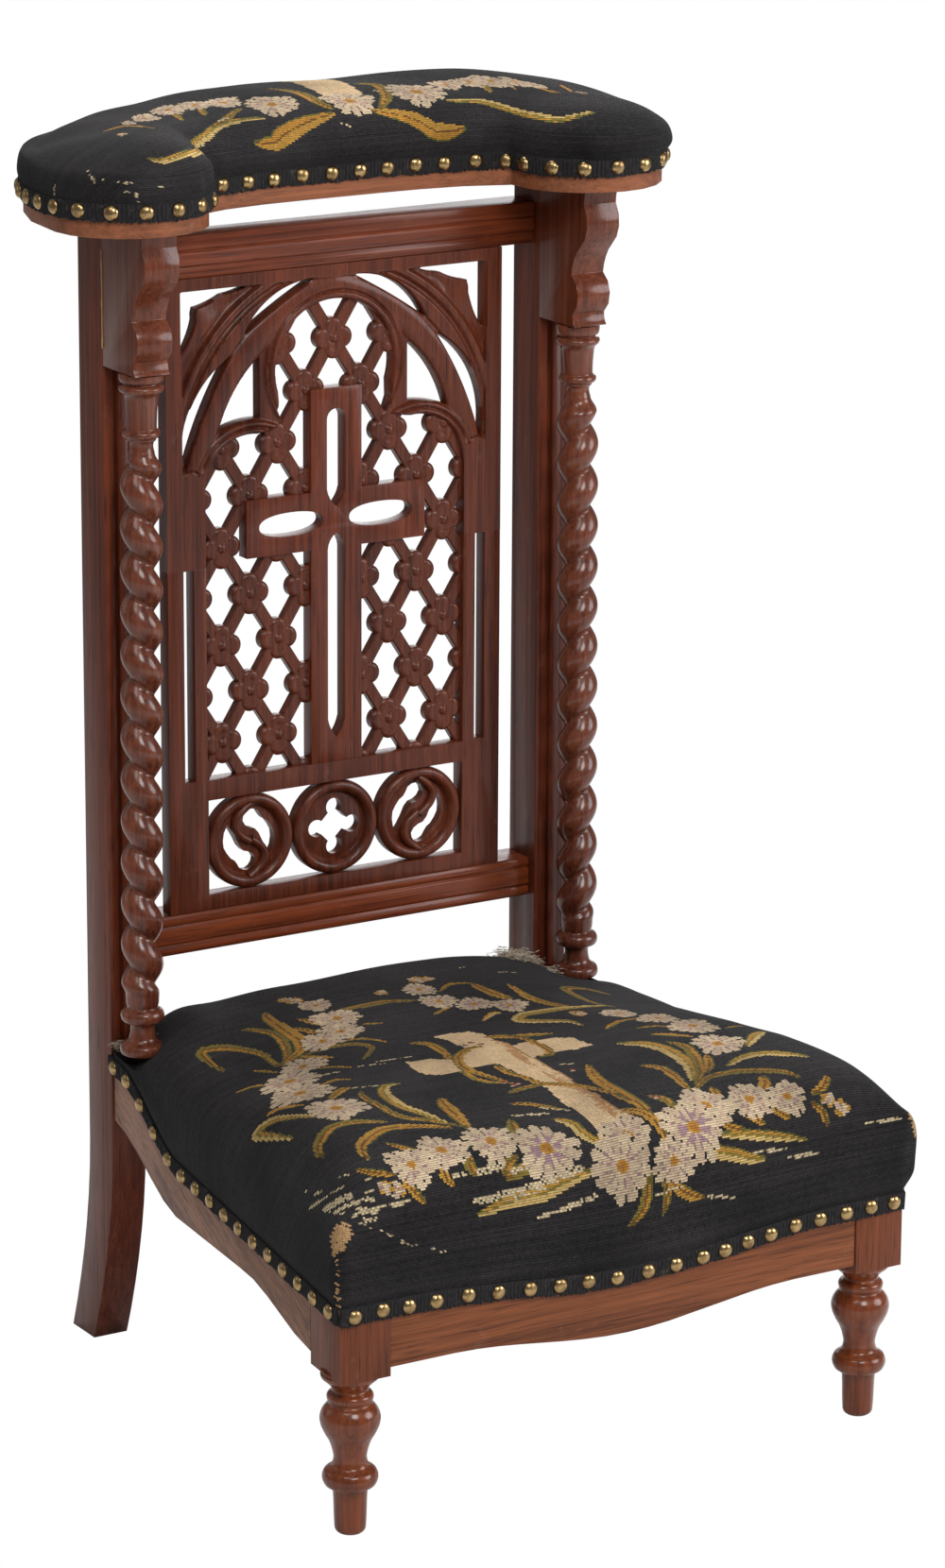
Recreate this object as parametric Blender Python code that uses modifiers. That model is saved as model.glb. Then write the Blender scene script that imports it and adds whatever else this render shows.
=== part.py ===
# A prie dieu: a kneeling desk with a carved back, barley twist columns, an upholstered armrest
# and a low upholstered kneeler. Metres, +Z up, the sitter's front towards -Y.
# Every place is worked out from the driving sizes below. Y is counted from the front face of the
# stiles, and one empty moves the whole object so that its origin lies under its middle.

import math

import bmesh
import bpy
from mathutils import Matrix, Vector

# Clearances
FIT_GAP = 0.0003
CUT_OVERRUN = 0.003
MERGE_DISTANCE = 0.00001
SLIVER_PASSES = 5

# Back frame
BACK_WIDTH = 0.409
STILE_WIDTH = 0.029
STILE_DEPTH = 0.038
BOARD_OVER_RAIL = 0.020
SABRE_HEIGHT = 0.165
SABRE_SWEEP = 0.035
SABRE_POWER = 1.8
FOOT_DEPTH = 0.036
RAIL_SETBACK = 0.008
TOP_RAIL_HEIGHT = 0.0325
BOTTOM_RAIL_BOTTOM = 0.311
BOTTOM_RAIL_HEIGHT = 0.0315
BETWEEN_RAILS = 0.494
RAIL_BEAD = 0.0085
RAIL_GROOVE = 0.0015
RAIL_BAND_GROOVE_SHARE = 0.36
TENON_LENGTH = 0.018
TENON_THICKNESS = 0.010
TENON_SHOULDER = 0.005

# Fretwork panel
PANEL_SIDE_GAP = 0.0285
PANEL_THICKNESS = 0.013
PANEL_SETBACK = 0.001
PANEL_TONGUE_HEIGHT = 0.005
PANEL_TONGUE_THICKNESS = 0.006
PANEL_SIDE_STRIP = 0.014
PANEL_TOP_STRIP_SHARE = 0.0256
PANEL_BASE_STRIP = 0.012
ROUNDEL_BLOCK_WIDTH = 0.0339
ROUNDEL_OVERLAP = 0.0003
BASE_BAND_HEIGHT = 0.016
SLOT_WIDTH = 0.009
SLOT_RIB_WIDTH = 0.010
LATTICE_THICKNESS = 0.007
LATTICE_RECESS = 0.004
LATTICE_LAP = 0.004
LATTICE_ROW_COUNT = 9
LATTICE_COLUMN_COUNT = 9
CROSS_FACE_RECESS = 0.0004

# The light behind the cross: across as shares of its half width, upwards as shares of its
# height from the base band to the panel's top.
SLOT_HEIGHT_SHARE = 0.426
SIDE_LOBE_SIZE_SHARES = (0.360, 0.105)
SIDE_LOBE_HEIGHT_SHARE = 0.577
CENTRE_LOBE_SIZE_SHARES = (0.453, 0.132)
CENTRE_LOBE_HEIGHT_SHARE = 0.797
CUSP_SHARES = (0.400, 0.695)
LATTICE_HALF_PITCH_SHARES = (0.215, 0.0981)
LATTICE_FIRST_ROW_SHARE = 0.068
LATTICE_OPENING_SHARES = ((0.45, -1.0), (1.0, -0.40), (1.0, 0.40), (0.45, 1.0))
LATTICE_OPENING_SIZE_SHARES = (0.408, 0.562)
CROSS_HALF_WIDTH_SHARE = 0.196
CROSS_ARM_SHARE = 0.690
CROSS_TOP_SHARE = 0.756
CROSS_ARM_HEIGHT_SHARE = 0.495
CROSS_SLOT_WIDTH_SHARE = 0.718

# Tracery openings of the panel's right half. Upwards, each point is a share of the light's
# height above the base band. Across, it is a share of the panel's half width in the spandrel,
# and of the light's in the others. A curved side is given by its middle.
SPANDREL_LEAF_SHARES = (
    (0.540, 0.968), (0.655, 0.957), (0.755, 0.946),
    (0.815, 0.934), (0.830, 0.906), (0.862, 0.871),
)
SPANDREL_TIP_SHARES = ((0.500, 0.972), (0.905, 0.841))
UPPER_CRESCENT_SHARES = ((0.149, 0.973), (0.459, 0.957), (0.698, 0.876), (0.446, 0.928))
LOWER_CRESCENT_SHARES = ((0.791, 0.842), (1.049, 0.771), (1.142, 0.619), (0.925, 0.775))
SIDE_TRIANGLE_SHARES = ((0.576, 0.829), (0.739, 0.780), (0.878, 0.700), (0.576, 0.712))
MOUCHETTE_SHARES = (
    (-0.16, 0.42), (-0.02, 0.62), (0.20, 0.58), (0.32, 0.40), (0.52, 0.22),
    (0.61, -0.05), (0.50, -0.37), (0.30, -0.05), (0.08, 0.24),
)
QUATREFOIL_MEAN_SHARE = 0.42
QUATREFOIL_SWING_SHARE = 0.15

# Brackets, columns and the strips behind the columns
BRACKET_HEIGHT = 0.109
BRACKET_DEPTH = 0.068
COLUMN_AXIS_FORWARD = 0.033
COLUMN_SEAT_LIFT = 0.002
COLUMN_SPREAD = 0.005
COLUMN_RADIUS = 0.0172
COLUMN_SIDES = 8
COLUMN_TOP_TURNING = 0.054
COLUMN_BASE_TURNING = 0.045
TWIST_CORE_RADIUS = 0.0130
TWIST_OFFSET = 0.0039
TWIST_PITCH = 0.0323
TWIST_RINGS_PER_TURN = 6
COLUMN_PIN_RADIUS = 0.007
COLUMN_PIN_LENGTH = 0.014
STRIP_WIDTH = 0.008
STRIP_DEPTH = 0.0035

# Each turning is a list of places along it and radii, as shares of its length and of the
# column's largest radius, from the end of the column inwards.
COLUMN_TOP_SHARES = (
    (0.000, 0.90), (0.030, 0.99), (0.080, 0.95), (0.110, 0.80), (0.150, 0.84), (0.205, 1.00),
    (0.260, 0.84), (0.310, 0.74), (0.620, 0.69), (0.650, 0.80), (0.700, 0.83), (0.745, 0.70),
    (0.780, 0.60), (0.860, 0.52), (1.000, 0.60),
)
COLUMN_BASE_SHARES = (
    (0.000, 0.86), (0.040, 0.97), (0.110, 1.00), (0.185, 0.93), (0.220, 0.78), (0.330, 0.59),
    (0.470, 0.54), (0.560, 0.66), (0.600, 0.86), (0.680, 0.965), (0.760, 0.88), (0.810, 0.70), (1.000, 0.62),
)
# The bracket's outline, from its top down: shares of its depth and of its height.
BRACKET_SHARES = (
    ((0.970, 1.000), (0.935, 0.945), (0.926, 0.890)),
    ((0.926, 0.888), (1.000, 0.775), (0.850, 0.585)),
    ((0.850, 0.585), (0.710, 0.455), (0.676, 0.373)),
    ((0.676, 0.370), (0.824, 0.220), (0.706, 0.090)),
    ((0.706, 0.085), (0.715, 0.045), (0.757, 0.000)),
)

# Seat frame
SEAT_DEPTH = 0.416
SEAT_FLARE = 0.038
SEAT_RAIL_THICKNESS = 0.025
SEAT_RAIL_RELIEF = 0.001
LEG_BLOCK_WIDTH = 0.0415
LEG_BLOCK_DEPTH = 0.050
LEG_BLOCK_BOTTOM = 0.122
LEG_LARGEST_RADIUS = 0.0219
LEG_STEPS = 16
FRONT_EDGE_HEIGHT = 0.167
FRONT_EDGE_DIP = 0.013
FRONT_EDGE_DIP_WIDTH = 0.380
FRONT_LOWER_HEIGHT = 0.128
FRONT_LOWER_DIP = 0.013
FRONT_LOWER_DIP_WIDTH = 0.300
SIDE_EDGE_SLOPE = 0.0662
SIDE_EDGE_REAR_RISE = 0.0353
SIDE_EDGE_RISE_START = 0.025
SIDE_EDGE_RISE_END = 0.135
SIDE_LOWER_HEIGHT = 0.151
SIDE_LOWER_REAR_RISE = 0.040
SIDE_LOWER_RISE_END = 0.125
SIDE_LOWER_FRONT_DROP = 0.021
SIDE_LOWER_DROP_START = 0.250
SIDE_STATION_STEP = 0.024
REAR_RAIL_HEIGHT = 0.050
SEAT_TENON_LENGTH = 0.012
GLUE_BLOCK_SIZE = 0.026
GLUE_BLOCK_HEIGHT = 0.024
GLUE_BLOCK_DROP = 0.006

# Front leg turning, from the block down: shares of the leg's height and of its largest radius.
LEG_SHARES = (
    (1.000, 0.970), (0.975, 0.920), (0.930, 0.680), (0.893, 0.571), (0.880, 0.700), (0.861, 0.767),
    (0.830, 0.720), (0.811, 0.780), (0.770, 0.930), (0.713, 1.000), (0.650, 0.910), (0.590, 0.710),
    (0.540, 0.590), (0.475, 0.548), (0.435, 0.640), (0.410, 0.860), (0.352, 0.925), (0.300, 0.830),
    (0.285, 0.585), (0.160, 0.560), (0.066, 0.525), (0.020, 0.470), (0.000, 0.380),
)

# Upholstery of the kneeler
GIMP_HEIGHT = 0.014
GIMP_THICKNESS = 0.0015
COVER_THICKNESS = 0.0012
COVER_SKIRT_LIFT = 0.001
COVER_OVER_GIMP = 0.0015
SKIRT_RETURN = 0.004
SEAT_REAR_RISE = 0.0022
SEAT_FRONT_RISE = 0.0590
SEAT_CROWN_RISE = 0.033
SEAT_SIDE_BULGE = 0.004
SEAT_CORNER_STEP = 0.012
SEAT_STUFFING_INSET = 0.006
WEBBING_WIDTH = 0.045
WEBBING_THICKNESS = 0.001
CROSS_WEBBING_STEP_SHARE = 1.3
CROSS_WEBBING_SHARE = 0.72
LONG_WEBBING_COUNT = 3
LONG_WEBBING_SPACING = 0.095
HESSIAN_THICKNESS = 0.0008
HESSIAN_EDGE = 0.017
NAIL_RADIUS = 0.0053
NAIL_HEIGHT = 0.0036
NAIL_SIDES = 6
NAIL_TOP_SHARE = 0.5
FRONT_NAIL_COUNT = 21
SIDE_NAIL_COUNT = 17
NAIL_HEIGHT_SHARE = 0.52

# Armrest
BOARD_THICKNESS = 0.024
BOARD_EXPOSED = 0.0125
LOBE_CENTRE = 0.197
LOBE_FORWARD = 0.028
LOBE_RADIUS = 0.060
BOARD_MIDDLE_FORWARD = 0.002
NOTCH_FORWARD = 0.020
BOARD_REAR = 0.165
BOARD_REAR_POWER = 2.3
PAD_HEIGHT = 0.072
PAD_BULGE = 0.009
PAD_STUFFING_INSET = 0.006
ARM_NAIL_SPACING = 0.0268
DOWEL_RADIUS = 0.004
DOWEL_LENGTH = 0.024
DOWEL_SIDES = 10

# Rings of the two covers: growth over the woodwork's edge as a share of the bulge, inset as a
# share of the inset length, and height as a share of the rise above the skirt.
PAD_RING_SHARES = ((0.60, 0.0, 0.24), (1.0, 0.0, 0.46), (0.55, 0.0, 0.68), (0.0, 0.28, 0.87), (0.0, 1.0, 0.98))
PAD_INSET = 0.036
SEAT_RING_SHARES = ((0.90, 0.0, 0.45), (0.75, 0.0, 0.84), (0.0, 0.12, 1.0), (0.0, 0.45, 1.0), (0.0, 1.0, 1.0))
SEAT_CROWN_SHARES = (0.0, 0.0, 0.10, 0.55, 0.88)
SEAT_INSET = 0.085
SEAT_CROWN_CENTRE_FORWARD = 0.190

# Derived places shared by several pieces
BACK_HALF = BACK_WIDTH / 2
STILE_INNER = BACK_HALF - STILE_WIDTH
STILE_MIDDLE = BACK_HALF - STILE_WIDTH / 2
TOP_RAIL_BOTTOM = BOTTOM_RAIL_BOTTOM + BOTTOM_RAIL_HEIGHT + BETWEEN_RAILS
BOARD_UNDERSIDE_HEIGHT = TOP_RAIL_BOTTOM + TOP_RAIL_HEIGHT + BOARD_OVER_RAIL
STILE_TOP = BOARD_UNDERSIDE_HEIGHT - FIT_GAP
BRACKET_BOTTOM = BOARD_UNDERSIDE_HEIGHT - BRACKET_HEIGHT
RAIL_DEPTH = STILE_DEPTH - RAIL_SETBACK
RAIL_MIDDLE = RAIL_SETBACK + RAIL_DEPTH / 2
PANEL_BOTTOM = BOTTOM_RAIL_BOTTOM + BOTTOM_RAIL_HEIGHT + FIT_GAP
PANEL_TOP = TOP_RAIL_BOTTOM - FIT_GAP
PANEL_HEIGHT = PANEL_TOP - PANEL_BOTTOM
PANEL_HALF = STILE_INNER - PANEL_SIDE_GAP
PANEL_FRONT = RAIL_SETBACK + PANEL_SETBACK
ROUNDEL_RADIUS = (PANEL_HALF - ROUNDEL_BLOCK_WIDTH) / 3
ROUNDEL_MIDDLE = PANEL_BASE_STRIP + ROUNDEL_RADIUS
LATTICE_BASE = PANEL_BASE_STRIP + 2 * ROUNDEL_RADIUS + BASE_BAND_HEIGHT
LIGHT_HEIGHT = PANEL_HEIGHT - LATTICE_BASE
LIGHT_HALF = PANEL_HALF - PANEL_SIDE_STRIP - SLOT_WIDTH - SLOT_RIB_WIDTH
CROSS_HALF_WIDTH = CROSS_HALF_WIDTH_SHARE * LIGHT_HALF
CROSS_SLOT_WIDTH = CROSS_SLOT_WIDTH_SHARE * CROSS_HALF_WIDTH
SEAT_FRONT_WIDTH = BACK_WIDTH + 2 * SEAT_FLARE
SEAT_FRONT_HALF = SEAT_FRONT_WIDTH / 2
SPLAY = math.atan2(SEAT_FRONT_HALF - BACK_HALF, SEAT_DEPTH)
SIDE_LENGTH = math.hypot(SEAT_FRONT_HALF - BACK_HALF, SEAT_DEPTH)
SIDE_RAIL_END = SIDE_LENGTH - LEG_BLOCK_DEPTH / math.cos(SPLAY) - FIT_GAP
COVER_OUTER = FIT_GAP + COVER_THICKNESS
GIMP_INNER = COVER_OUTER + FIT_GAP
GIMP_OUTER = GIMP_INNER + GIMP_THICKNESS
NAIL_BASE = GIMP_OUTER - FIT_GAP
PAD_SKIRT_HEIGHT = BOARD_UNDERSIDE_HEIGHT + BOARD_EXPOSED + COVER_SKIRT_LIFT
ARM_GIMP_BOTTOM = BOARD_UNDERSIDE_HEIGHT + BOARD_EXPOSED
ARM_GIMP_TOP = ARM_GIMP_BOTTOM + GIMP_HEIGHT
LONG_WEBBING_LIFT = 2 * FIT_GAP + WEBBING_THICKNESS
HESSIAN_LIFT = LONG_WEBBING_LIFT + WEBBING_THICKNESS + FIT_GAP
STUFFING_LIFT = HESSIAN_LIFT + HESSIAN_THICKNESS + FIT_GAP
REAR_RAIL_TOP = FRONT_EDGE_HEIGHT + SIDE_EDGE_SLOPE * SIDE_LENGTH + SIDE_EDGE_REAR_RISE + GIMP_HEIGHT
SEAT_REAR_SHOULDER = REAR_RAIL_TOP + STUFFING_LIFT + SEAT_REAR_RISE
SEAT_FRONT_SHOULDER = FRONT_EDGE_HEIGHT + GIMP_HEIGHT + SEAT_FRONT_RISE
COLUMN_BASE_HEIGHT = SEAT_REAR_SHOULDER + COLUMN_SEAT_LIFT
STRIP_BOTTOM = SEAT_REAR_SHOULDER + STRIP_DEPTH
FRONT_MOST = SEAT_DEPTH + NAIL_BASE + NAIL_HEIGHT
REAR_MOST = BOARD_REAR + max(NAIL_BASE + NAIL_HEIGHT, COVER_OUTER + PAD_BULGE)
ORIGIN_SHIFT = (FRONT_MOST - REAR_MOST) / 2

# Wood shades and the other finishes: colour, roughness and metallic value
FINISHES = {
    "stained_oak": ((0.115, 0.033, 0.018, 1.0), 0.38, 0.0),
    "seat_oak": ((0.150, 0.056, 0.030, 1.0), 0.42, 0.0),
    "board_oak": ((0.200, 0.080, 0.030, 1.0), 0.45, 0.0),
    "deal": ((0.420, 0.280, 0.150, 1.0), 0.70, 0.0),
    "needlework": ((0.016, 0.014, 0.016, 1.0), 0.90, 0.0),
    "gimp_braid": ((0.010, 0.010, 0.011, 1.0), 0.85, 0.0),
    "horsehair": ((0.110, 0.090, 0.070, 1.0), 0.95, 0.0),
    "hessian": ((0.330, 0.240, 0.140, 1.0), 0.95, 0.0),
    "webbing": ((0.380, 0.300, 0.200, 1.0), 0.95, 0.0),
    "nail_brass": ((0.330, 0.200, 0.060, 1.0), 0.30, 1.0),
}


def clear_scene():
    for item in list(bpy.data.objects):
        bpy.data.objects.remove(item, do_unlink=True)


def make_material(name):
    colour, roughness, metallic = FINISHES[name]
    made = bpy.data.materials.get(name) or bpy.data.materials.new(name)
    made.use_nodes = True
    shader = made.node_tree.nodes["Principled BSDF"]
    shader.inputs["Base Color"].default_value = colour
    shader.inputs["Roughness"].default_value = roughness
    shader.inputs["Metallic"].default_value = metallic
    made.diffuse_color = colour
    return made


class Workshop:
    """Holds the object's collections and the empty that carries every piece."""

    def __init__(self):
        self.parts = bpy.data.collections.new("prie_dieu")
        self.cutters = bpy.data.collections.new("prie_dieu_cutters")
        bpy.context.scene.collection.children.link(self.parts)
        bpy.context.scene.collection.children.link(self.cutters)
        self.origin = bpy.data.objects.new("prie_dieu_origin", None)
        self.origin.location = (0.0, ORIGIN_SHIFT, 0.0)
        self.parts.objects.link(self.origin)

    def add(self, name, mesh, finish, place=None):
        item = bpy.data.objects.new(name, mesh)
        self.parts.objects.link(item)
        item.parent = self.origin
        item.matrix_basis = place or Matrix()
        mesh.materials.clear()
        mesh.materials.append(make_material(finish))
        return item

    def guide(self, name, mesh, place=None):
        item = bpy.data.objects.new(name, mesh)
        self.cutters.objects.link(item)
        item.parent = self.origin
        item.matrix_basis = place or Matrix()
        item.hide_render = True
        item.display_type = "WIRE"
        return item


def combine(target, other, operation):
    step = target.modifiers.new(operation.lower() + "_" + other.name, "BOOLEAN")
    step.operation = operation
    step.object = other
    step.solver = "EXACT"


def cut(target, *others):
    for other in others:
        combine(target, other, "DIFFERENCE")


def unite(target, *others):
    for other in others:
        combine(target, other, "UNION")


def smooth_step(share):
    share = min(1.0, max(0.0, share))
    return share * share * (3 - 2 * share)


def three_point_arc(start, middle, end, steps):
    """Points of the circle's arc through three places, or of a line where they lie in one."""
    (ax, ay), (bx, by), (cx, cy) = start, middle, end
    twice_area = 2 * (ax * (by - cy) + bx * (cy - ay) + cx * (ay - by))
    if abs(twice_area) < 1e-9:
        return [(ax + (cx - ax) * step / steps, ay + (cy - ay) * step / steps) for step in range(steps + 1)]
    a_sum, b_sum, c_sum = ax * ax + ay * ay, bx * bx + by * by, cx * cx + cy * cy
    x = (a_sum * (by - cy) + b_sum * (cy - ay) + c_sum * (ay - by)) / twice_area
    y = (a_sum * (cx - bx) + b_sum * (ax - cx) + c_sum * (bx - ax)) / twice_area
    radius = math.hypot(ax - x, ay - y)
    first = math.atan2(ay - y, ax - x)
    through = (math.atan2(by - y, bx - x) - first) % math.tau
    sweep = (math.atan2(cy - y, cx - x) - first) % math.tau
    if through > sweep:
        sweep -= math.tau
    angles = [first + sweep * step / steps for step in range(steps + 1)]
    return [(x + radius * math.cos(angle), y + radius * math.sin(angle)) for angle in angles]


def round_arc(centre, radius, first, last, steps):
    angles = [math.radians(first + (last - first) * step / steps) for step in range(steps + 1)]
    return [(centre[0] + radius * math.cos(angle), centre[1] + radius * math.sin(angle)) for angle in angles]


def mirrored(points):
    return [(-x, y) for x, y in reversed(points)]


def both_sides(points):
    return [points, mirrored(points)]


def upright_plane(y):
    """Local X across and local Y up, in the upright plane at y, with local Z towards the front."""
    return Matrix.Translation((0.0, y, 0.0)) @ Matrix.Rotation(math.pi / 2, 4, "X")


def side_plane(x):
    """Local X to the rear and local Y up, in the upright plane at x, with local Z to the right."""
    turn = Matrix.Rotation(math.pi / 2, 4, "Z") @ Matrix.Rotation(math.pi / 2, 4, "X")
    return Matrix.Translation((x, 0.0, 0.0)) @ turn


def seat_side_plane(side, outward):
    """Local X along the splayed seat side from the stile to the front, local Y up.

    Local Z points inwards on the right and outwards on the left; outward is the plane's
    distance outside the woodwork's face.
    """
    along = Vector((side * math.sin(SPLAY), -math.cos(SPLAY), 0.0))
    outer = Vector((side * math.cos(SPLAY), math.sin(SPLAY), 0.0))
    up = Vector((0.0, 0.0, 1.0))
    place = Matrix((along, up, along.cross(up))).transposed().to_4x4()
    place.translation = Vector((side * BACK_HALF, 0.0, 0.0)) + outer * outward
    return place


def turning_points(loop):
    """The points of a loop where it turns, without those that lie straight between others."""
    kept = []
    for before, point, after in zip([loop[-1]] + loop[:-1], loop, loop[1:] + [loop[0]]):
        run_x, run_y = after[0] - before[0], after[1] - before[1]
        off = run_x * (point[1] - before[1]) - run_y * (point[0] - before[0])
        if abs(off) > FIT_GAP / 100 * math.hypot(run_x, run_y):
            kept.append(point)
    return kept


def is_sliver(face):
    longest = max(edge.calc_length() for edge in face.edges)
    return 2 * face.calc_area() < MERGE_DISTANCE * longest


def outline_mesh(name, loops, thickness):
    """A flat outline, with its holes, of even thickness about its own plane."""
    data = bpy.data.curves.new(name + "_outline", "CURVE")
    data.dimensions = "2D"
    data.fill_mode = "BOTH"
    data.extrude = thickness / 2
    for loop in map(turning_points, loops):
        spline = data.splines.new("POLY")
        spline.points.add(len(loop) - 1)
        for point, (x, y) in zip(spline.points, loop):
            point.co = (x, y, 0.0, 1.0)
        spline.use_cyclic_u = True
    item = bpy.data.objects.new(name + "_outline", data)
    bpy.context.scene.collection.objects.link(item)
    bpy.context.view_layer.update()
    evaluated = item.evaluated_get(bpy.context.evaluated_depsgraph_get())
    mesh = bpy.data.meshes.new_from_object(evaluated)
    bpy.data.objects.remove(item, do_unlink=True)
    mesh.name = name
    solid = bmesh.new()
    solid.from_mesh(mesh)
    bmesh.ops.remove_doubles(solid, verts=solid.verts, dist=MERGE_DISTANCE)
    for _pass in range(SLIVER_PASSES):
        if any(is_sliver(face) for face in solid.faces):
            bmesh.ops.dissolve_degenerate(solid, edges=solid.edges, dist=MERGE_DISTANCE)
    bmesh.ops.recalc_face_normals(solid, faces=solid.faces)
    solid.to_mesh(mesh)
    solid.free()
    return mesh


def box_mesh(name, low, high):
    size = [top - bottom for bottom, top in zip(low, high)]
    middle = [(top + bottom) / 2 for bottom, top in zip(low, high)]
    solid = bmesh.new()
    bmesh.ops.create_cube(solid, size=1.0, matrix=Matrix.Translation(middle) @ Matrix.Diagonal((*size, 1.0)))
    mesh = bpy.data.meshes.new(name)
    solid.to_mesh(mesh)
    solid.free()
    return mesh


def rod_mesh(name, places, radius, length, direction, sides=DOWEL_SIDES):
    """Round rods of one size, centred on the places, along the direction."""
    solid = bmesh.new()
    turn = Vector(direction).to_track_quat("Z", "Y").to_matrix().to_4x4()
    for place in places:
        bmesh.ops.create_cone(
            solid, cap_ends=True, segments=sides, radius1=radius, radius2=radius, depth=length,
            matrix=Matrix.Translation(place) @ turn)
    mesh = bpy.data.meshes.new(name)
    solid.to_mesh(mesh)
    solid.free()
    return mesh


def loft_mesh(name, rings, cap_start=True, cap_end=True):
    """A skin through rings of equally many points, closed at the ends that are asked for."""
    solid = bmesh.new()
    loops = [[solid.verts.new(point) for point in ring] for ring in rings]
    count = len(rings[0])
    for lower, upper in zip(loops, loops[1:]):
        for index in range(count):
            following = (index + 1) % count
            solid.faces.new((lower[index], lower[following], upper[following], upper[index]))
    if cap_start:
        solid.faces.new(list(reversed(loops[0])))
    if cap_end:
        solid.faces.new(loops[-1])
    mesh = bpy.data.meshes.new(name)
    solid.to_mesh(mesh)
    solid.free()
    return mesh


def shade_round(mesh):
    mesh.shade_smooth()
    mesh.set_sharp_from_angle(angle=math.radians(40))


def seat_edge_height(along):
    """Height of the gimp's lower edge on the kneeler's side, along it from the stile."""
    rise_length = SIDE_EDGE_RISE_END - SIDE_EDGE_RISE_START
    rise = 1 - smooth_step((along - SIDE_EDGE_RISE_START) / rise_length)
    return FRONT_EDGE_HEIGHT + SIDE_EDGE_SLOPE * (SIDE_LENGTH - along) + SIDE_EDGE_REAR_RISE * rise


def seat_lower_height(along):
    rise = 1 - smooth_step(along / SIDE_LOWER_RISE_END)
    drop = smooth_step((along - SIDE_LOWER_DROP_START) / (SIDE_RAIL_END - SIDE_LOWER_DROP_START))
    return SIDE_LOWER_HEIGHT + SIDE_LOWER_REAR_RISE * rise - SIDE_LOWER_FRONT_DROP * drop


def wave(x, width):
    """One for the middle of a serpentine edge, falling to nothing at its ends."""
    if abs(x) >= width / 2:
        return 0.0
    return (1 + math.cos(math.tau * x / width)) / 2


def front_edge_height(x):
    return FRONT_EDGE_HEIGHT - FRONT_EDGE_DIP * wave(x, FRONT_EDGE_DIP_WIDTH)


def front_lower_height(x):
    return FRONT_LOWER_HEIGHT - FRONT_LOWER_DIP * wave(x, FRONT_LOWER_DIP_WIDTH)


def rail_top_height(along):
    return seat_edge_height(along) + GIMP_HEIGHT


def spread(first, last, count):
    return [first + (last - first) * step / (count - 1) for step in range(count)]


def side_stations(first, last):
    """Places along the seat's side, shared by every piece that follows the rails' tops."""
    between = [index * SIDE_STATION_STEP for index in range(round(SEAT_DEPTH / SIDE_STATION_STEP))]
    margin = SIDE_STATION_STEP / 5
    return [first] + [place for place in between if first + margin < place < last - margin] + [last]


def half_width(y, inset=0.0):
    """Half the woodwork's width at y, less an inset square to its splayed side."""
    return BACK_HALF - y * math.tan(SPLAY) - inset / math.cos(SPLAY)


# Back frame

def stile_outline():
    heights = spread(0.0, SABRE_HEIGHT, 8)
    bend = [(1 - height / SABRE_HEIGHT) ** SABRE_POWER for height in heights]
    front = [(SABRE_SWEEP * share, height) for share, height in zip(bend, heights)]
    rear_sweep = SABRE_SWEEP + FOOT_DEPTH - STILE_DEPTH
    rear = [(STILE_DEPTH + rear_sweep * share, height) for share, height in zip(bend, heights)]
    return front + [(0.0, STILE_TOP), (STILE_DEPTH, STILE_TOP)] + list(reversed(rear))


def rail_outline(height, bead_on_top):
    """Moulded rail in section: local X to the rear from its front face, local Y up."""
    bead_middle = RAIL_BEAD / 2
    lower_bead = three_point_arc(
        (RAIL_GROOVE, RAIL_BEAD), (0.0, bead_middle), (RAIL_GROOVE, 0.0), 4)
    section = list(reversed(lower_bead))
    section.append((0.0, RAIL_BEAD + RAIL_GROOVE))
    if bead_on_top:
        upper_start = height - RAIL_BEAD
        section.append((0.0, upper_start - RAIL_GROOVE))
        section += list(reversed(three_point_arc(
            (RAIL_GROOVE, height), (0.0, height - bead_middle), (RAIL_GROOVE, upper_start), 4)))
    else:
        groove = height - RAIL_BAND_GROOVE_SHARE * height
        section += [(0.0, groove - RAIL_GROOVE), (RAIL_GROOVE, groove), (0.0, groove + RAIL_GROOVE)]
        section.append((0.0, height))
    return section + [(RAIL_DEPTH, height), (RAIL_DEPTH, 0.0)]


def make_rail(shop, name, bottom, height, bead_on_top):
    length = 2 * (STILE_INNER - FIT_GAP)
    section = [(x + RAIL_SETBACK, y + bottom) for x, y in rail_outline(height, bead_on_top)]
    rail = shop.add(name, outline_mesh(name, [section], length), "stained_oak", side_plane(0.0))
    low_y = RAIL_MIDDLE - TENON_THICKNESS / 2
    high_y = RAIL_MIDDLE + TENON_THICKNESS / 2
    reach = STILE_INNER + TENON_LENGTH
    tenon_low = bottom + TENON_SHOULDER
    tenon_high = bottom + height - TENON_SHOULDER
    tenon = shop.guide(name + "_tenon", box_mesh(
        name + "_tenon", (-reach, low_y, tenon_low), (reach, high_y, tenon_high)))
    unite(rail, tenon)
    socket_reach = reach + FIT_GAP
    socket = shop.guide(name + "_mortise", box_mesh(
        name + "_mortise", (-socket_reach, low_y - FIT_GAP, tenon_low - FIT_GAP),
        (socket_reach, high_y + FIT_GAP, tenon_high + FIT_GAP)))
    return rail, socket


def light_point(share, half=None):
    return share[0] * (half or LIGHT_HALF), LATTICE_BASE + share[1] * LIGHT_HEIGHT


def crescent(shares, steps):
    tip, outer, end, inner = [light_point(share) for share in shares]
    return three_point_arc(tip, outer, end, steps) + three_point_arc(end, inner, tip, steps)[1:-1]


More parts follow.
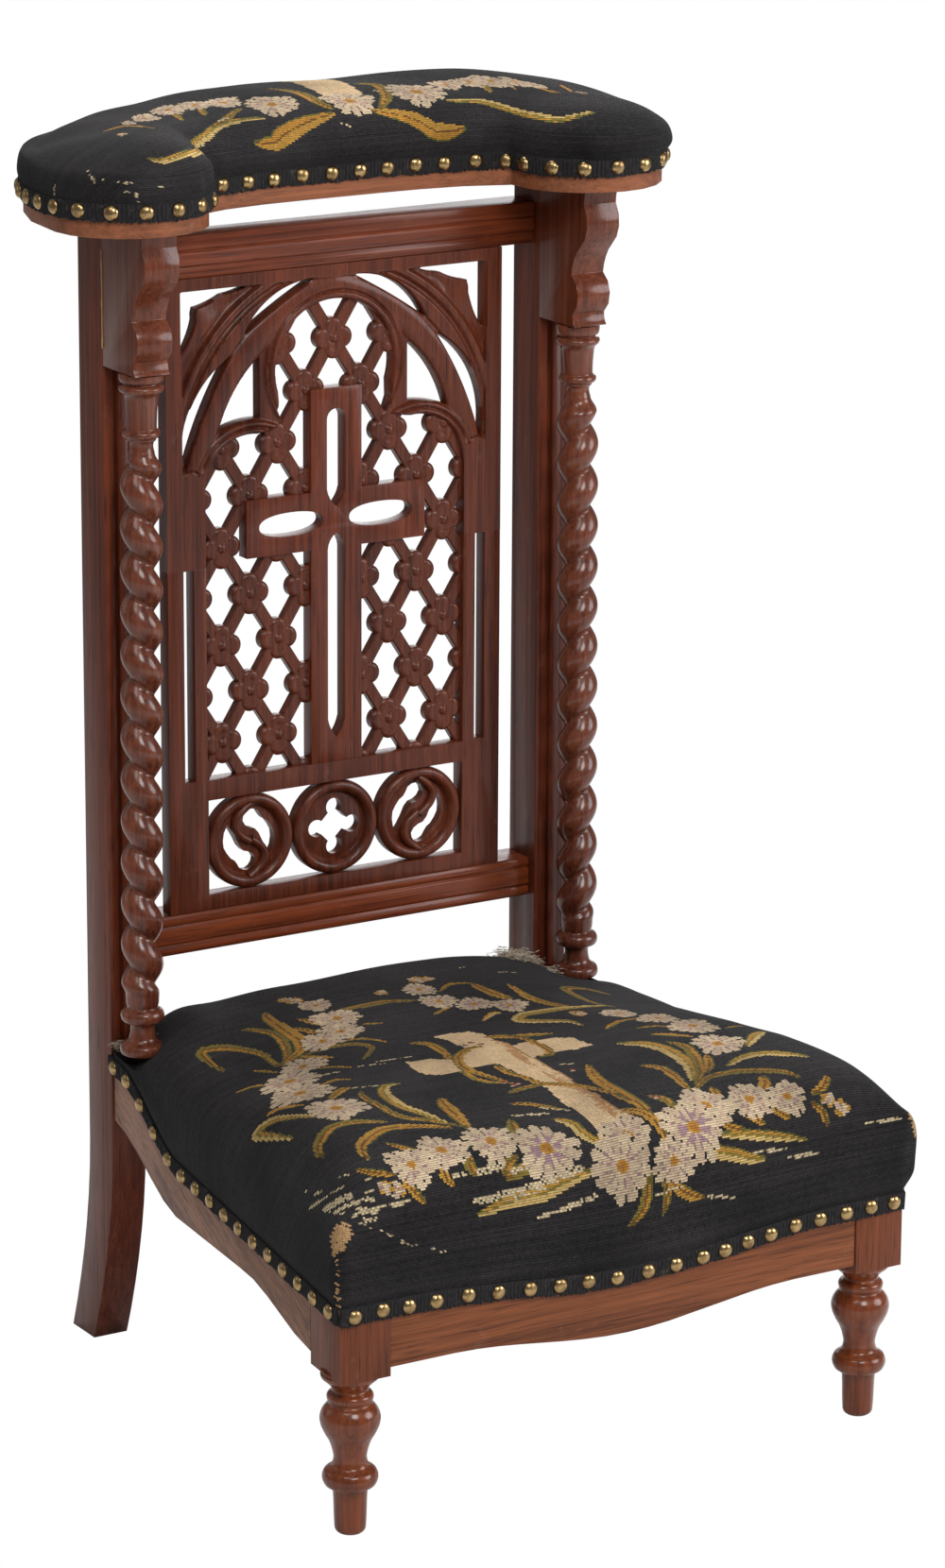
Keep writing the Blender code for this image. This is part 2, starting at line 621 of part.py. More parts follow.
def spandrel():
    corner = (PANEL_HALF - PANEL_SIDE_STRIP, PANEL_HEIGHT - PANEL_TOP_STRIP_SHARE * LIGHT_HEIGHT)
    upper_tip, lower_tip = [light_point(share, PANEL_HALF) for share in SPANDREL_TIP_SHARES]
    leaf = [light_point(share, PANEL_HALF) for share in SPANDREL_LEAF_SHARES]
    return [(upper_tip[0], corner[1])] + leaf + [(corner[0], lower_tip[1]), corner]


def side_triangle():
    top, bulge, corner, foot = [light_point(share) for share in SIDE_TRIANGLE_SHARES]
    return three_point_arc(top, bulge, corner, 4) + [foot]


def light_arc(middle, size, last, grow):
    """A lobe's arc from its side upwards, for a middle and a size in shares of the light."""
    across, up = size[0] * LIGHT_HALF + grow, size[1] * LIGHT_HEIGHT + grow
    centre = light_point(middle)
    unit = round_arc((0.0, 0.0), 1.0, 0.0, last, 6)
    return [(centre[0] + x * across, centre[1] + y * up) for x, y in unit]


def lattice_opening(grow):
    """The three-lobed head over a straight-sided light, grown all round by a lap."""
    middle = (0.0, CENTRE_LOBE_HEIGHT_SHARE)
    lobe = (1.0 - SIDE_LOBE_SIZE_SHARES[0], SIDE_LOBE_HEIGHT_SHARE)
    side = [(LIGHT_HALF + grow, LATTICE_BASE - grow)]
    side += light_arc(lobe, SIDE_LOBE_SIZE_SHARES, 100.0, grow)
    cusp = light_point(CUSP_SHARES)
    side.append((cusp[0] + grow, cusp[1] + grow))
    head = light_arc(middle, CENTRE_LOBE_SIZE_SHARES, 90.0, grow)
    side.append((head[0][0], (head[0][1] + cusp[1]) / 2))
    side += head
    return side + mirrored(side[:-1])


def rectangle(left, bottom, right, top):
    return [(left, bottom), (right, bottom), (right, top), (left, top)]


def side_slot():
    outer = PANEL_HALF - PANEL_SIDE_STRIP + FIT_GAP
    return rectangle(outer - SLOT_WIDTH, LATTICE_BASE, outer, LATTICE_BASE + SLOT_HEIGHT_SHARE * LIGHT_HEIGHT)


def cross_outline():
    """The cross stands on the base band and laps it, so that both are one board."""
    foot = LATTICE_BASE - LATTICE_LAP / 2
    arm = CROSS_ARM_SHARE * LIGHT_HALF
    centre = LATTICE_BASE + CROSS_ARM_HEIGHT_SHARE * LIGHT_HEIGHT
    low = centre - CROSS_HALF_WIDTH
    high = centre + CROSS_HALF_WIDTH
    top = LATTICE_BASE + CROSS_TOP_SHARE * LIGHT_HEIGHT
    half = CROSS_HALF_WIDTH
    side = [(half, foot), (half, low), (arm, low), (arm, high), (half, high), (half, top)]
    return side + mirrored(side)


def pointed_slot(length):
    """A slot along local Y, round at the low end and pointed at the high end, from zero up."""
    radius = CROSS_SLOT_WIDTH / 2
    low_end = round_arc((0.0, radius), radius, 180.0, 360.0, 6)
    shoulder = length - 2 * radius
    return low_end + [(radius, shoulder), (radius / 2, length - radius / 2), (0.0, length),
                      (-radius / 2, length - radius / 2), (-radius, shoulder)]


def cross_slots():
    centre = LATTICE_BASE + CROSS_ARM_HEIGHT_SHARE * LIGHT_HEIGHT
    inner = CROSS_HALF_WIDTH / 2
    upper_end = LATTICE_BASE + CROSS_TOP_SHARE * LIGHT_HEIGHT - inner - CROSS_SLOT_WIDTH / 2
    lower_end = LATTICE_BASE + CROSS_SLOT_WIDTH
    arm_end = CROSS_ARM_SHARE * LIGHT_HALF - inner
    up = pointed_slot(upper_end - centre - inner)
    down = pointed_slot(centre - inner - lower_end)
    across = pointed_slot(arm_end - inner)
    upper = [(x, upper_end - y) for x, y in up]
    lower = [(x, centre - inner - y) for x, y in reversed(down)]
    right = [(arm_end - y, centre + x) for x, y in across]
    return [upper, lower, right, mirrored(right)]


def lattice_holes():
    """The spaces between the flowers, at every second crossing of the diagonal grid."""
    pitch_across = LATTICE_HALF_PITCH_SHARES[0] * LIGHT_HALF
    pitch_up = LATTICE_HALF_PITCH_SHARES[1] * LIGHT_HEIGHT
    wide, tall = LATTICE_OPENING_SIZE_SHARES
    right = [(x * wide * pitch_across, y * tall * pitch_up) for x, y in LATTICE_OPENING_SHARES]
    hole = right + [(-x, -y) for x, y in right]
    holes = []
    for row in range(LATTICE_ROW_COUNT + 1):
        z = LATTICE_BASE + LATTICE_FIRST_ROW_SHARE * LIGHT_HEIGHT + row * pitch_up
        for column in range(-(LATTICE_COLUMN_COUNT // 2), LATTICE_COLUMN_COUNT // 2 + 1):
            if (row + column) % 2 == 0:
                continue
            x = column * pitch_across
            holes.append([(x + dx, z + dy) for dx, dy in hole])
    return holes


def quatrefoil(steps=24):
    shape = []
    for step in range(steps):
        angle = math.tau * step / steps
        reach = QUATREFOIL_MEAN_SHARE + QUATREFOIL_SWING_SHARE * math.cos(4 * angle)
        shape.append((reach * ROUNDEL_RADIUS * math.cos(angle), reach * ROUNDEL_RADIUS * math.sin(angle)))
    return shape


def mouchettes(side):
    first = [(side * x * ROUNDEL_RADIUS, y * ROUNDEL_RADIUS) for x, y in MOUCHETTE_SHARES]
    return [first, [(-x, -y) for x, y in first]]


def shifted(points, dx, dy):
    return [(x + dx, y + dy) for x, y in points]


def make_panel(shop):
    middle_y = PANEL_FRONT + PANEL_THICKNESS / 2
    place = upright_plane(middle_y)
    place.translation = Vector((0.0, middle_y, PANEL_BOTTOM))
    roundel_half = 3 * ROUNDEL_RADIUS
    holes = both_sides(spandrel()) + both_sides(crescent(UPPER_CRESCENT_SHARES, 5))
    holes += both_sides(crescent(LOWER_CRESCENT_SHARES, 5)) + both_sides(side_triangle())
    holes += both_sides(side_slot())
    holes.append(lattice_opening(0.0))
    holes.append(rectangle(-roundel_half, PANEL_BASE_STRIP, roundel_half,
                           PANEL_BASE_STRIP + 2 * ROUNDEL_RADIUS))
    board = [rectangle(-PANEL_HALF, 0.0, PANEL_HALF, PANEL_HEIGHT)] + holes
    panel = shop.add("fretwork_panel", outline_mesh("fretwork_panel", board, PANEL_THICKNESS),
                     "stained_oak", place)
    raised = PANEL_THICKNESS - 2 * CROSS_FACE_RECESS
    cross = shop.guide("panel_cross", outline_mesh(
        "panel_cross", [cross_outline()], raised), place)
    back_shift = LATTICE_RECESS + LATTICE_THICKNESS / 2 - PANEL_THICKNESS / 2
    deep_place = place @ Matrix.Translation((0.0, 0.0, -back_shift))
    lattice = shop.guide("panel_lattice", outline_mesh(
        "panel_lattice", [lattice_opening(LATTICE_LAP)], LATTICE_THICKNESS), deep_place)
    punch = shop.guide("panel_lattice_punch", outline_mesh(
        "panel_lattice_punch", lattice_holes(), LATTICE_THICKNESS + 2 * CUT_OVERRUN), deep_place)
    slots = shop.guide("panel_slot_punch", outline_mesh(
        "panel_slot_punch", cross_slots(), PANEL_THICKNESS + 2 * CUT_OVERRUN), place)
    cut(lattice, punch)
    disc = round_arc((0.0, 0.0), ROUNDEL_RADIUS + ROUNDEL_OVERLAP, 0.0, 345.0, 23)
    roundels = []
    for label, side, openings in (("left", -1, mouchettes(1)), ("middle", 0, [quatrefoil()]),
                                  ("right", 1, mouchettes(-1))):
        loops = [shifted(loop, 2 * side * ROUNDEL_RADIUS, ROUNDEL_MIDDLE) for loop in [disc] + openings]
        roundels.append(shop.guide("roundel_" + label, outline_mesh(
            "roundel_" + label, loops, raised - side * side * FIT_GAP), place))
    tongue_y = (middle_y - PANEL_TONGUE_THICKNESS / 2, middle_y + PANEL_TONGUE_THICKNESS / 2)
    tongue_half = PANEL_HALF - PANEL_TONGUE_HEIGHT
    tongues = []
    grooves = []
    for label, low, high in (
            ("lower", PANEL_BOTTOM - PANEL_TONGUE_HEIGHT, PANEL_BOTTOM + PANEL_TONGUE_HEIGHT),
            ("upper", PANEL_TOP - PANEL_TONGUE_HEIGHT, PANEL_TOP + PANEL_TONGUE_HEIGHT)):
        tongues.append(shop.guide(label + "_tongue", box_mesh(
            label + "_tongue", (-tongue_half, tongue_y[0], low), (tongue_half, tongue_y[1], high))))
        grooves.append(shop.guide(label + "_groove", box_mesh(
            label + "_groove", (-tongue_half - FIT_GAP, tongue_y[0] - FIT_GAP, low - FIT_GAP),
            (tongue_half + FIT_GAP, tongue_y[1] + FIT_GAP, high + FIT_GAP))))
    unite(panel, lattice, cross, *roundels, *tongues)
    cut(panel, slots)
    return grooves


def bracket_outline():
    height = STILE_TOP - BRACKET_BOTTOM
    front = []
    for shares in BRACKET_SHARES:
        places = [(-depth * BRACKET_DEPTH, BRACKET_BOTTOM + rise * height) for depth, rise in shares]
        front += three_point_arc(*places, 4)
    return [(-FIT_GAP, BRACKET_BOTTOM), (-FIT_GAP, STILE_TOP)] + front


def column_ends(side):
    """Foot and head of the column's axis, which leans outwards by the spread at its foot."""
    foot = Vector((side * (STILE_MIDDLE + COLUMN_SPREAD), -COLUMN_AXIS_FORWARD, COLUMN_BASE_HEIGHT))
    lean_gap = COLUMN_RADIUS * COLUMN_SPREAD / (BRACKET_BOTTOM - COLUMN_BASE_HEIGHT)
    head = Vector((side * STILE_MIDDLE, -COLUMN_AXIS_FORWARD, BRACKET_BOTTOM - FIT_GAP - lean_gap))
    return foot, head


def column_rings(side):
    """Rings of the turned ends and of the twist between them, along local Z from the foot."""
    foot, head = column_ends(side)
    length = (head - foot).length
    twist_start = COLUMN_BASE_TURNING
    twist_length = length - COLUMN_TOP_TURNING - COLUMN_BASE_TURNING
    turns = twist_length / TWIST_PITCH
    stations = [(-COLUMN_PIN_LENGTH, COLUMN_PIN_RADIUS, 0.0, 0.0), (0.0, COLUMN_PIN_RADIUS, 0.0, 0.0)]
    stations += [(place * COLUMN_BASE_TURNING, share * COLUMN_RADIUS, 0.0, 0.0)
                 for place, share in COLUMN_BASE_SHARES]
    count = round(turns * TWIST_RINGS_PER_TURN)
    for step in range(1, count):
        share = step / count
        ends = min(share, 1 - share) * turns
        swing = TWIST_OFFSET * smooth_step(ends)
        neck = COLUMN_BASE_SHARES[-1][1] * COLUMN_RADIUS
        radius = neck + (TWIST_CORE_RADIUS - neck) * smooth_step(ends * 2)
        angle = -side * math.tau * share * turns
        stations.append((twist_start + share * twist_length, radius, swing, angle))
    stations += [(length - place * COLUMN_TOP_TURNING, share * COLUMN_RADIUS, 0.0, 0.0)
                 for place, share in reversed(COLUMN_TOP_SHARES)]
    stations.append((length, COLUMN_PIN_RADIUS, 0.0, 0.0))
    stations.append((length + COLUMN_PIN_LENGTH, COLUMN_PIN_RADIUS, 0.0, 0.0))
    rings = []
    for z, radius, swing, turn in stations:
        centre = (swing * math.cos(turn), swing * math.sin(turn))
        circle = round_arc(centre, radius, 0.0, 360.0, COLUMN_SIDES)[:-1]
        rings.append([(x, y, z) for x, y in circle])
    return rings


def column_place(side):
    foot, head = column_ends(side)
    turn = (head - foot).to_track_quat("Z", "Y").to_matrix().to_4x4()
    return Matrix.Translation(foot) @ turn


def make_column(shop, side, label, bracket):
    name = "column_" + label
    mesh = loft_mesh(name, column_rings(side))
    shade_round(mesh)
    shop.add(name, mesh, "stained_oak", column_place(side))
    foot, head = column_ends(side)
    hole_radius = COLUMN_PIN_RADIUS + 2 * FIT_GAP
    head_hole = shop.guide(name + "_head_hole", rod_mesh(
        name + "_head_hole", [head], hole_radius, 2 * COLUMN_PIN_LENGTH + 4 * FIT_GAP, head - foot))
    foot_hole = shop.guide(name + "_foot_hole", rod_mesh(
        name + "_foot_hole", [foot], hole_radius, 2 * COLUMN_PIN_LENGTH + 4 * FIT_GAP, head - foot))
    seat_clearance = COLUMN_RADIUS + 4 * FIT_GAP
    collar_middle = Vector((foot.x, foot.y, COLUMN_BASE_HEIGHT - FIT_GAP + COLUMN_BASE_TURNING / 2))
    collar = shop.guide(name + "_collar", rod_mesh(
        name + "_collar", [collar_middle], seat_clearance, COLUMN_BASE_TURNING, (0.0, 0.0, 1.0)))
    cut(bracket, head_hole)
    strip_left = side * STILE_MIDDLE - STRIP_WIDTH / 2
    strip_low = (strip_left, -FIT_GAP - STRIP_DEPTH, STRIP_BOTTOM)
    strip_high = (strip_left + STRIP_WIDTH, -FIT_GAP, BRACKET_BOTTOM - FIT_GAP)
    strip = "column_strip_" + label
    shop.add(strip, box_mesh(strip, strip_low, strip_high), "stained_oak")
    return foot_hole, collar


def make_back_sides(shop, sockets):
    """Stiles, brackets, columns and strips; returns the cutters that the seat needs."""
    seat_cutters = []
    stiles = {}
    for label, side in (("left", -1), ("right", 1)):
        middle = side * STILE_MIDDLE
        stile = shop.add("stile_" + label, outline_mesh(
            "stile_" + label, [stile_outline()], STILE_WIDTH), "stained_oak", side_plane(middle))
        bracket = shop.add("bracket_" + label, outline_mesh(
            "bracket_" + label, [bracket_outline()], STILE_WIDTH), "stained_oak", side_plane(middle))
        cut(stile, *sockets)
        seat_cutters.append((label, side, make_column(shop, side, label, bracket)))
        stiles[label] = (stile, bracket)
    return stiles, seat_cutters


def make_dowel(shop, name, place, direction, *held):
    """A dowel across a joint, with a hole for it in each piece that it holds."""
    shop.add(name, rod_mesh(name, [place], DOWEL_RADIUS, DOWEL_LENGTH, direction), "deal")
    hole = shop.guide(name + "_hole", rod_mesh(
        name + "_hole", [place], DOWEL_RADIUS + FIT_GAP, DOWEL_LENGTH + 2 * FIT_GAP, direction))
    for piece in held:
        cut(piece, hole)


def make_dowels(shop, stiles, board):
    middle_height = (STILE_TOP + BRACKET_BOTTOM) / 2
    for label, side in (("left", -1), ("right", 1)):
        stile, bracket = stiles[label]
        in_front = (side * STILE_MIDDLE, -FIT_GAP / 2, middle_height)
        make_dowel(shop, "bracket_dowel_" + label, in_front, (0, 1, 0), stile, bracket)
        on_top = (side * STILE_MIDDLE, STILE_DEPTH / 2, STILE_TOP + FIT_GAP / 2)
        make_dowel(shop, "armrest_dowel_" + label, on_top, (0, 0, 1), stile, board)


# Seat frame

def side_rail_outline(start, end):
    places = side_stations(start, end)
    lower = [(place, seat_lower_height(place)) for place in places]
    upper = [(place, rail_top_height(place)) for place in reversed(places)]
    return lower + upper


def make_seat_frame(shop, stiles, seat_cutters):
    half_thick = SEAT_RAIL_THICKNESS / 2
    front_half = SEAT_FRONT_HALF - LEG_BLOCK_WIDTH
    rail_front = SEAT_DEPTH - SEAT_RAIL_RELIEF
    xs = spread(-front_half + FIT_GAP, front_half - FIT_GAP, 23)
    lower = [(x, front_lower_height(x)) for x in xs]
    front_top = FRONT_EDGE_HEIGHT + GIMP_HEIGHT
    loop = lower + [(xs[-1], front_top), (xs[0], front_top)]
    front = shop.add("front_rail", outline_mesh("front_rail", [loop], SEAT_RAIL_THICKNESS),
                     "seat_oak", upright_plane(-rail_front + half_thick))
    tenon_half = SEAT_RAIL_THICKNESS / 5
    tenon_y = -rail_front + half_thick
    reach = front_half + SEAT_TENON_LENGTH
    tenon_low = FRONT_LOWER_HEIGHT + TENON_SHOULDER
    tenon_high = front_top - TENON_SHOULDER * 2
    front_tenon = shop.guide("front_rail_tenon", box_mesh(
        "front_rail_tenon", (-reach, tenon_y - tenon_half, tenon_low), (reach, tenon_y + tenon_half, tenon_high)))
    unite(front, front_tenon)
    front_socket = shop.guide("front_rail_mortise", box_mesh(
        "front_rail_mortise", (-reach - FIT_GAP, tenon_y - tenon_half - FIT_GAP, tenon_low - FIT_GAP),
        (reach + FIT_GAP, tenon_y + tenon_half + FIT_GAP, tenon_high + FIT_GAP)))
    rear_top = rail_top_height(0.0)
    rear_low = rear_top - REAR_RAIL_HEIGHT
    rear = shop.add("rear_rail", box_mesh(
        "rear_rail", (-STILE_INNER + FIT_GAP, 0.0, rear_low),
        (STILE_INNER - FIT_GAP, SEAT_RAIL_THICKNESS, rear_top)), "seat_oak")
    rear_reach = STILE_INNER + SEAT_TENON_LENGTH
    rear_low_y = SEAT_TENON_LENGTH + 5 * FIT_GAP
    rear_high_y = rear_low_y + 2 * tenon_half
    rear_tenon = shop.guide("rear_rail_tenon", box_mesh(
        "rear_rail_tenon", (-rear_reach, rear_low_y, rear_low + TENON_SHOULDER),
        (rear_reach, rear_high_y, rear_top - TENON_SHOULDER)))
    unite(rear, rear_tenon)
    rear_socket = shop.guide("rear_rail_mortise", box_mesh(
        "rear_rail_mortise", (-rear_reach - FIT_GAP, rear_low_y - FIT_GAP, rear_low + TENON_SHOULDER - FIT_GAP),
        (rear_reach + FIT_GAP, rear_high_y + FIT_GAP, rear_top - TENON_SHOULDER + FIT_GAP)))
    for label, side, (foot_hole, _collar) in seat_cutters:
        rail, sockets = make_side_rail(shop, side, label, foot_hole)
        cut(stiles[label][0], rear_socket, sockets)
        leg = make_front_leg(shop, side, label)
        cut(leg, front_socket, sockets)
        make_glue_blocks(shop, side, label)


def make_side_rail(shop, side, label, foot_hole):
    name = "side_rail_" + label
    middle = seat_side_plane(side, -SEAT_RAIL_RELIEF - SEAT_RAIL_THICKNESS / 2)
    start = SEAT_RAIL_THICKNESS * math.tan(SPLAY) + FIT_GAP
    rail = shop.add(name, outline_mesh(name, [side_rail_outline(start, SIDE_RAIL_END - start)],
                                       SEAT_RAIL_THICKNESS), "seat_oak", middle)
    half = SEAT_RAIL_THICKNESS / 5
    pieces = []
    rear_low = seat_lower_height(0.0) + 2 * TENON_SHOULDER
    rear_high = rail_top_height(0.0) - 2 * TENON_SHOULDER
    front_low = seat_lower_height(SIDE_RAIL_END) + TENON_SHOULDER
    front_high = rail_top_height(SIDE_RAIL_END) - 2 * TENON_SHOULDER
    inside = SEAT_TENON_LENGTH + start
    for end, low, high, first, last in (
            ("rear", rear_low, rear_high, -SEAT_TENON_LENGTH, inside),
            ("front", front_low, front_high, SIDE_RAIL_END - inside, SIDE_RAIL_END + SEAT_TENON_LENGTH)):
        tenon = shop.guide(name + "_tenon_" + end, box_mesh(
            name + "_tenon_" + end, (first, low, -half), (last, high, half)), middle)
        unite(rail, tenon)
        pieces.append(((first - FIT_GAP, low - FIT_GAP, -half - FIT_GAP),
                       (last + FIT_GAP, high + FIT_GAP, half + FIT_GAP)))
    socket_mesh = box_mesh(name + "_mortises", *pieces[0])
    second = box_mesh(name + "_second_mortise", *pieces[1])
    joined = bmesh.new()
    joined.from_mesh(socket_mesh)
    joined.from_mesh(second)
    joined.to_mesh(socket_mesh)
    joined.free()
    bpy.data.meshes.remove(second)
    sockets = shop.guide(name + "_mortises", socket_mesh, middle)
    cut(rail, foot_hole)
    return rail, sockets


def make_front_leg(shop, side, label):
    """One piece of wood: a block that holds the rails' tenons, turned below into a leg."""
    name = "front_leg_" + label
    rear_y = SEAT_DEPTH - LEG_BLOCK_DEPTH
    inner = SEAT_FRONT_HALF - LEG_BLOCK_WIDTH
    plan = [(inner, -SEAT_DEPTH), (SEAT_FRONT_HALF, -SEAT_DEPTH), (half_width(-rear_y), -rear_y), (inner, -rear_y)]
    if side < 0:
        plan = mirrored(plan)
    top = FRONT_EDGE_HEIGHT + GIMP_HEIGHT
    height = top - LEG_BLOCK_BOTTOM
    place = Matrix.Translation((0.0, 0.0, LEG_BLOCK_BOTTOM + height / 2))
    leg = shop.add(name, outline_mesh(name, [plan], height), "stained_oak", place)
    profile = [(0.0, LEG_BLOCK_BOTTOM + CUT_OVERRUN)]
    profile.append((LEG_SHARES[0][1] * LEG_LARGEST_RADIUS, LEG_BLOCK_BOTTOM + CUT_OVERRUN))
    profile += [(radius * LEG_LARGEST_RADIUS, share * LEG_BLOCK_BOTTOM) for share, radius in LEG_SHARES]
    profile.append((0.0, 0.0))
    line = bmesh.new()
    verts = [line.verts.new((radius, 0.0, z)) for radius, z in profile]
    for upper, lower in zip(verts, verts[1:]):
        line.edges.new((upper, lower))
    mesh = bpy.data.meshes.new(name + "_turning")
    line.to_mesh(mesh)
    line.free()
    middle_x = side * (SEAT_FRONT_HALF - LEG_BLOCK_WIDTH / 2)
    middle_y = -SEAT_DEPTH + LEG_LARGEST_RADIUS
    turning = shop.guide(name + "_turning", mesh, Matrix.Translation((middle_x, middle_y, 0.0)))
    spin = turning.modifiers.new("turning", "SCREW")
    spin.steps = LEG_STEPS
    spin.render_steps = LEG_STEPS
    spin.use_merge_vertices = True
    spin.merge_threshold = MERGE_DISTANCE
    unite(leg, turning)
    return leg


def make_glue_blocks(shop, side, label):
    front_y = -(SEAT_DEPTH - SEAT_RAIL_RELIEF - SEAT_RAIL_THICKNESS) + FIT_GAP
    front_x = SEAT_FRONT_HALF - LEG_BLOCK_WIDTH - FIT_GAP
    front = [(front_x, front_y), (front_x, front_y + GLUE_BLOCK_SIZE), (front_x - GLUE_BLOCK_SIZE, front_y)]
    inset = SEAT_RAIL_RELIEF + SEAT_RAIL_THICKNESS + FIT_GAP
    rear_y = -FIT_GAP
    low_y = rear_y - GLUE_BLOCK_SIZE
    rear = [(half_width(rear_y, inset), rear_y), (half_width(rear_y, inset) - GLUE_BLOCK_SIZE, rear_y),
            (half_width(low_y, inset), low_y)]
    front_top = FRONT_EDGE_HEIGHT + GIMP_HEIGHT - GLUE_BLOCK_DROP
    rear_top = rail_top_height(0.0) - GLUE_BLOCK_DROP * 2
    for end, plan, top in (("front", front, front_top), ("rear", rear, rear_top)):
        name = "glue_block_" + end + "_" + label
        loop = plan if side > 0 else mirrored(plan)
        place = Matrix.Translation((0.0, 0.0, top - GLUE_BLOCK_HEIGHT / 2))
        shop.add(name, outline_mesh(name, [loop], GLUE_BLOCK_HEIGHT), "deal", place)


# Upholstery

def draped_outline(lift, thickness, first, last):
    """A strap or cloth seen from the side, lying on the seat rails' tops."""
    lower = [(-place * math.cos(SPLAY), rail_top_height(place) + lift) for place in side_stations(first, last)]
    return lower + [(y, z + thickness) for y, z in reversed(lower)]


def make_seat_base(shop):
    slope = math.atan(SIDE_EDGE_SLOPE)
    first = SIDE_EDGE_RISE_END + WEBBING_WIDTH * CROSS_WEBBING_SHARE
    last = SEAT_DEPTH - SEAT_RAIL_THICKNESS - WEBBING_WIDTH
    count = int((last - first) / (WEBBING_WIDTH * CROSS_WEBBING_STEP_SHARE)) + 1
    for index, place in enumerate(spread(first, last, count)):
        half = half_width(-place + WEBBING_WIDTH / 2, SEAT_RAIL_THICKNESS / 3)
        size = (half, WEBBING_WIDTH / 2, WEBBING_THICKNESS / 2)
        name = "seat_webbing_across_" + str(index + 1)
        middle_z = rail_top_height(place) + FIT_GAP + WEBBING_THICKNESS / 2
        spot = Matrix.Translation((0.0, -place, middle_z)) @ Matrix.Rotation(slope, 4, "X")
        shop.add(name, box_mesh(name, [-reach for reach in size], size), "webbing", spot)
    start = -SEAT_RAIL_THICKNESS / 2
    end = SEAT_DEPTH - SEAT_RAIL_THICKNESS / 2
    profile = draped_outline(LONG_WEBBING_LIFT, WEBBING_THICKNESS, start, end)
    for index in range(LONG_WEBBING_COUNT):
        x = (index - (LONG_WEBBING_COUNT - 1) / 2) * LONG_WEBBING_SPACING
        name = "seat_webbing_lengthwise_" + str(index + 1)
        shop.add(name, outline_mesh(name, [profile], WEBBING_WIDTH), "webbing", side_plane(x))
    cloth = draped_outline(HESSIAN_LIFT, HESSIAN_THICKNESS, 2 * FIT_GAP, end)
    width = 2 * (BACK_HALF - HESSIAN_EDGE)
    shop.add("seat_hessian", outline_mesh("seat_hessian", [cloth], width), "hessian", side_plane(0.0))


def seat_edge_points(grow):
    """The right half of the kneeler's outline in plan, with four values at each point.

    They are the heights of the cover's lower edge and of the gimp's top, and the place along
    the side. At the rear the cover ends above the rail, over the webbing and the hessian.
    """
    rear_y = -2 * FIT_GAP + min(grow, 0.0)
    front_y = -SEAT_DEPTH - grow
    rear_low = rail_top_height(0.0) + STUFFING_LIFT
    points = [(half_width(rear_y, -grow) - SKIRT_RETURN, rear_y, rear_low, rear_low + FIT_GAP, 0.0)]
    over = GIMP_HEIGHT + COVER_OVER_GIMP
    for place in spread(0.0, SIDE_LENGTH - SEAT_CORNER_STEP, 11):
        y = rear_y + (front_y - rear_y) * place / SIDE_LENGTH
        edge = seat_edge_height(place)
        points.append((half_width(y, -grow), y, edge + COVER_SKIRT_LIFT, edge + over, place))
    for x in spread(half_width(front_y, -grow), 0.0, 8):
        edge = front_edge_height(x)
        points.append((x, front_y, edge + COVER_SKIRT_LIFT, edge + over, SIDE_LENGTH))
    return points


def seat_rings():
    """Rings of the kneeler's cover, from the skirt up and over to the crown."""
    outline = seat_edge_points(COVER_OUTER)
    rings = [[(x, y, low) for x, y, low, _high, _place in outline],
             [(x, y, high) for x, y, _low, high, _place in outline]]
    for (bulge, step_in, share), crown in zip(SEAT_RING_SHARES, SEAT_CROWN_SHARES):
        ring = []
        for x, y, _low, high, place in seat_edge_points(
                COVER_OUTER + bulge * SEAT_SIDE_BULGE - step_in * SEAT_INSET):
            shoulder = SEAT_REAR_SHOULDER
            shoulder += (SEAT_FRONT_SHOULDER - SEAT_REAR_SHOULDER) * place / SIDE_LENGTH
            ring.append((x, y, high + (shoulder - high) * share + SEAT_CROWN_RISE * crown))
        rings.append(ring)
    return [ring + [(-x, y, z) for x, y, z in reversed(ring[:-1])] for ring in rings]


def make_seat_cover(shop, seat_cutters):
    rings = seat_rings()
    mesh = loft_mesh("seat_cover", [list(reversed(ring)) for ring in rings], cap_start=False)
    cover = shop.add("seat_cover", mesh, "needlework")
    thicken = cover.modifiers.new("thicken", "SOLIDIFY")
    thicken.thickness = COVER_THICKNESS
    thicken.offset = -1.0
    for _label, _side, (foot_hole, collar) in seat_cutters:
        cut(cover, foot_hole, collar)
    return cover


def stuffing_sections():
    """Sections of the hair stuffing across the seat, from the rear to the front."""
    sections = []
    rear = -2 * FIT_GAP - SEAT_STUFFING_INSET
    front = -SEAT_DEPTH + SEAT_STUFFING_INSET
    for place in side_stations(-rear / math.cos(SPLAY), -front / math.cos(SPLAY)):
        y = -place * math.cos(SPLAY)
        bottom = rail_top_height(place) + STUFFING_LIFT
        wide = half_width(y, SEAT_STUFFING_INSET)
        share = place / SIDE_LENGTH
        shoulder = SEAT_REAR_SHOULDER + (SEAT_FRONT_SHOULDER - SEAT_REAR_SHOULDER) * share - SEAT_STUFFING_INSET
        shoulder = max(shoulder, bottom + FIT_GAP)
        from_edge = min(rear - y, y - front) / SEAT_INSET
        crown = SEAT_CROWN_RISE * smooth_step(from_edge) * SEAT_CROWN_SHARES[-1]
        profile = [(wide, bottom), (wide, shoulder), (wide - SEAT_INSET / 2, shoulder + crown * 0.6),
                   (wide - SEAT_INSET, shoulder + crown)]
        half = [(x, y, z) for x, z in profile]
        sections.append(half + [(-x, y_at, z) for x, y_at, z in reversed(half)])
    return sections


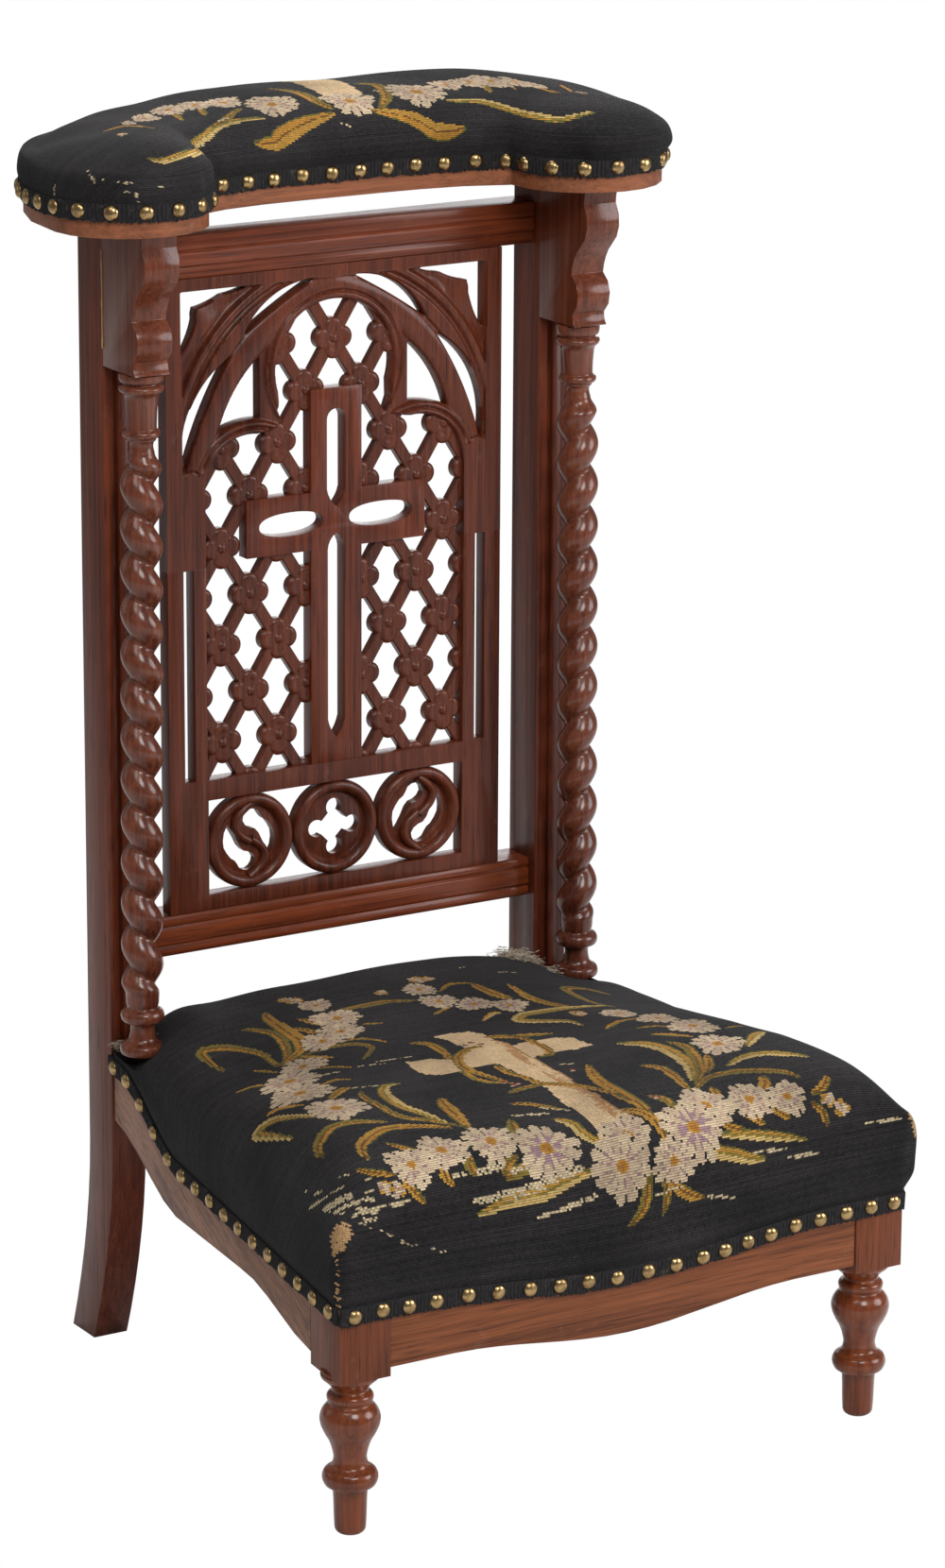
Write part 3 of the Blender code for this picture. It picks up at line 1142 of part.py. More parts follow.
def make_seat_stuffing(shop, seat_cutters):
    mesh = loft_mesh("seat_stuffing", stuffing_sections())
    stuffing = shop.add("seat_stuffing", mesh, "horsehair")
    for _label, _side, (foot_hole, collar) in seat_cutters:
        cut(stuffing, foot_hole, collar)


def nail_down(shop, gimp, places):
    """Nail heads at their places on a strip of gimp, each facing outwards and one with the strip."""
    heads = bmesh.new()
    for place, outward in places:
        turn = Vector(outward).to_track_quat("Z", "Y").to_matrix().to_4x4()
        middle = Vector(place) + Vector(outward) * NAIL_HEIGHT / 2
        bmesh.ops.create_cone(
            heads, cap_ends=True, segments=NAIL_SIDES, radius1=NAIL_RADIUS,
            radius2=NAIL_RADIUS * NAIL_TOP_SHARE, depth=NAIL_HEIGHT,
            matrix=Matrix.Translation(middle) @ turn)
    mesh = bpy.data.meshes.new(gimp.name + "_nails")
    heads.to_mesh(mesh)
    heads.free()
    unite(gimp, shop.guide(gimp.name + "_nails", mesh))


def make_seat_trim(shop):
    middle = (GIMP_INNER + GIMP_OUTER) / 2
    half = half_width(-SEAT_DEPTH, -GIMP_OUTER)
    xs = spread(-half, half, 27)
    lower = [(x, front_edge_height(x)) for x in xs]
    upper = [(x, z + GIMP_HEIGHT) for x, z in reversed(lower)]
    front = shop.add("seat_gimp_front", outline_mesh(
        "seat_gimp_front", [lower + upper], GIMP_THICKNESS), "gimp_braid", upright_plane(-SEAT_DEPTH - middle))
    nail_half = SEAT_FRONT_HALF - GIMP_HEIGHT / 2
    places = []
    for x in spread(-nail_half, nail_half, FRONT_NAIL_COUNT):
        z = front_edge_height(x) + GIMP_HEIGHT * NAIL_HEIGHT_SHARE
        places.append(((x, -SEAT_DEPTH - NAIL_BASE, z), (0, -1, 0)))
    nail_down(shop, front, places)
    for label, side in (("left", -1), ("right", 1)):
        name = "seat_gimp_" + label
        start = 2 * FIT_GAP + GIMP_OUTER * math.tan(SPLAY)
        end = SIDE_LENGTH + GIMP_INNER - 3 * FIT_GAP
        along = side_stations(start, end)
        low = [(place, seat_edge_height(place)) for place in along]
        high = [(place, z + GIMP_HEIGHT) for place, z in reversed(low)]
        gimp = shop.add(name, outline_mesh(name, [low + high], GIMP_THICKNESS),
                        "gimp_braid", seat_side_plane(side, middle))
        plane = seat_side_plane(side, NAIL_BASE)
        outward = Vector((side * math.cos(SPLAY), math.sin(SPLAY), 0.0))
        nails = []
        for place in spread(NAIL_RADIUS * 2, SIDE_LENGTH - GIMP_HEIGHT, SIDE_NAIL_COUNT):
            z = seat_edge_height(place) + GIMP_HEIGHT * NAIL_HEIGHT_SHARE
            nails.append((plane @ Vector((place, z, 0.0)), outward))
        nail_down(shop, gimp, nails)


# Armrest

def board_outline(grow):
    """The armrest in plan: two round lobes in front, a shallow hollow between them, round behind."""
    radius = LOBE_RADIUS + grow
    notch = LOBE_CENTRE - radius
    side = []
    for x in spread(0.0, notch, 5):
        hollow = (x / notch) ** 4
        side.append((x, -BOARD_MIDDLE_FORWARD - (NOTCH_FORWARD - BOARD_MIDDLE_FORWARD) * hollow - grow))
    side += round_arc((LOBE_CENTRE, -LOBE_FORWARD), radius, 180.0, 360.0, 10)[1:]
    wide = LOBE_CENTRE + radius
    deep = BOARD_REAR + LOBE_FORWARD + grow
    for angle in spread(0.0, 90.0, 9)[1:]:
        across = max(math.cos(math.radians(angle)), 0.0) ** (2 / BOARD_REAR_POWER)
        back = math.sin(math.radians(angle)) ** (2 / BOARD_REAR_POWER)
        side.append((wide * across if angle < 90.0 else 0.0, -LOBE_FORWARD + deep * back))
    return side + mirrored(side)[1:-1]


def make_armrest_board(shop):
    place = Matrix.Translation((0.0, 0.0, BOARD_UNDERSIDE_HEIGHT + BOARD_THICKNESS / 2))
    return shop.add("armrest_board", outline_mesh(
        "armrest_board", [board_outline(0.0)], BOARD_THICKNESS), "board_oak", place)


def pad_rings(inset, skirt_low, skirt_high, top):
    outer = COVER_OUTER - inset
    rings = []
    for z in (skirt_low, skirt_high):
        rings.append([(x, y, z) for x, y in board_outline(outer)])
    for bulge, step_in, share in PAD_RING_SHARES:
        grow = outer + bulge * PAD_BULGE - step_in * PAD_INSET
        z = skirt_high + (top - skirt_high) * share
        rings.append([(x, y, z) for x, y in board_outline(grow)])
    return rings


def make_armrest_pad(shop):
    top = BOARD_UNDERSIDE_HEIGHT + PAD_HEIGHT
    rings = pad_rings(0.0, PAD_SKIRT_HEIGHT, ARM_GIMP_TOP, top)
    cover = shop.add("armrest_cover", loft_mesh("armrest_cover", rings, cap_start=False), "needlework")
    thicken = cover.modifiers.new("thicken", "SOLIDIFY")
    thicken.thickness = COVER_THICKNESS
    thicken.offset = -1.0
    board_top = BOARD_UNDERSIDE_HEIGHT + BOARD_THICKNESS
    inner = pad_rings(PAD_STUFFING_INSET, board_top + FIT_GAP, ARM_GIMP_TOP + PAD_STUFFING_INSET / 2,
                      top - PAD_STUFFING_INSET)
    shop.add("armrest_stuffing", loft_mesh("armrest_stuffing", inner), "horsehair")


def even_places(loop, spacing):
    """Places and outward directions at an even spacing round a closed loop."""
    closed = loop + [loop[0]]
    lengths = [math.dist(a, b) for a, b in zip(closed, closed[1:])]
    total = sum(lengths)
    count = round(total / spacing)
    places = []
    for index in range(count):
        target = (index + 0.5) * total / count
        for (start, end), length in zip(zip(closed, closed[1:]), lengths):
            if target <= length:
                break
            target -= length
        share = target / length
        spot = (start[0] + (end[0] - start[0]) * share, start[1] + (end[1] - start[1]) * share)
        outward = ((end[1] - start[1]) / length, -(end[0] - start[0]) / length)
        places.append((spot, outward))
    return places


def make_armrest_trim(shop):
    loops = [board_outline(GIMP_OUTER), board_outline(GIMP_INNER)]
    place = Matrix.Translation((0.0, 0.0, ARM_GIMP_BOTTOM + GIMP_HEIGHT / 2))
    gimp = shop.add("armrest_gimp", outline_mesh("armrest_gimp", loops, GIMP_HEIGHT), "gimp_braid", place)
    height = ARM_GIMP_BOTTOM + GIMP_HEIGHT * NAIL_HEIGHT_SHARE
    nails = []
    for (x, y), (out_x, out_y) in even_places(board_outline(NAIL_BASE), ARM_NAIL_SPACING):
        nails.append(((x, y, height), (out_x, out_y, 0.0)))
    nail_down(shop, gimp, nails)


def build():
    clear_scene()
    shop = Workshop()
    top_rail, top_socket = make_rail(shop, "top_rail", TOP_RAIL_BOTTOM, TOP_RAIL_HEIGHT, False)
    bottom_rail, bottom_socket = make_rail(shop, "bottom_rail", BOTTOM_RAIL_BOTTOM, BOTTOM_RAIL_HEIGHT, True)
    lower_groove, upper_groove = make_panel(shop)
    cut(top_rail, upper_groove)
    cut(bottom_rail, lower_groove)
    stiles, seat_cutters = make_back_sides(shop, (top_socket, bottom_socket))
    board = make_armrest_board(shop)
    make_dowels(shop, stiles, board)
    make_armrest_pad(shop)
    make_armrest_trim(shop)
    make_seat_frame(shop, stiles, seat_cutters)
    make_seat_base(shop)
    make_seat_stuffing(shop, seat_cutters)
    make_seat_cover(shop, seat_cutters)
    make_seat_trim(shop)


build()
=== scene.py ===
import contextlib
import math

import bmesh
import bpy
import numpy as np
from mathutils import Matrix, Vector
from mathutils.kdtree import KDTree

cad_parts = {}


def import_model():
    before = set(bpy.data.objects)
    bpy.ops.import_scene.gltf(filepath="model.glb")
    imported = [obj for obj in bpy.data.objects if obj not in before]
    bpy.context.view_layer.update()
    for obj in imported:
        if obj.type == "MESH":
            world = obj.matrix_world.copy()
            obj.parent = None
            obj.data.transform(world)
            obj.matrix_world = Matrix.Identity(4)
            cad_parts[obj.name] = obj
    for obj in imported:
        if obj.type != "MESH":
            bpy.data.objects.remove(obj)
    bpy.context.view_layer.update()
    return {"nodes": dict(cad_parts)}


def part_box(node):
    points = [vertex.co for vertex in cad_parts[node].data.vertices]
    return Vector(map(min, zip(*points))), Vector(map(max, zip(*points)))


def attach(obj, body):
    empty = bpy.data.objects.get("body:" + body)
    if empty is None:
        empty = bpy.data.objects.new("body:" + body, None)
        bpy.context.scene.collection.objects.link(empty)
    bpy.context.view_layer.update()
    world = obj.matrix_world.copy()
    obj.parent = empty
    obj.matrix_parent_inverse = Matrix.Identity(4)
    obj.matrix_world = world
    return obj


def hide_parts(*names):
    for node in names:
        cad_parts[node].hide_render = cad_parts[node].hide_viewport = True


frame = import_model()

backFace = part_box("stile_left")[0].y  # world Y of the front faces of the stiles
mm = 0.001


def report(text):
    print("scene:", text, flush=True)


# Helpers. Places are in millimetres, with y counted back from the stiles' front face

def world(x, y, z):
    return Vector((x * mm, backFace + y * mm, z * mm))


def linked(name, data):
    made = bpy.data.objects.new(name, data)
    bpy.context.scene.collection.objects.link(made)
    return made


def meshObject(name, verts, faces):
    data = bpy.data.meshes.new(name)
    data.from_pydata([tuple(v) for v in verts], [], [tuple(f) for f in faces])
    data.validate()
    return linked(name, data)


@contextlib.contextmanager
def meshEdit(data):
    work = bmesh.new()
    work.from_mesh(data)
    yield work
    work.to_mesh(data)
    work.free()


def outward(obj):
    with meshEdit(obj.data) as work:
        bmesh.ops.recalc_face_normals(work, faces=work.faces)


def merged(data, flatAngle=None):  # welds doubled vertices and, with an angle, melts flat edges
    with meshEdit(data) as work:
        bmesh.ops.remove_doubles(work, verts=work.verts, dist=2e-5)
        if flatAngle:
            bmesh.ops.dissolve_limit(
                work, angle_limit=math.radians(flatAngle), verts=work.verts, edges=work.edges)
        bmesh.ops.recalc_face_normals(work, faces=work.faces)


def onlyActive(obj):
    bpy.ops.object.select_all(action="DESELECT")
    obj.select_set(True)
    bpy.context.view_layer.objects.active = obj


def applyAll(obj):
    onlyActive(obj)
    for modifier in list(obj.modifiers):
        bpy.ops.object.modifier_apply(modifier=modifier.name)


def smoothBy(obj, degrees):
    onlyActive(obj)
    bpy.ops.object.shade_smooth_by_angle(angle=math.radians(degrees))


# Sets the finish, ties the piece to the body, and hides the CAD nodes it stands for
def finished(obj, material, nodes):
    obj.data.materials.clear()
    obj.data.materials.append(material)
    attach(obj, "root")
    if nodes:
        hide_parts(*nodes)
    return obj


def nodeCopy(node, name):
    made = linked(name, frame["nodes"][node].data.copy())
    made.data.name = name
    if made.data.has_custom_normals:
        onlyActive(made)
        bpy.ops.mesh.customdata_custom_splitnormals_clear()
    merged(made.data, flatAngle=1.0)
    return made


def copyAt(source, place, name):  # each copy has a mesh of its own
    made = linked(name, source.data.copy())
    made.data.transform(place)
    return made


def rounded(obj, width):  # softens the sharp edges, width in metres
    bevel = obj.modifiers.new("edge", "BEVEL")
    bevel.width = width
    bevel.segments = 2
    bevel.limit_method = "ANGLE"
    bevel.angle_limit = math.radians(35)
    bevel.use_clamp_overlap = True
    bevel.harden_normals = False
    applyAll(obj)
    smoothBy(obj, 40)
    return obj


def joined(name, parts):
    onlyActive(parts[0])
    for part in parts[1:]:
        part.select_set(True)
    bpy.ops.object.join()
    parts[0].name = name
    parts[0].data.name = name
    return parts[0]


def combined(piece, other, operation):
    cutting = piece.modifiers.new("cut", "BOOLEAN")
    cutting.operation = operation
    cutting.solver = "EXACT"
    cutting.object = other
    applyAll(piece)


def meshFromCurve(name, curve):
    onlyActive(linked(name, curve))
    bpy.ops.object.convert(target="MESH")
    return bpy.context.view_layer.objects.active


# The sides and both caps of a tube whose rings of points follow each other
def tubeFaces(rings, sides, base=0):
    faces = []
    for ring in range(rings - 1):
        a, b = base + ring * sides, base + (ring + 1) * sides
        for k in range(sides):
            after = (k + 1) % sides
            faces.append((a + k, a + after, b + after, b + k))
    last = base + (rings - 1) * sides
    return faces + [tuple(base + k for k in reversed(range(sides))), tuple(last + k for k in range(sides))]


# A profile of (radius, height) in metres, spun about Z
def spun(name, profile, steps, weld):
    data = bpy.data.meshes.new(name)
    data.from_pydata([(r, 0.0, z) for r, z in profile], [(k, k + 1) for k in range(len(profile) - 1)], [])
    turned = linked(name, data)
    onlyActive(turned)
    bpy.ops.object.mode_set(mode="EDIT")
    bpy.ops.mesh.select_all(action="SELECT")
    bpy.ops.mesh.spin(steps=steps, angle=math.tau, center=(0, 0, 0), axis=(0, 0, 1))
    bpy.ops.mesh.select_all(action="SELECT")
    bpy.ops.mesh.remove_doubles(threshold=weld)
    bpy.ops.mesh.normals_make_consistent(inside=False)
    bpy.ops.object.mode_set(mode="OBJECT")
    return turned


# Camera and stage

view = {  # metres, degrees and millimetres of lens
    "place": (-2.11424, -3.54282, 1.62425),
    "yaw": 31.33,
    "pitch": 15.76,
    "roll": 0.31,
    "lens": 130.33,
    "sensor": 36.0,
}

lamps = {  # place, target, size, power, colour
    "key": ((-0.5, -3.05, 2.9), (0.0, 0.0, 0.5), 1.5, 76.0, (1.0, 0.98, 0.95)),
    "left": ((-1.15, -1.0, 2.4), (0.0, 0.0, 0.85), 0.9, 9.5, (1.0, 0.98, 0.96)),
    "fill": ((2.6, -2.2, 1.6), (0.0, 0.0, 0.4), 2.0, 70.0, (0.98, 0.98, 1.0)),
    "top": ((0.3, 0.6, 3.2), (0.0, 0.0, 0.5), 1.6, 52.0, (1.0, 1.0, 1.0)),
    "back": ((-2.2, 1.8, 1.5), (0.0, 0.0, 0.5), 1.4, 3.0, (1.0, 1.0, 1.0)),
    "sheen": ((1.75, 2.9, 1.55), (0.0, 0.0, 0.5), 2.4, 34.0, (1.0, 0.99, 1.0)),
}

stage = {
    "white": (1.0, 1.0, 1.0, 1.0), "worldStrength": 0.22,
    "floorTone": (0.75, 0.75, 0.75, 1.0), "floorHalf": 9.0,
}


def makeCamera():
    yaw, pitch, roll = (math.radians(view[k]) for k in ("yaw", "pitch", "roll"))
    forward = Vector((math.sin(yaw) * math.cos(pitch), math.cos(yaw) * math.cos(pitch), -math.sin(pitch)))
    level = Vector((math.cos(yaw), -math.sin(yaw), 0.0))
    upright = level.cross(forward)
    right = math.cos(roll) * level + math.sin(roll) * upright
    up = -math.sin(roll) * level + math.cos(roll) * upright
    turn = Matrix((right, up, -forward)).transposed().to_4x4()
    data = bpy.data.cameras.new("camera")
    data.lens = view["lens"]
    data.sensor_fit = "AUTO"
    data.sensor_width = view["sensor"]
    data.clip_end = 30.0
    camera = linked("camera", data)
    camera.matrix_world = Matrix.Translation(view["place"]) @ turn
    bpy.context.scene.camera = camera


def makeLights():
    for name, (place, target, size, power, colour) in lamps.items():
        data = bpy.data.lights.new(name, "AREA")
        data.shape = "DISK"
        data.size = size
        data.energy = power
        data.color = colour
        lamp = linked(name, data)
        lamp.location = place
        aim = Vector(target) - Vector(place)
        lamp.rotation_euler = aim.to_track_quat("-Z", "Y").to_euler()


# Shows the camera one shader, and gives all other rays another
def splitForCamera(tree, others, seen, target):
    mix = tree.nodes.new("ShaderNodeMixShader")
    path = tree.nodes.new("ShaderNodeLightPath")
    tree.links.new(path.outputs["Is Camera Ray"], mix.inputs["Fac"])
    tree.links.new(others, mix.inputs[1])
    tree.links.new(seen, mix.inputs[2])
    tree.links.new(mix.outputs["Shader"], target)


def makeWorld():
    made = bpy.data.worlds.new("studio")
    bpy.context.scene.world = made
    made.use_nodes = True
    tree = made.node_tree
    tree.nodes.clear()
    out = tree.nodes.new("ShaderNodeOutputWorld")
    backgrounds = []
    for strength in (stage["worldStrength"], 1.0):
        plain = tree.nodes.new("ShaderNodeBackground")
        plain.inputs["Color"].default_value = stage["white"]
        plain.inputs["Strength"].default_value = strength
        backgrounds.append(plain.outputs["Background"])
    splitForCamera(tree, *backgrounds, out.inputs["Surface"])


def makeFloor():
    far = stage["floorHalf"]
    corners = [(-far, -far, 0), (far, -far, 0), (far, far, 0), (-far, far, 0)]
    floor = meshObject("floor", corners, [(0, 1, 2, 3)])
    material = bpy.data.materials.new("floor")
    material.use_nodes = True
    tree = material.node_tree
    tree.nodes.clear()
    out = tree.nodes.new("ShaderNodeOutputMaterial")
    white = tree.nodes.new("ShaderNodeEmission")
    white.inputs["Color"].default_value = stage["white"]
    white.inputs["Strength"].default_value = 1.0
    pale = tree.nodes.new("ShaderNodeBsdfDiffuse")
    pale.inputs["Color"].default_value = stage["floorTone"]
    splitForCamera(tree, pale.outputs["BSDF"], white.outputs["Emission"], out.inputs["Surface"])
    floor.data.materials.append(material)


makeCamera()
makeLights()
makeWorld()
makeFloor()
bpy.context.scene.view_settings.view_transform = "Standard"
report("camera, lights and floor")


# Node groups and materials

def newGroup(name, inputs, outputs):
    group = bpy.data.node_groups.new(name, "ShaderNodeTree")
    for socketName, kind, value in inputs:
        socket = group.interface.new_socket(socketName, in_out="INPUT", socket_type=kind)
        if value is not None:
            socket.default_value = value
    for socketName, kind in outputs:
        group.interface.new_socket(socketName, in_out="OUTPUT", socket_type=kind)
    return group, group.nodes.new("NodeGroupInput"), group.nodes.new("NodeGroupOutput")


# Makes linked nodes in one tree; a value is a socket or a constant
class Wiring:
    def __init__(self, tree):
        self.tree = tree

    def put(self, socket, value):
        if isinstance(value, bpy.types.NodeSocket):
            self.tree.links.new(value, socket)
        elif value is not None:
            socket.default_value = value

    def math(self, operation, a, b=None):
        node = self.tree.nodes.new("ShaderNodeMath")
        node.operation = operation
        self.put(node.inputs[0], a)
        self.put(node.inputs[1], b)
        return node.outputs[0]

    def add(self, a, b):
        return self.math("ADD", a, b)

    def times(self, a, b):
        return self.math("MULTIPLY", a, b)

    def mix(self, share, a, b, blend="MIX"):
        node = self.tree.nodes.new("ShaderNodeMix")
        node.data_type = "RGBA"
        node.blend_type = blend
        self.put(node.inputs["Factor"], share)
        self.put(node.inputs[6], a)
        self.put(node.inputs[7], b)
        return node.outputs[2]

    def noise(self, vector, scale, detail=3.0, rough=0.5, distortion=0.0):
        node = self.tree.nodes.new("ShaderNodeTexNoise")
        self.put(node.inputs["Vector"], vector)
        self.put(node.inputs["Scale"], scale)
        self.put(node.inputs["Detail"], detail)
        self.put(node.inputs["Roughness"], rough)
        self.put(node.inputs["Distortion"], distortion)
        return node.outputs["Fac"]

    def band(self, value, low, high, start=0.0, end=1.0):
        node = self.tree.nodes.new("ShaderNodeMapRange")
        node.clamp = True
        self.put(node.inputs["Value"], value)
        for index, number in enumerate((low, high, start, end), 1):
            self.put(node.inputs[index], number)
        return node.outputs["Result"]

    def mapped(self, vector, scale=(1, 1, 1), turn=(0, 0, 0)):
        node = self.tree.nodes.new("ShaderNodeMapping")
        self.put(node.inputs["Vector"], vector)
        node.inputs["Scale"].default_value = scale
        node.inputs["Rotation"].default_value = turn
        return node.outputs["Vector"]

    def objectPlace(self):
        return self.tree.nodes.new("ShaderNodeTexCoord").outputs["Object"]

    def uvPlace(self, name):
        uv = self.tree.nodes.new("ShaderNodeUVMap")
        uv.uv_map = name
        split = self.tree.nodes.new("ShaderNodeSeparateXYZ")
        self.put(split.inputs["Vector"], uv.outputs["UV"])
        return uv.outputs["UV"], split.outputs["X"], split.outputs["Y"]

    def attribute(self, name, output):
        node = self.tree.nodes.new("ShaderNodeAttribute")
        node.attribute_name = name
        return node.outputs[output]

    def bump(self, shader, height, strength, distance):
        node = self.tree.nodes.new("ShaderNodeBump")
        node.inputs["Strength"].default_value = strength
        node.inputs["Distance"].default_value = distance
        self.put(node.inputs["Height"], height)
        self.put(shader.inputs["Normal"], node.outputs["Normal"])


def newMaterial(name, **settings):  # settings are constants of the shader, as coatWeight=0.2
    material = bpy.data.materials.new(name)
    material.use_nodes = True
    shader = material.node_tree.nodes["Principled BSDF"]
    sockets = {socket.name.replace(" ", "").lower(): socket for socket in shader.inputs}
    for setting, value in settings.items():
        sockets[setting.lower()].default_value = value
    return material, Wiring(material.node_tree), shader


grain = {  # noise scales across and along the grain, and tones
    "rings": (26, 26, 1.6), "lines": (270, 270, 6.0), "pores": (900, 900, 26), "cloud": (7, 7, 4),
    "scuff": (60, 60, 38), "poreTone": (0.012, 0.004, 0.003, 1), "scuffTone": (0.32, 0.17, 0.11, 1),
}


# Stained oak along local Z: long grain, pores, broad shade changes and fine scratches
def makeOakGroup():
    group, entry, leave = newGroup(
        "oakGrain",
        [("Vector", "NodeSocketVector", None), ("Dark", "NodeSocketColor", (0.05, 0.012, 0.008, 1)),
         ("Light", "NodeSocketColor", (0.16, 0.05, 0.03, 1)), ("Pores", "NodeSocketFloat", 0.5),
         ("Wear", "NodeSocketFloat", 0.3)],
        [("Color", "NodeSocketColor"), ("Roughness", "NodeSocketFloat"), ("Height", "NodeSocketFloat")])
    w = Wiring(group)
    vector = entry.outputs["Vector"]
    rings = w.noise(w.mapped(vector, grain["rings"]), 1.0, 4.0, 0.55, 0.6)
    lines = w.noise(w.mapped(vector, grain["lines"]), 1.0, 3.0, 0.65)
    pores = w.noise(w.mapped(vector, grain["pores"]), 1.0, 2.0, 0.5)
    cloud = w.noise(w.mapped(vector, grain["cloud"]), 1.0, 3.0, 0.5)
    body = w.add(w.add(w.times(rings, 0.55), w.times(lines, 0.72)), w.times(cloud, 0.35))
    colour = w.mix(w.band(body, 0.60, 1.00), entry.outputs["Dark"], entry.outputs["Light"])
    poreShare = w.times(w.band(pores, 0.56, 0.70), entry.outputs["Pores"])
    colour = w.mix(poreShare, colour, w.mix(0.75, colour, grain["poreTone"]))
    scuff = w.noise(w.mapped(vector, grain["scuff"]), 1.0, 5.0, 0.72)
    scuffShare = w.times(w.band(scuff, 0.60, 0.72), entry.outputs["Wear"])
    colour = w.mix(scuffShare, colour, w.mix(0.5, colour, grain["scuffTone"]))
    w.put(leave.inputs["Color"], colour)
    w.put(leave.inputs["Roughness"], w.add(w.times(cloud, 0.10), w.times(poreShare, 0.18)))
    w.put(leave.inputs["Height"], w.math("SUBTRACT", w.times(lines, 0.5), w.times(poreShare, 0.8)))
    return group


oakGroup = makeOakGroup()
upGrain, acrossGrain, sideGrain = (0, 0, 0), (0, math.pi / 2, 0), (math.radians(68), 0, 0)

woods = {  # dark and light tone, base roughness, coat, pores, wear, turn of the grain
    "oakUpright": ((0.036, 0.0062, 0.0028, 1), (0.165, 0.036, 0.0145, 1), 0.36, 0.16, 0.85, 0.20, upGrain),
    "oakAcross": ((0.042, 0.0075, 0.0028, 1), (0.185, 0.039, 0.0125, 1), 0.34, 0.20, 0.75, 0.25, acrossGrain),
    # the panel oak is the upright oak made darker: painted shade for the panel set back between the stiles
    "oakPanelShaded": ((0.030, 0.0052, 0.0024, 1), (0.128, 0.029, 0.0118, 1), 0.36, 0.16, 0.90, 0.20, upGrain),
    "oakTurned": ((0.058, 0.0130, 0.0066, 1), (0.205, 0.060, 0.0300, 1), 0.26, 0.42, 0.50, 0.15, upGrain),
    "oakBracket": ((0.050, 0.0102, 0.0048, 1), (0.178, 0.047, 0.0205, 1), 0.30, 0.30, 0.60, 0.20, upGrain),
    "oakLeg": ((0.080, 0.0165, 0.0055, 1), (0.240, 0.060, 0.0190, 1), 0.24, 0.50, 0.50, 0.15, upGrain),
    "oakSeatFront": (
        (0.078, 0.0205, 0.0070, 1), (0.250, 0.076, 0.0250, 1), 0.42, 0.08, 0.80, 0.30, acrossGrain),
    "oakPost": ((0.060, 0.0130, 0.0045, 1), (0.190, 0.050, 0.0165, 1), 0.42, 0.08, 0.80, 0.30, upGrain),
    "oakSeatSide": ((0.100, 0.0410, 0.0205, 1), (0.350, 0.152, 0.0800, 1), 0.46, 0.06, 0.95, 0.35, sideGrain),
    "oakBoard": ((0.124, 0.0395, 0.0160, 1), (0.298, 0.103, 0.0460, 1), 0.45, 0.08, 0.55, 0.35, acrossGrain),
    "dealRaw": ((0.260, 0.160, 0.080, 1), (0.480, 0.330, 0.190, 1), 0.75, 0.0, 0.30, 0.20, acrossGrain),
}


def makeWood(name):
    dark, light, rough, coat, pores, wear, turn = woods[name]
    material, w, shader = newMaterial(name, coatWeight=coat, coatRoughness=0.16, specularIORLevel=0.18)
    oak = w.tree.nodes.new("ShaderNodeGroup")
    oak.node_tree = oakGroup
    w.put(oak.inputs["Vector"], w.mapped(w.objectPlace(), turn=turn))
    for socket, value in (("Dark", dark), ("Light", light), ("Pores", pores), ("Wear", wear)):
        w.put(oak.inputs[socket], value)
    w.put(shader.inputs["Base Color"], oak.outputs["Color"])
    w.put(shader.inputs["Roughness"], w.add(oak.outputs["Roughness"], rough - 0.05))
    w.bump(shader, oak.outputs["Height"], 0.22, 0.0006)
    return material


wood = {name: makeWood(name) for name in woods}
report("wood finishes")


# Woodwork carried over with softened edges

carried = {  # CAD node: (material, slot, edge radius in metres)
    "stile_left": ("oakUpright", "stained_oak", 0.0012),
    "stile_right": ("oakUpright", "stained_oak", 0.0012),
    "bracket_left": ("oakBracket", "stained_oak", 0.0009),
    "bracket_right": ("oakBracket", "stained_oak", 0.0009),
    "top_rail": ("oakAcross", "stained_oak", 0.0005),
    "bottom_rail": ("oakAcross", "stained_oak", 0.0005),
    "rear_rail": ("oakAcross", "stained_oak", 0.0010),
    "column_strip_left": ("oakUpright", "stained_oak", 0.0008),
    "column_strip_right": ("oakUpright", "stained_oak", 0.0008),
    "front_rail": ("oakSeatFront", "seat_oak", 0.0010),
    "side_rail_left": ("oakSeatSide", "seat_oak", 0.0010),
    "side_rail_right": ("oakSeatSide", "seat_oak", 0.0010),
    "armrest_board": ("oakBoard", "board_oak", 0.0030),
}

for node, (material, slot, radius) in carried.items():
    finished(rounded(nodeCopy(node, node + "_shaped"), radius), wood[material], [node])

for node, thing in frame["nodes"].items():
    if node.startswith("glue_block") or "dowel" in node:
        thing.data.materials.clear()
        thing.data.materials.append(wood["dealRaw"])
report("woodwork")


# Fretwork panel

panelSize = {  # millimetres, as the CAD panel
    "half": 147.0, "bottom": 342.8, "top": 836.2, "front": 9.0, "back": 22.0, "strip": 133.0, "light": 113.8,
    "base": 446.0, "band": 430.0, "split": 613.0, "lobe": (73.0, 671.0, 41.0), "head": (0.0, 757.6, 51.6),
    "cusp": (45.6, 717.0), "carvingStep": 0.8, "edge": 0.35,
}


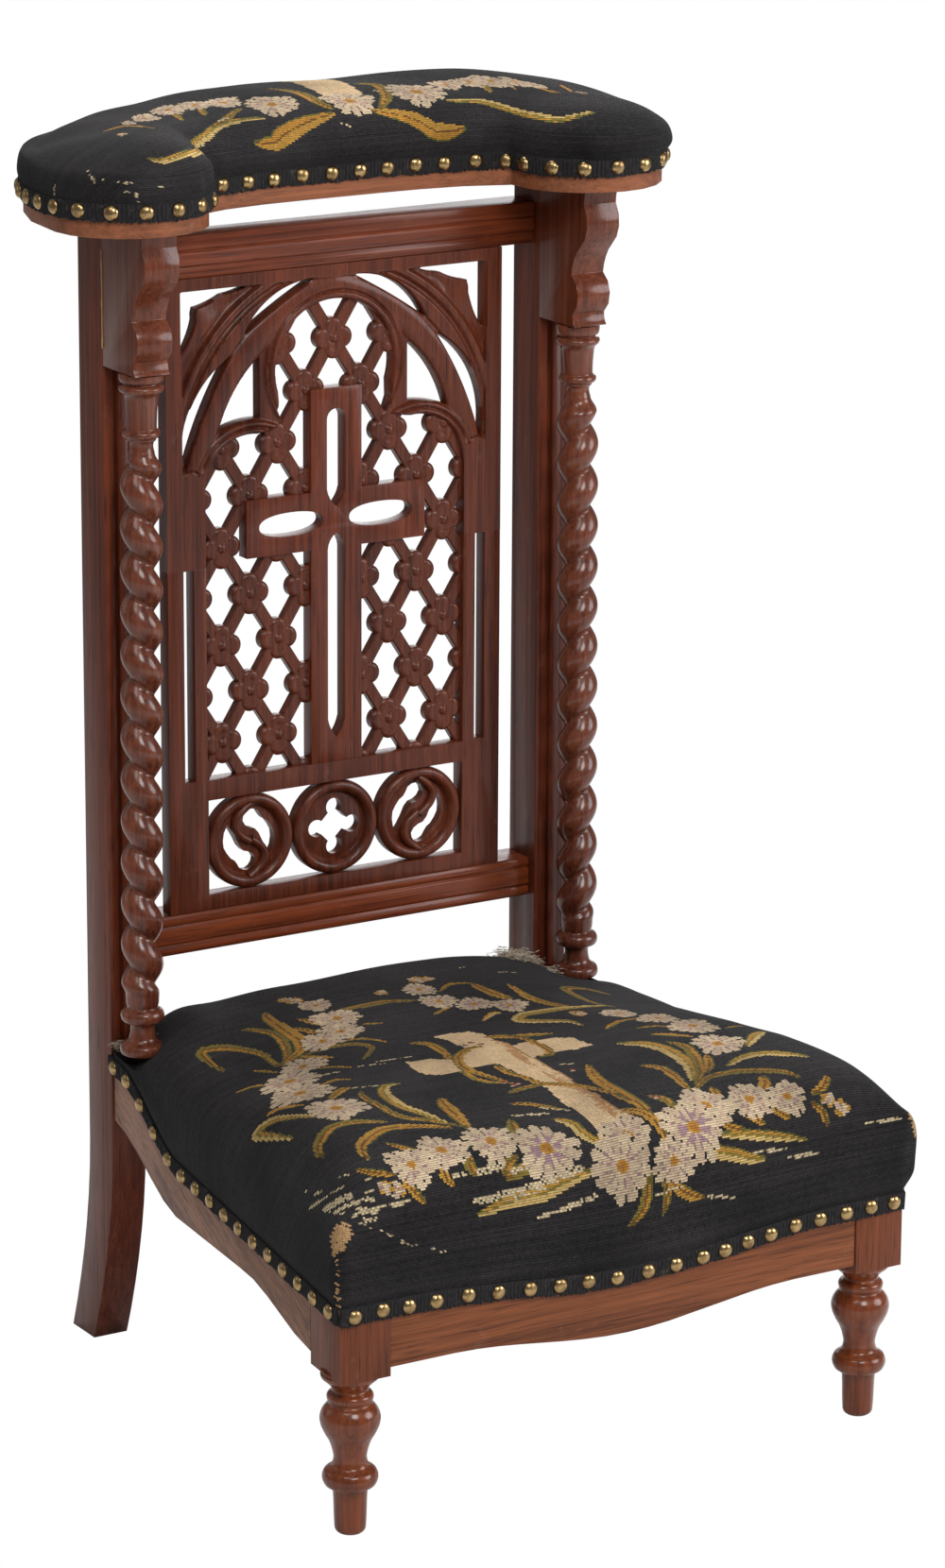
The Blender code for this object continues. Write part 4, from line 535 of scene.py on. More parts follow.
# Points from a to c on the circle through b
def arcThrough(a, b, c, steps):
    ax, az, bx, bz, cx, cz = *a, *b, *c
    d = 2 * (ax * (bz - cz) + bx * (cz - az) + cx * (az - bz))
    if abs(d) < 1e-6:
        return [(ax + (cx - ax) * k / steps, az + (cz - az) * k / steps) for k in range(steps + 1)]
    aa, bb, cc = ax * ax + az * az, bx * bx + bz * bz, cx * cx + cz * cz
    ux = (aa * (bz - cz) + bb * (cz - az) + cc * (az - bz)) / d
    uz = (aa * (cx - bx) + bb * (ax - cx) + cc * (bx - ax)) / d
    r = math.hypot(ax - ux, az - uz)
    first, middle, last = (math.atan2(p[1] - uz, p[0] - ux) for p in (a, b, c))
    turn = (last - first) % math.tau
    if (middle - first) % math.tau > turn:
        turn -= math.tau
    return [(ux + r * math.cos(first + turn * k / steps), uz + r * math.sin(first + turn * k / steps))
            for k in range(steps + 1)]


# A line of arcs that follow each other, each given as (through, to, steps)
def chained(start, *bends):
    line = []
    for through, to, steps in bends:
        line += arcThrough(start, through, to, steps)[1 if line else 0:]
        start = to
    return line


def arcRound(centre, radius, first, last, steps):
    return [(centre[0] + radius * math.cos(math.radians(first + (last - first) * k / steps)),
             centre[1] + radius * math.sin(math.radians(first + (last - first) * k / steps)))
            for k in range(steps + 1)]


def flipped(points):
    return [(-x, z) for x, z in reversed(points)]


def rectangle(x1, z1, x2, z2):
    return [(x1, z1), (x2, z1), (x2, z2), (x1, z2)]


# Loops in millimetres filled as a board between two depths; a width for the edge rounds it
def flatPiece(name, loops, front, back, edge=0.0):
    curve = bpy.data.curves.new(name, "CURVE")
    curve.dimensions = "2D"
    curve.fill_mode = "BOTH"
    curve.extrude = (back - front) / 2 * mm
    for loop in loops:
        spline = curve.splines.new("POLY")
        spline.points.add(len(loop) - 1)
        for point, (x, z) in zip(spline.points, loop):
            point.co = (x * mm, z * mm, 0.0, 1.0)
        spline.use_cyclic_u = True
    made = meshFromCurve(name, curve)
    place = Matrix.Translation(world(0, (front + back) / 2, 0)) @ Matrix.Rotation(math.pi / 2, 4, "X")
    made.data.transform(place)
    merged(made.data)
    if edge:
        with meshEdit(made.data) as work:
            bmesh.ops.dissolve_limit(work, angle_limit=math.radians(0.5), verts=work.verts, edges=work.edges)
        rounded(made, edge * mm)
    return made


def cutOut(piece, outline, front, back):
    knife = flatPiece("knife", [outline], front, back)
    combined(piece, knife, "DIFFERENCE")
    bpy.data.objects.remove(knife)


# The three-lobed opening that the lattice fills
def lightOutline():
    cx, cz, r = panelSize["lobe"]
    hx, hz, hr = panelSize["head"]
    side = [(panelSize["light"], panelSize["base"])] + arcRound((cx, cz), r, 0, 98, 16)
    side += arcThrough(side[-1], (57.5, 713.5), panelSize["cusp"], 5)[1:]
    side += [(49.5, 728.0)] + arcRound((hx, hz), hr, -18, 90, 20)
    return side + flipped(side[:-1])


# The right half's openings in the arch: spandrel, two crescents and the triangle
def tracery():
    spandrel = [(73.0, 826.0), (133.0, 826.0), (133.0, 775.0)] + chained(
        (133.0, 775.0), ((125.2, 787.5), (119.5, 803.0), 6), ((119.6, 808.0), (118.5, 812.5), 2),
        ((106.0, 815.6), (95.0, 820.5), 6), ((84.0, 822.4), (73.0, 826.0), 4))[1:-1]
    upper = chained((17, 826.5), ((50, 819), (80, 788), 16), ((50, 808), (17, 826.5), 16))[:-1]
    lower = chained((90, 774), ((119, 748), (130, 687), 16), ((105, 749), (90, 774), 16))[:-1]
    corner = chained((65.5, 770), ((85, 749), (100, 717), 12), ((82, 722.5), (65.5, 723.5), 6))
    return spandrel, upper, lower, corner


# Signed distance from each place to the nearest outline, below nought inside a loop
def distanceTo(loops, px, pz):
    best = np.full(px.shape, 1e9)
    inside = np.zeros(px.shape, bool)
    for loop in loops:
        points = np.array(loop)
        ends = np.roll(points, -1, axis=0)
        hit = np.zeros(px.shape, bool)
        for (ax, az), (bx, bz) in zip(points, ends):
            dx, dz = bx - ax, bz - az
            share = np.clip(((px - ax) * dx + (pz - az) * dz) / max(dx * dx + dz * dz, 1e-9), 0, 1)
            best = np.minimum(best, np.hypot(px - ax - share * dx, pz - az - share * dz))
            if abs(dz) > 1e-9:
                crossed = ((az > pz) != (bz > pz)) & (px < ax + dx * (pz - az) / dz)
                hit ^= crossed
        inside |= hit
    return np.where(inside, -best, best)


def gapAt(loops, x, z):
    return float(distanceTo(loops, np.array([x]), np.array([z]))[0])


def soft(value, low, high):
    share = np.clip((value - low) / (high - low), 0, 1)
    return share * share * (3 - 2 * share)


carving = {  # millimetres: centres of the two ribs, radii of their parts, and depths
    "outerCentre": (-8.0, 693.6), "ridge": 142.6, "hollow": 147.6, "leaf": (149.4, 153.6), "leaves": 18.0,
    "innerCentre": (-35.6, 667.9), "band": 155.6, "bandHalf": 11.2, "bandTop": (165.2, 167.6),
    "ridgeDepth": 2.4, "hollowDepth": 1.1, "leafDepth": 4.6, "leafWave": 1.5, "bandDepth": 3.2,
    "grooveDepth": 2.3, "lipDepth": 1.5, "easing": 1.6, "spring": (126.0, 684.5), "deepest": 7.0,
}


def grooved(distance, at, width, lip):
    groove = carving["grooveDepth"] * np.exp(-((distance - at) / width) ** 2)
    return groove + carving["lipDepth"] * soft(lip - distance, 0, lip)


# How far below the panel's face the carving lies, in millimetres
def archDepth(px, pz, openings, light):
    c = carving
    ax = np.abs(px)
    inZone = soft(pz, 684, 692) * soft(826.2 - pz, -0.6, 0.8) * soft(panelSize["strip"] - ax, -0.4, 0.6)
    outerX, outerZ = ax - c["outerCentre"][0], pz - c["outerCentre"][1]
    outer = np.hypot(outerX, outerZ)
    inner = np.hypot(ax - c["innerCentre"][0], pz - c["innerCentre"][1])
    head = np.hypot(ax, pz - panelSize["head"][1]) - panelSize["head"][2]
    lobe = np.hypot(ax - panelSize["lobe"][0], pz - panelSize["lobe"][1]) - panelSize["lobe"][2]
    # the outer rib: round ridge, hollow inside it, steep outer side down to the leaf
    outerRib = c["ridgeDepth"] * np.exp(-((outer - c["ridge"]) / 2.0) ** 2)
    outerRib += c["hollowDepth"] * soft(np.abs(outer - c["hollow"]), 1.6, 4.2) * (outer > 140)
    leafDrop = soft(outer, *c["leaf"])
    wave = c["leafWave"] * np.cos(np.arctan2(outerZ, outerX) * c["leaves"]) * soft(outer, 152, 158)
    outerRib = outerRib * (1 - leafDrop) + leafDrop * (c["leafDepth"] - wave)
    # the inner rib: one broad round band, with grooves along the head and the lobes
    aboveInner = soft(inner, *c["bandTop"])
    across = (inner - c["band"]) / c["bandHalf"]
    innerRib = c["bandDepth"] * np.clip(np.abs(across), 0, 1.05) ** 2.6
    sunk = innerRib * (1 - soft(9.5 - head, 0, 2.5) * soft(pz, 700, 716))
    sunk = np.where(head < 12, sunk * soft(head, 6, 11) + grooved(head, 6.4, 1.3, 3.0) * (pz > 712), sunk)
    lobeShare = soft(11.5 - lobe, 0, 2.5) * (pz < 735) * soft(pz, 660, 690) * (head > 6)
    lobeGroove = grooved(lobe, 5.2, 1.2, 2.6) + 2.0 * soft(lobe, 8.2, 11.5)
    sunk = sunk * (1 - lobeShare) + lobeGroove * lobeShare
    depth = (aboveInner * outerRib + (1 - aboveInner) * sunk) * inZone
    # the leaf's own edge and all openings are eased a little
    near = distanceTo(openings + [light], px, pz)
    ease = np.clip(c["easing"] - near, 0, c["easing"])
    drop = c["easing"] - np.sqrt(np.maximum(c["easing"] ** 2 - ease ** 2, 0))
    depth += np.where(near < c["easing"], drop, 0.0) * soft(pz, 664, 690)
    # half-round ledges where the outer rib springs
    ledge = np.hypot(ax - c["spring"][0], (pz - c["spring"][1]) * 1.5)
    depth = np.where((ledge < 7.5) & (pz > 683), depth * soft(ledge, 5.5, 7.5), depth)
    depth += 1.6 * np.exp(-((ledge - 7.2) / 1.0) ** 2) * (pz > 684.0) * (ax < 132.6)
    return np.clip(depth, 0, c["deepest"])


# The arch as a fine grid: it ends at the openings, and its border is drawn onto their outlines
def makeArch():
    step = panelSize["carvingStep"]
    openings = []
    for loop in tracery():
        openings += [loop, flipped(loop)]
    light = lightOutline()
    half, low, high = panelSize["half"], panelSize["split"], panelSize["top"]
    columns = int(round(2 * half / step)) + 1
    rows = int(round((high - low) / step)) + 1
    xs = np.linspace(-half, half, columns)
    zs = np.linspace(low, high, rows)
    px, pz = np.meshgrid(xs, zs)
    loops = openings + [light]
    gap = distanceTo(loops, px, pz)
    tiny = 0.2
    slopeX = (distanceTo(loops, px + tiny, pz) - distanceTo(loops, px - tiny, pz)) / (2 * tiny)
    slopeZ = (distanceTo(loops, px, pz + tiny) - distanceTo(loops, px, pz - tiny)) / (2 * tiny)
    keep = gap > -0.45 * step
    quads = keep[:-1, :-1] & keep[1:, :-1] & keep[:-1, 1:] & keep[1:, 1:]
    used = np.zeros(keep.shape, bool)
    border = np.zeros(keep.shape, bool)
    for dz in (0, 1):
        for dx in (0, 1):
            used[dz:dz + rows - 1, dx:dx + columns - 1] |= quads
            border[dz:dz + rows - 1, dx:dx + columns - 1] |= ~quads
    edgeRing = used & border & (gap < 1.6 * step)
    moved = np.where(edgeRing, gap, 0.0)
    qx, qz = px - moved * slopeX, pz - moved * slopeZ
    depth = archDepth(qx, qz, openings, light)
    index = np.full(keep.shape, -1)
    index[used] = np.arange(used.sum())
    depths = backFace + (panelSize["front"] + depth[used]) * mm
    verts = np.stack([qx[used] * mm, depths, qz[used] * mm], axis=1)
    a, b = index[:-1, :-1][quads], index[:-1, 1:][quads]
    c, d = index[1:, 1:][quads], index[1:, :-1][quads]
    arch = meshObject("arch_tracery", verts.tolist(), np.stack([a, b, c, d], axis=1).tolist())
    backPlane = backFace + panelSize["back"] * mm
    with meshEdit(arch.data) as work:
        grown = bmesh.ops.extrude_face_region(work, geom=work.faces[:])
        for vert in grown["geom"]:
            if isinstance(vert, bmesh.types.BMVert):
                vert.co.y = backPlane
        flat = [f for f in work.faces if all(abs(v.co.y - backPlane) < 1e-7 for v in f.verts)]
        bmesh.ops.dissolve_faces(work, faces=flat)
        bmesh.ops.recalc_face_normals(work, faces=work.faces)
    smoothBy(arch, 42)
    return arch


# Side strips, base band, bottom strip and the blocks beside the roundels, below the arch
def makePanelBoard():
    p = panelSize
    right = [(p["half"], p["bottom"]), (p["half"], p["split"]),
             (p["light"], p["split"]), (p["light"], p["base"])]
    outline = [(-p["half"], p["bottom"])] + right + flipped(right)[:-1]
    slot = rectangle(124.3, 446.3, 133.2, 612.5)
    hole = rectangle(-113.1, 354.8, 113.1, p["band"])
    return flatPiece("panel_board", [outline, slot, flipped(slot), hole], p["front"], p["back"], p["edge"])


crossSize = {  # millimetres: the cross's outline and faces, and the middle and reach of its side sinkings
    "half": 22.3, "arm": 78.5, "foot": 446.2, "low": 616.0, "high": 661.0, "top": 741.0, "front": 9.3,
    "back": 21.6, "edge": 0.9, "sideMiddle": (39.4, 638.8), "sideReach": (28.2, 9.3), "sidePoints": 40,
}


def makeCross():
    c = crossSize
    right = [(c["half"], c["foot"]), (c["half"], c["low"]), (c["arm"], c["low"]), (c["arm"], c["high"]),
             (c["half"], c["high"]), (c["half"], c["top"])]
    upper = [(-8.2, 662.0), (-8.2, 716.6)] + arcRound((0, 716.6), 8.2, 180, 0, 10)[1:] + [(8.2, 662.0)]
    upper += chained((8.2, 662.0), ((5.4, 654.5), (0.0, 648.2), 4), ((-5.4, 654.5), (-8.2, 662.0), 4))[1:-1]
    lower = arcThrough((0, 627.5), (4.8, 623.0), (7.6, 615.0), 4) + [(7.6, 480.0)]
    lower += chained((7.6, 480.0), ((5.0, 472.4), (0, 465.0), 4), ((-5.0, 472.4), (-7.6, 480.0), 4))[1:]
    lower += arcThrough((-7.6, 615.0), (-4.8, 623.0), (0, 627.5), 4)[:-1]
    (midX, midZ), (reachX, reachZ) = c["sideMiddle"], c["sideReach"]
    side = []
    for k in range(c["sidePoints"]):
        angle = math.tau * k / c["sidePoints"]
        x, z = math.cos(angle), math.sin(angle)
        side.append((midX - reachX * math.copysign(abs(x) ** 0.92, x),
                     midZ + reachZ * math.copysign(abs(z) ** 0.86, z)))
    loops = [right + flipped(right), upper, lower, side, flipped(side)]
    return flatPiece("panel_cross", loops, c["front"], c["back"], c["edge"])


flowerSize = {  # millimetres
    "rounds": 16, "spokes": 60, "waist": 11.4, "petal": 4.9, "rim": 2.2, "cleft": 1.3, "swell": 0.9,
    "lift": 0.5, "button": 3.3, "ring": 4.2, "ringDepth": 0.6, "back": 9.0,
}


# A carved four-petalled flower about the origin, facing -Y
def makeFlower(name):
    f = flowerSize
    rounds, spokes = f["rounds"], f["spokes"]
    verts, faces = [(0.0, -1.2, 0.0)], []
    for ring in range(1, rounds + 1):
        share = ring / rounds
        for spoke in range(spokes):
            angle = math.tau * spoke / spokes
            petal = abs(math.cos(2 * angle))
            distance = share * (f["waist"] + f["petal"] * petal ** 0.62)
            cleft = f["cleft"] * (1 - petal ** 0.35) * min(1, max(0, (share - 0.25) / 0.4))
            depth = f["rim"] * share ** 9 + cleft
            depth += f["swell"] * math.exp(-((share - 0.45) / 0.22) ** 2) * petal - f["lift"] * share * petal
            button = distance / f["button"]
            if button < 1:
                depth -= 1.3 * math.sqrt(1 - button * button) - 0.3
            depth += f["ringDepth"] * math.exp(-((distance - f["ring"]) / 0.8) ** 2)
            verts.append((distance * math.cos(angle), depth, distance * math.sin(angle)))
    last = len(verts) - spokes
    for spoke in range(spokes):
        x, _, z = verts[last + spoke]
        verts.append((x * 0.97, f["back"], z * 0.97))
    for spoke in range(spokes):
        after = (spoke + 1) % spokes
        faces.append((0, 1 + spoke, 1 + after))
        for ring in range(rounds):
            a = 1 + ring * spokes
            faces.append((a + spoke, a + spokes + spoke, a + spokes + after, a + after))
    faces.append(tuple(1 + rounds * spokes + s for s in range(spokes)))
    made = meshObject(name, [(x * mm, y * mm, z * mm) for x, y, z in verts], faces)
    outward(made)
    smoothBy(made, 50)
    return made


lattice = {  # millimetres
    "across": 24.5, "up": 38.25, "first": 472.8, "face": 12.2, "barFace": 13.6,
    "barWide": 9.8, "barDeep": 7.2, "chamfer": 1.0, "grown": 5.0, "flowerReach": 16.0, "barReach": 26.0,
    "upright": (-9.6, 463, 9.6, 726.5), "arms": (-68.5, 627.6, 68.5, 650),  # the places that the cross takes
    "slots": [(-9.6, 463, 9.6, 629), (-9.6, 647, 9.6, 726.5), (9, 627.6, 68.5, 650), (-68.5, 627.6, -9, 650)],
}


# One chamfered lattice bar along Z about the origin, facing -Y
def makeBar(name, length):
    bpy.ops.mesh.primitive_cube_add(size=1.0)
    bar = bpy.context.active_object
    bar.name = name
    bar.data.name = name
    bar.data.transform(Matrix.Diagonal((lattice["barWide"] * mm, lattice["barDeep"] * mm, length * mm, 1.0)))
    with meshEdit(bar.data) as work:
        front = [e for e in work.edges if all(v.co.y < 0 for v in e.verts)]
        front = [e for e in front if abs(e.verts[0].co.x - e.verts[1].co.x) < 1e-6]
        bmesh.ops.bevel(work, geom=front, offset=lattice["chamfer"] * mm, segments=1, affect="EDGES")
    return bar


# Where the lattice may be: the light grown a little, less the slots of the cross
def latticeField():
    light = np.array(lightOutline())
    run = np.roll(light, -1, axis=0) - np.roll(light, 1, axis=0)
    grown = []
    for (x, z), way in zip(light, run):
        way = way / max(np.hypot(*way), 1e-6)
        grown.append((x + way[1] * lattice["grown"], z - way[0] * lattice["grown"]))
    field = flatPiece("lattice_field", [grown], 5.0, 30.0)
    for slot in lattice["slots"]:
        cutOut(field, rectangle(*slot), 2.0, 34.0)
    return field


# Flowers at the crossings and bars between them, trimmed where they meet the opening's edge
def makeLattice():
    across, up = lattice["across"], lattice["up"]
    light = lightOutline()
    slots = [rectangle(*lattice["upright"]), rectangle(*lattice["arms"])]
    field = latticeField()
    flower = makeFlower("flower_pattern")
    bar = makeBar("bar_pattern", math.hypot(across, up))
    tilt = math.atan2(across, up)
    barMiddle = lattice["barFace"] + lattice["barDeep"] / 2
    parts = []
    rng = np.random.default_rng(5)

    def place(source, x, y, z, turn, reach):
        placed = Matrix.Translation(world(x, y, z)) @ Matrix.Rotation(turn, 4, "Y")
        piece = copyAt(source, placed, source.name)
        if -gapAt([light], x, z) < reach or gapAt(slots, x, z) < reach:
            combined(piece, field, "INTERSECT")
        parts.append(piece)

    for row in range(-2, 10):
        for column in range(-6, 7):
            if (row + column) % 2:
                continue
            x, z = across * column, lattice["first"] + up * row
            atCusp = abs(column) == 2 and row == 6
            if (gapAt([light], x, z) < 11.5 or atCusp) and row > -2:
                reach = -math.inf if atCusp else lattice["flowerReach"]  # the flowers at the cusps stay whole
                place(flower, x, lattice["face"], z, rng.uniform(-0.09, 0.09), reach)
            for side in (-1, 1):
                middleX, middleZ = x + side * across / 2, z + up / 2
                if gapAt([light], middleX, middleZ) < 14:
                    place(bar, middleX, barMiddle, middleZ, side * tilt, lattice["barReach"])
    for used in (flower, bar, field):
        bpy.data.objects.remove(used)
    whole = joined("panel_lattice", [part for part in parts if len(part.data.polygons)])
    smoothBy(whole, 34)
    return whole


roundelSize = {  # millimetres, and shares of the radius in the ribbed roundels' shapes
    "radius": 37.7, "spokes": 96, "across": 75.4, "up": 392.4, "foilMiddle": 15.5, "foilRadius": 6.9,
    "ribRadius": 3.4, "ribDepth": 13.4,
    "profile": [
        (37.4, 21.6), (37.7, 14.5), (37.2, 11.6), (35.8, 9.8), (33.9, 8.9), (32.0, 8.8), (30.2, 9.6),
        (28.8, 11.2), (27.9, 13.0), (27.4, 14.6), (26.6, 15.4), (24.5, 15.0), (20.0, 14.2), (14.0, 13.8),
        (7.0, 13.7), (0.05, 13.7)],
    "opening": [
        (-0.15, 0.42), (-0.13, 0.52), (-0.07, 0.60), (0.02, 0.645), (0.12, 0.635), (0.22, 0.58), (0.28, 0.48),
        (0.34, 0.40), (0.43, 0.34), (0.52, 0.22), (0.585, 0.10), (0.60, -0.05), (0.575, -0.21), (0.50, -0.36),
        (0.40, -0.22), (0.30, -0.05), (0.22, 0.12), (0.13, 0.22), (0.02, 0.25), (-0.09, 0.32)],
    "ridge": [(0.02, 0.78), (-0.28, 0.60), (-0.40, 0.36), (-0.28, 0.14), (-0.02, -0.02)],
}


def fourFoil():
    shape = []
    for quarter in range(4):
        turn = math.radians(90 * quarter)
        for angle in range(-128, 129, 16):
            a = math.radians(angle)
            x = roundelSize["foilMiddle"] + roundelSize["foilRadius"] * math.cos(a)
            z = roundelSize["foilRadius"] * math.sin(a)
            shape.append((x * math.cos(turn) - z * math.sin(turn), x * math.sin(turn) + z * math.cos(turn)))
    return shape


# Half of the S rib, from the rim to the middle
def roundelRib(name, wide, high):
    line = bpy.data.curves.new(name, "CURVE")
    line.dimensions = "3D"
    line.resolution_u = 10
    line.bevel_depth = roundelSize["ribRadius"] * mm
    line.bevel_resolution = 5
    line.use_fill_caps = True
    spline = line.splines.new("NURBS")
    spline.points.add(len(roundelSize["ridge"]) - 1)
    spline.use_endpoint_u = True
    spline.order_u = 4
    for point, (x, z) in zip(spline.points, roundelSize["ridge"]):
        point.co = (wide * x * roundelSize["radius"] * mm, 0.0, high * z * roundelSize["radius"] * mm, 1.0)
    rib = meshFromCurve(name, line)
    flatter = Matrix.Diagonal((1.0, 1.25, 1.0, 1.0))
    rib.data.transform(Matrix.Translation(world(0, roundelSize["ribDepth"], 0)) @ flatter)
    return rib


# A turned ring with a dished floor, pierced, and with the S rib in the outer two
def makeRoundel(side):
    name = "roundel_" + {-1: "left", 0: "middle", 1: "right"}[side]
    radius, spokes, profile = (roundelSize[k] for k in ("radius", "spokes", "profile"))
    verts = []
    for r, y in profile:
        for k in range(spokes):
            angle = math.tau * k / spokes
            verts.append((r * math.cos(angle) * mm, backFace + y * mm, r * math.sin(angle) * mm))
    disc = meshObject(name, verts, tubeFaces(len(profile), spokes))
    merged(disc.data)
    if side:
        first = [(-side * x * radius, z * radius) for x, z in roundelSize["opening"]]
        openings = [first, [(-x, -z) for x, z in first]]
    else:
        openings = [fourFoil()]
    for opening in openings:
        cutOut(disc, opening, 2.0, 30.0)
    if side:
        disc = joined(name, [disc] + [roundelRib(name + "_rib", -side * sign, sign) for sign in (-1, 1)])
    disc.data.transform(Matrix.Translation((side * roundelSize["across"] * mm, 0.0, roundelSize["up"] * mm)))
    smoothBy(disc, 40)
    return disc


panelPieces = [makeArch(), makePanelBoard(), makeCross(), makeLattice()]
panelPieces += [makeRoundel(side) for side in (-1, 0, 1)]
# the cross keeps the upright oak; the other panel members take its darker copy, painted shade for the
# recessed panel
for piece in panelPieces:
    kind = "oakUpright" if piece.name == "panel_cross" else "oakPanelShaded"
    finished(piece, wood[kind], ["fretwork_panel"])
report("fretwork panel")


# Turned work: columns and front legs

# Monotone cubic through (place, radius) points, for a turning without flats
def easedProfile(points, places):
    x = np.array([p[0] for p in points], float)
    y = np.array([p[1] for p in points], float)
    h = np.diff(x)
    d = np.diff(y) / h
    m = np.zeros(len(x))
    for k in range(1, len(x) - 1):
        if d[k - 1] * d[k] > 0:
            w1, w2 = 2 * h[k] + h[k - 1], h[k] + 2 * h[k - 1]
            m[k] = (w1 + w2) / (w1 / d[k - 1] + w2 / d[k])
    m[0], m[-1] = d[0], d[-1]
    k = np.clip(np.searchsorted(x, places, side="right") - 1, 0, len(h) - 1)
    t = (places - x[k]) / h[k]
    return ((1 + 2 * t) * (1 - t) ** 2 * y[k] + t * (1 - t) ** 2 * h[k] * m[k]
            + t * t * (3 - 2 * t) * y[k + 1] + t * t * (t - 1) * h[k] * m[k + 1])


columnSize = {  # millimetres; the lists are (distance from the end, radius)
    "foot": (195.0, -33.0, 252.6), "head": (190.0, -33.0, 779.4), "groove": 8.5, "swell": 7.9, "pitch": 32.3,
    "sides": 84, "fine": 0.55, "coarse": 1.0, "baseHigh": 46.0, "topHigh": 52.0,
    "baseCore": 12.9, "topCore": 10.0, "ringDrop": {-1: 2.5, 1: 4.0}, "collarDrop": {-1: 8.0, 1: 5.3},
    "phase": {-1: 1.82, 1: -0.25},
    "base": [
        (0, 14.6), (1.0, 16.4), (4.4, 17.2), (7.8, 16.3), (9.4, 14.2), (10.2, 12.6), (14.0, 10.2),
        (21.0, 9.3), (24.2, 10.0), (25.4, 12.2), (27.2, 15.6), (31.0, 16.7), (34.8, 15.5), (36.4, 12.9),
        (37.8, 11.9), (41.0, 12.6), (46.0, 12.9)],
    "top": [
        (0, 15.6), (0.6, 17.0), (2.8, 17.0), (3.6, 16.2), (4.6, 13.9), (5.4, 13.9), (6.4, 15.8),
        (8.6, 17.1), (11.0, 16.4), (12.6, 14.6), (14.4, 13.4), (17.0, 12.7), (33.2, 11.6), (34.4, 11.9),
        (35.2, 13.6), (37.6, 14.4), (39.8, 13.6), (40.6, 11.3), (42.4, 11.0), (43.6, 9.6), (47.0, 8.9),
        (50.0, 9.4), (52.0, 10.0)],
}


# A barley twist between turned ends; the twist rises and fades over the neighbouring turning
def makeColumn(side):
    s = columnSize
    foot, head = (world(side * x, y, z) for x, y, z in (s["foot"], s["head"]))
    length = (head - foot).length / mm
    ring, collar = s["ringDrop"][side], s["collarDrop"][side]
    dropped = [(d if d < 3 else d + ring if d < 18 else d + collar, r) for d, r in s["top"]]
    top = [(length - d, r) for d, r in reversed(dropped)]
    low, high = s["baseHigh"], length - (s["topHigh"] + collar)
    places = np.unique(np.concatenate([
        np.arange(0, low, s["fine"]), np.arange(low, high, s["coarse"]),
        np.arange(high, length, s["fine"]), [length]]))
    core = np.where(places < low, easedProfile(s["base"], np.minimum(places, low)),
                    np.where(places > high, easedProfile(top, np.maximum(places, high)), 0.0))
    fromLow, fromHigh = places - low, high - places
    eased = np.clip(np.minimum(fromLow / 12.0, fromHigh / 13.0), 0, 1)
    eased = eased * eased * (3 - 2 * eased)
    inTwist = (places >= low) & (places <= high)
    core = np.where(inTwist, np.where(fromLow < fromHigh, s["baseCore"], s["topCore"]), core)
    eased = np.where(inTwist, eased, 0.0)
    phase = math.tau * (places - low) / s["pitch"] + s["phase"][side]
    angles = np.arange(s["sides"]) * math.tau / s["sides"]
    rings = []
    for z, plain, share, f in zip(places, core, eased, phase):
        fromRidge = np.cos((angles - side * f) / 2) ** 2
        rope = s["groove"] + s["swell"] * (np.sqrt(fromRidge + 0.012) - 0.04) ** 0.92
        r = plain * (1 - share) + rope * share
        rings.append(np.stack([r * np.cos(angles), r * np.sin(angles), np.full(s["sides"], z)], axis=1))
    verts = np.concatenate(rings) * mm
    name = "turned_column_" + ("right" if side > 0 else "left")
    column = meshObject(name, verts.tolist(), tubeFaces(len(places), s["sides"]))
    axis = (head - foot).normalized()
    forward = axis.cross(Vector((1, 0, 0))).normalized()
    sideways = forward.cross(axis).normalized()
    turn = Matrix((sideways, forward, axis)).transposed().to_4x4()
    column.data.transform(Matrix.Translation(foot) @ turn)
    outward(column)
    smoothBy(column, 50)
    return column


for side, label in ((-1, "left"), (1, "right")):
    finished(makeColumn(side), wood["oakTurned"], ["column_" + label])

legSize = {"top": 121.7, "step": 0.9, "sides": 64, "across": 221.75, "deep": -394.1, "blockLow": 122.02}  # mm
legTurning = [  # (height, diameter) of a front leg, from the floor to the block
    (0.0, 17.6), (1.2, 20.6), (3.0, 22.4), (8.0, 23.2), (33.0, 25.4), (34.4, 26.2), (35.2, 31.0),
    (37.5, 37.4), (42.8, 40.6), (47.6, 37.6), (50.0, 31.2), (51.6, 27.2), (58.0, 24.0), (64.0, 26.2),
    (70.0, 30.0), (78.0, 38.6), (84.0, 43.0), (87.6, 43.9), (92.0, 42.2), (97.0, 36.2), (99.0, 31.6),
    (100.0, 30.6), (101.4, 32.6), (104.6, 33.9), (107.0, 31.6), (108.2, 26.6), (109.4, 25.0), (111.0, 26.4),
    (114.0, 31.0), (117.6, 38.4), (119.4, 42.2), (121.7, 42.9),
]


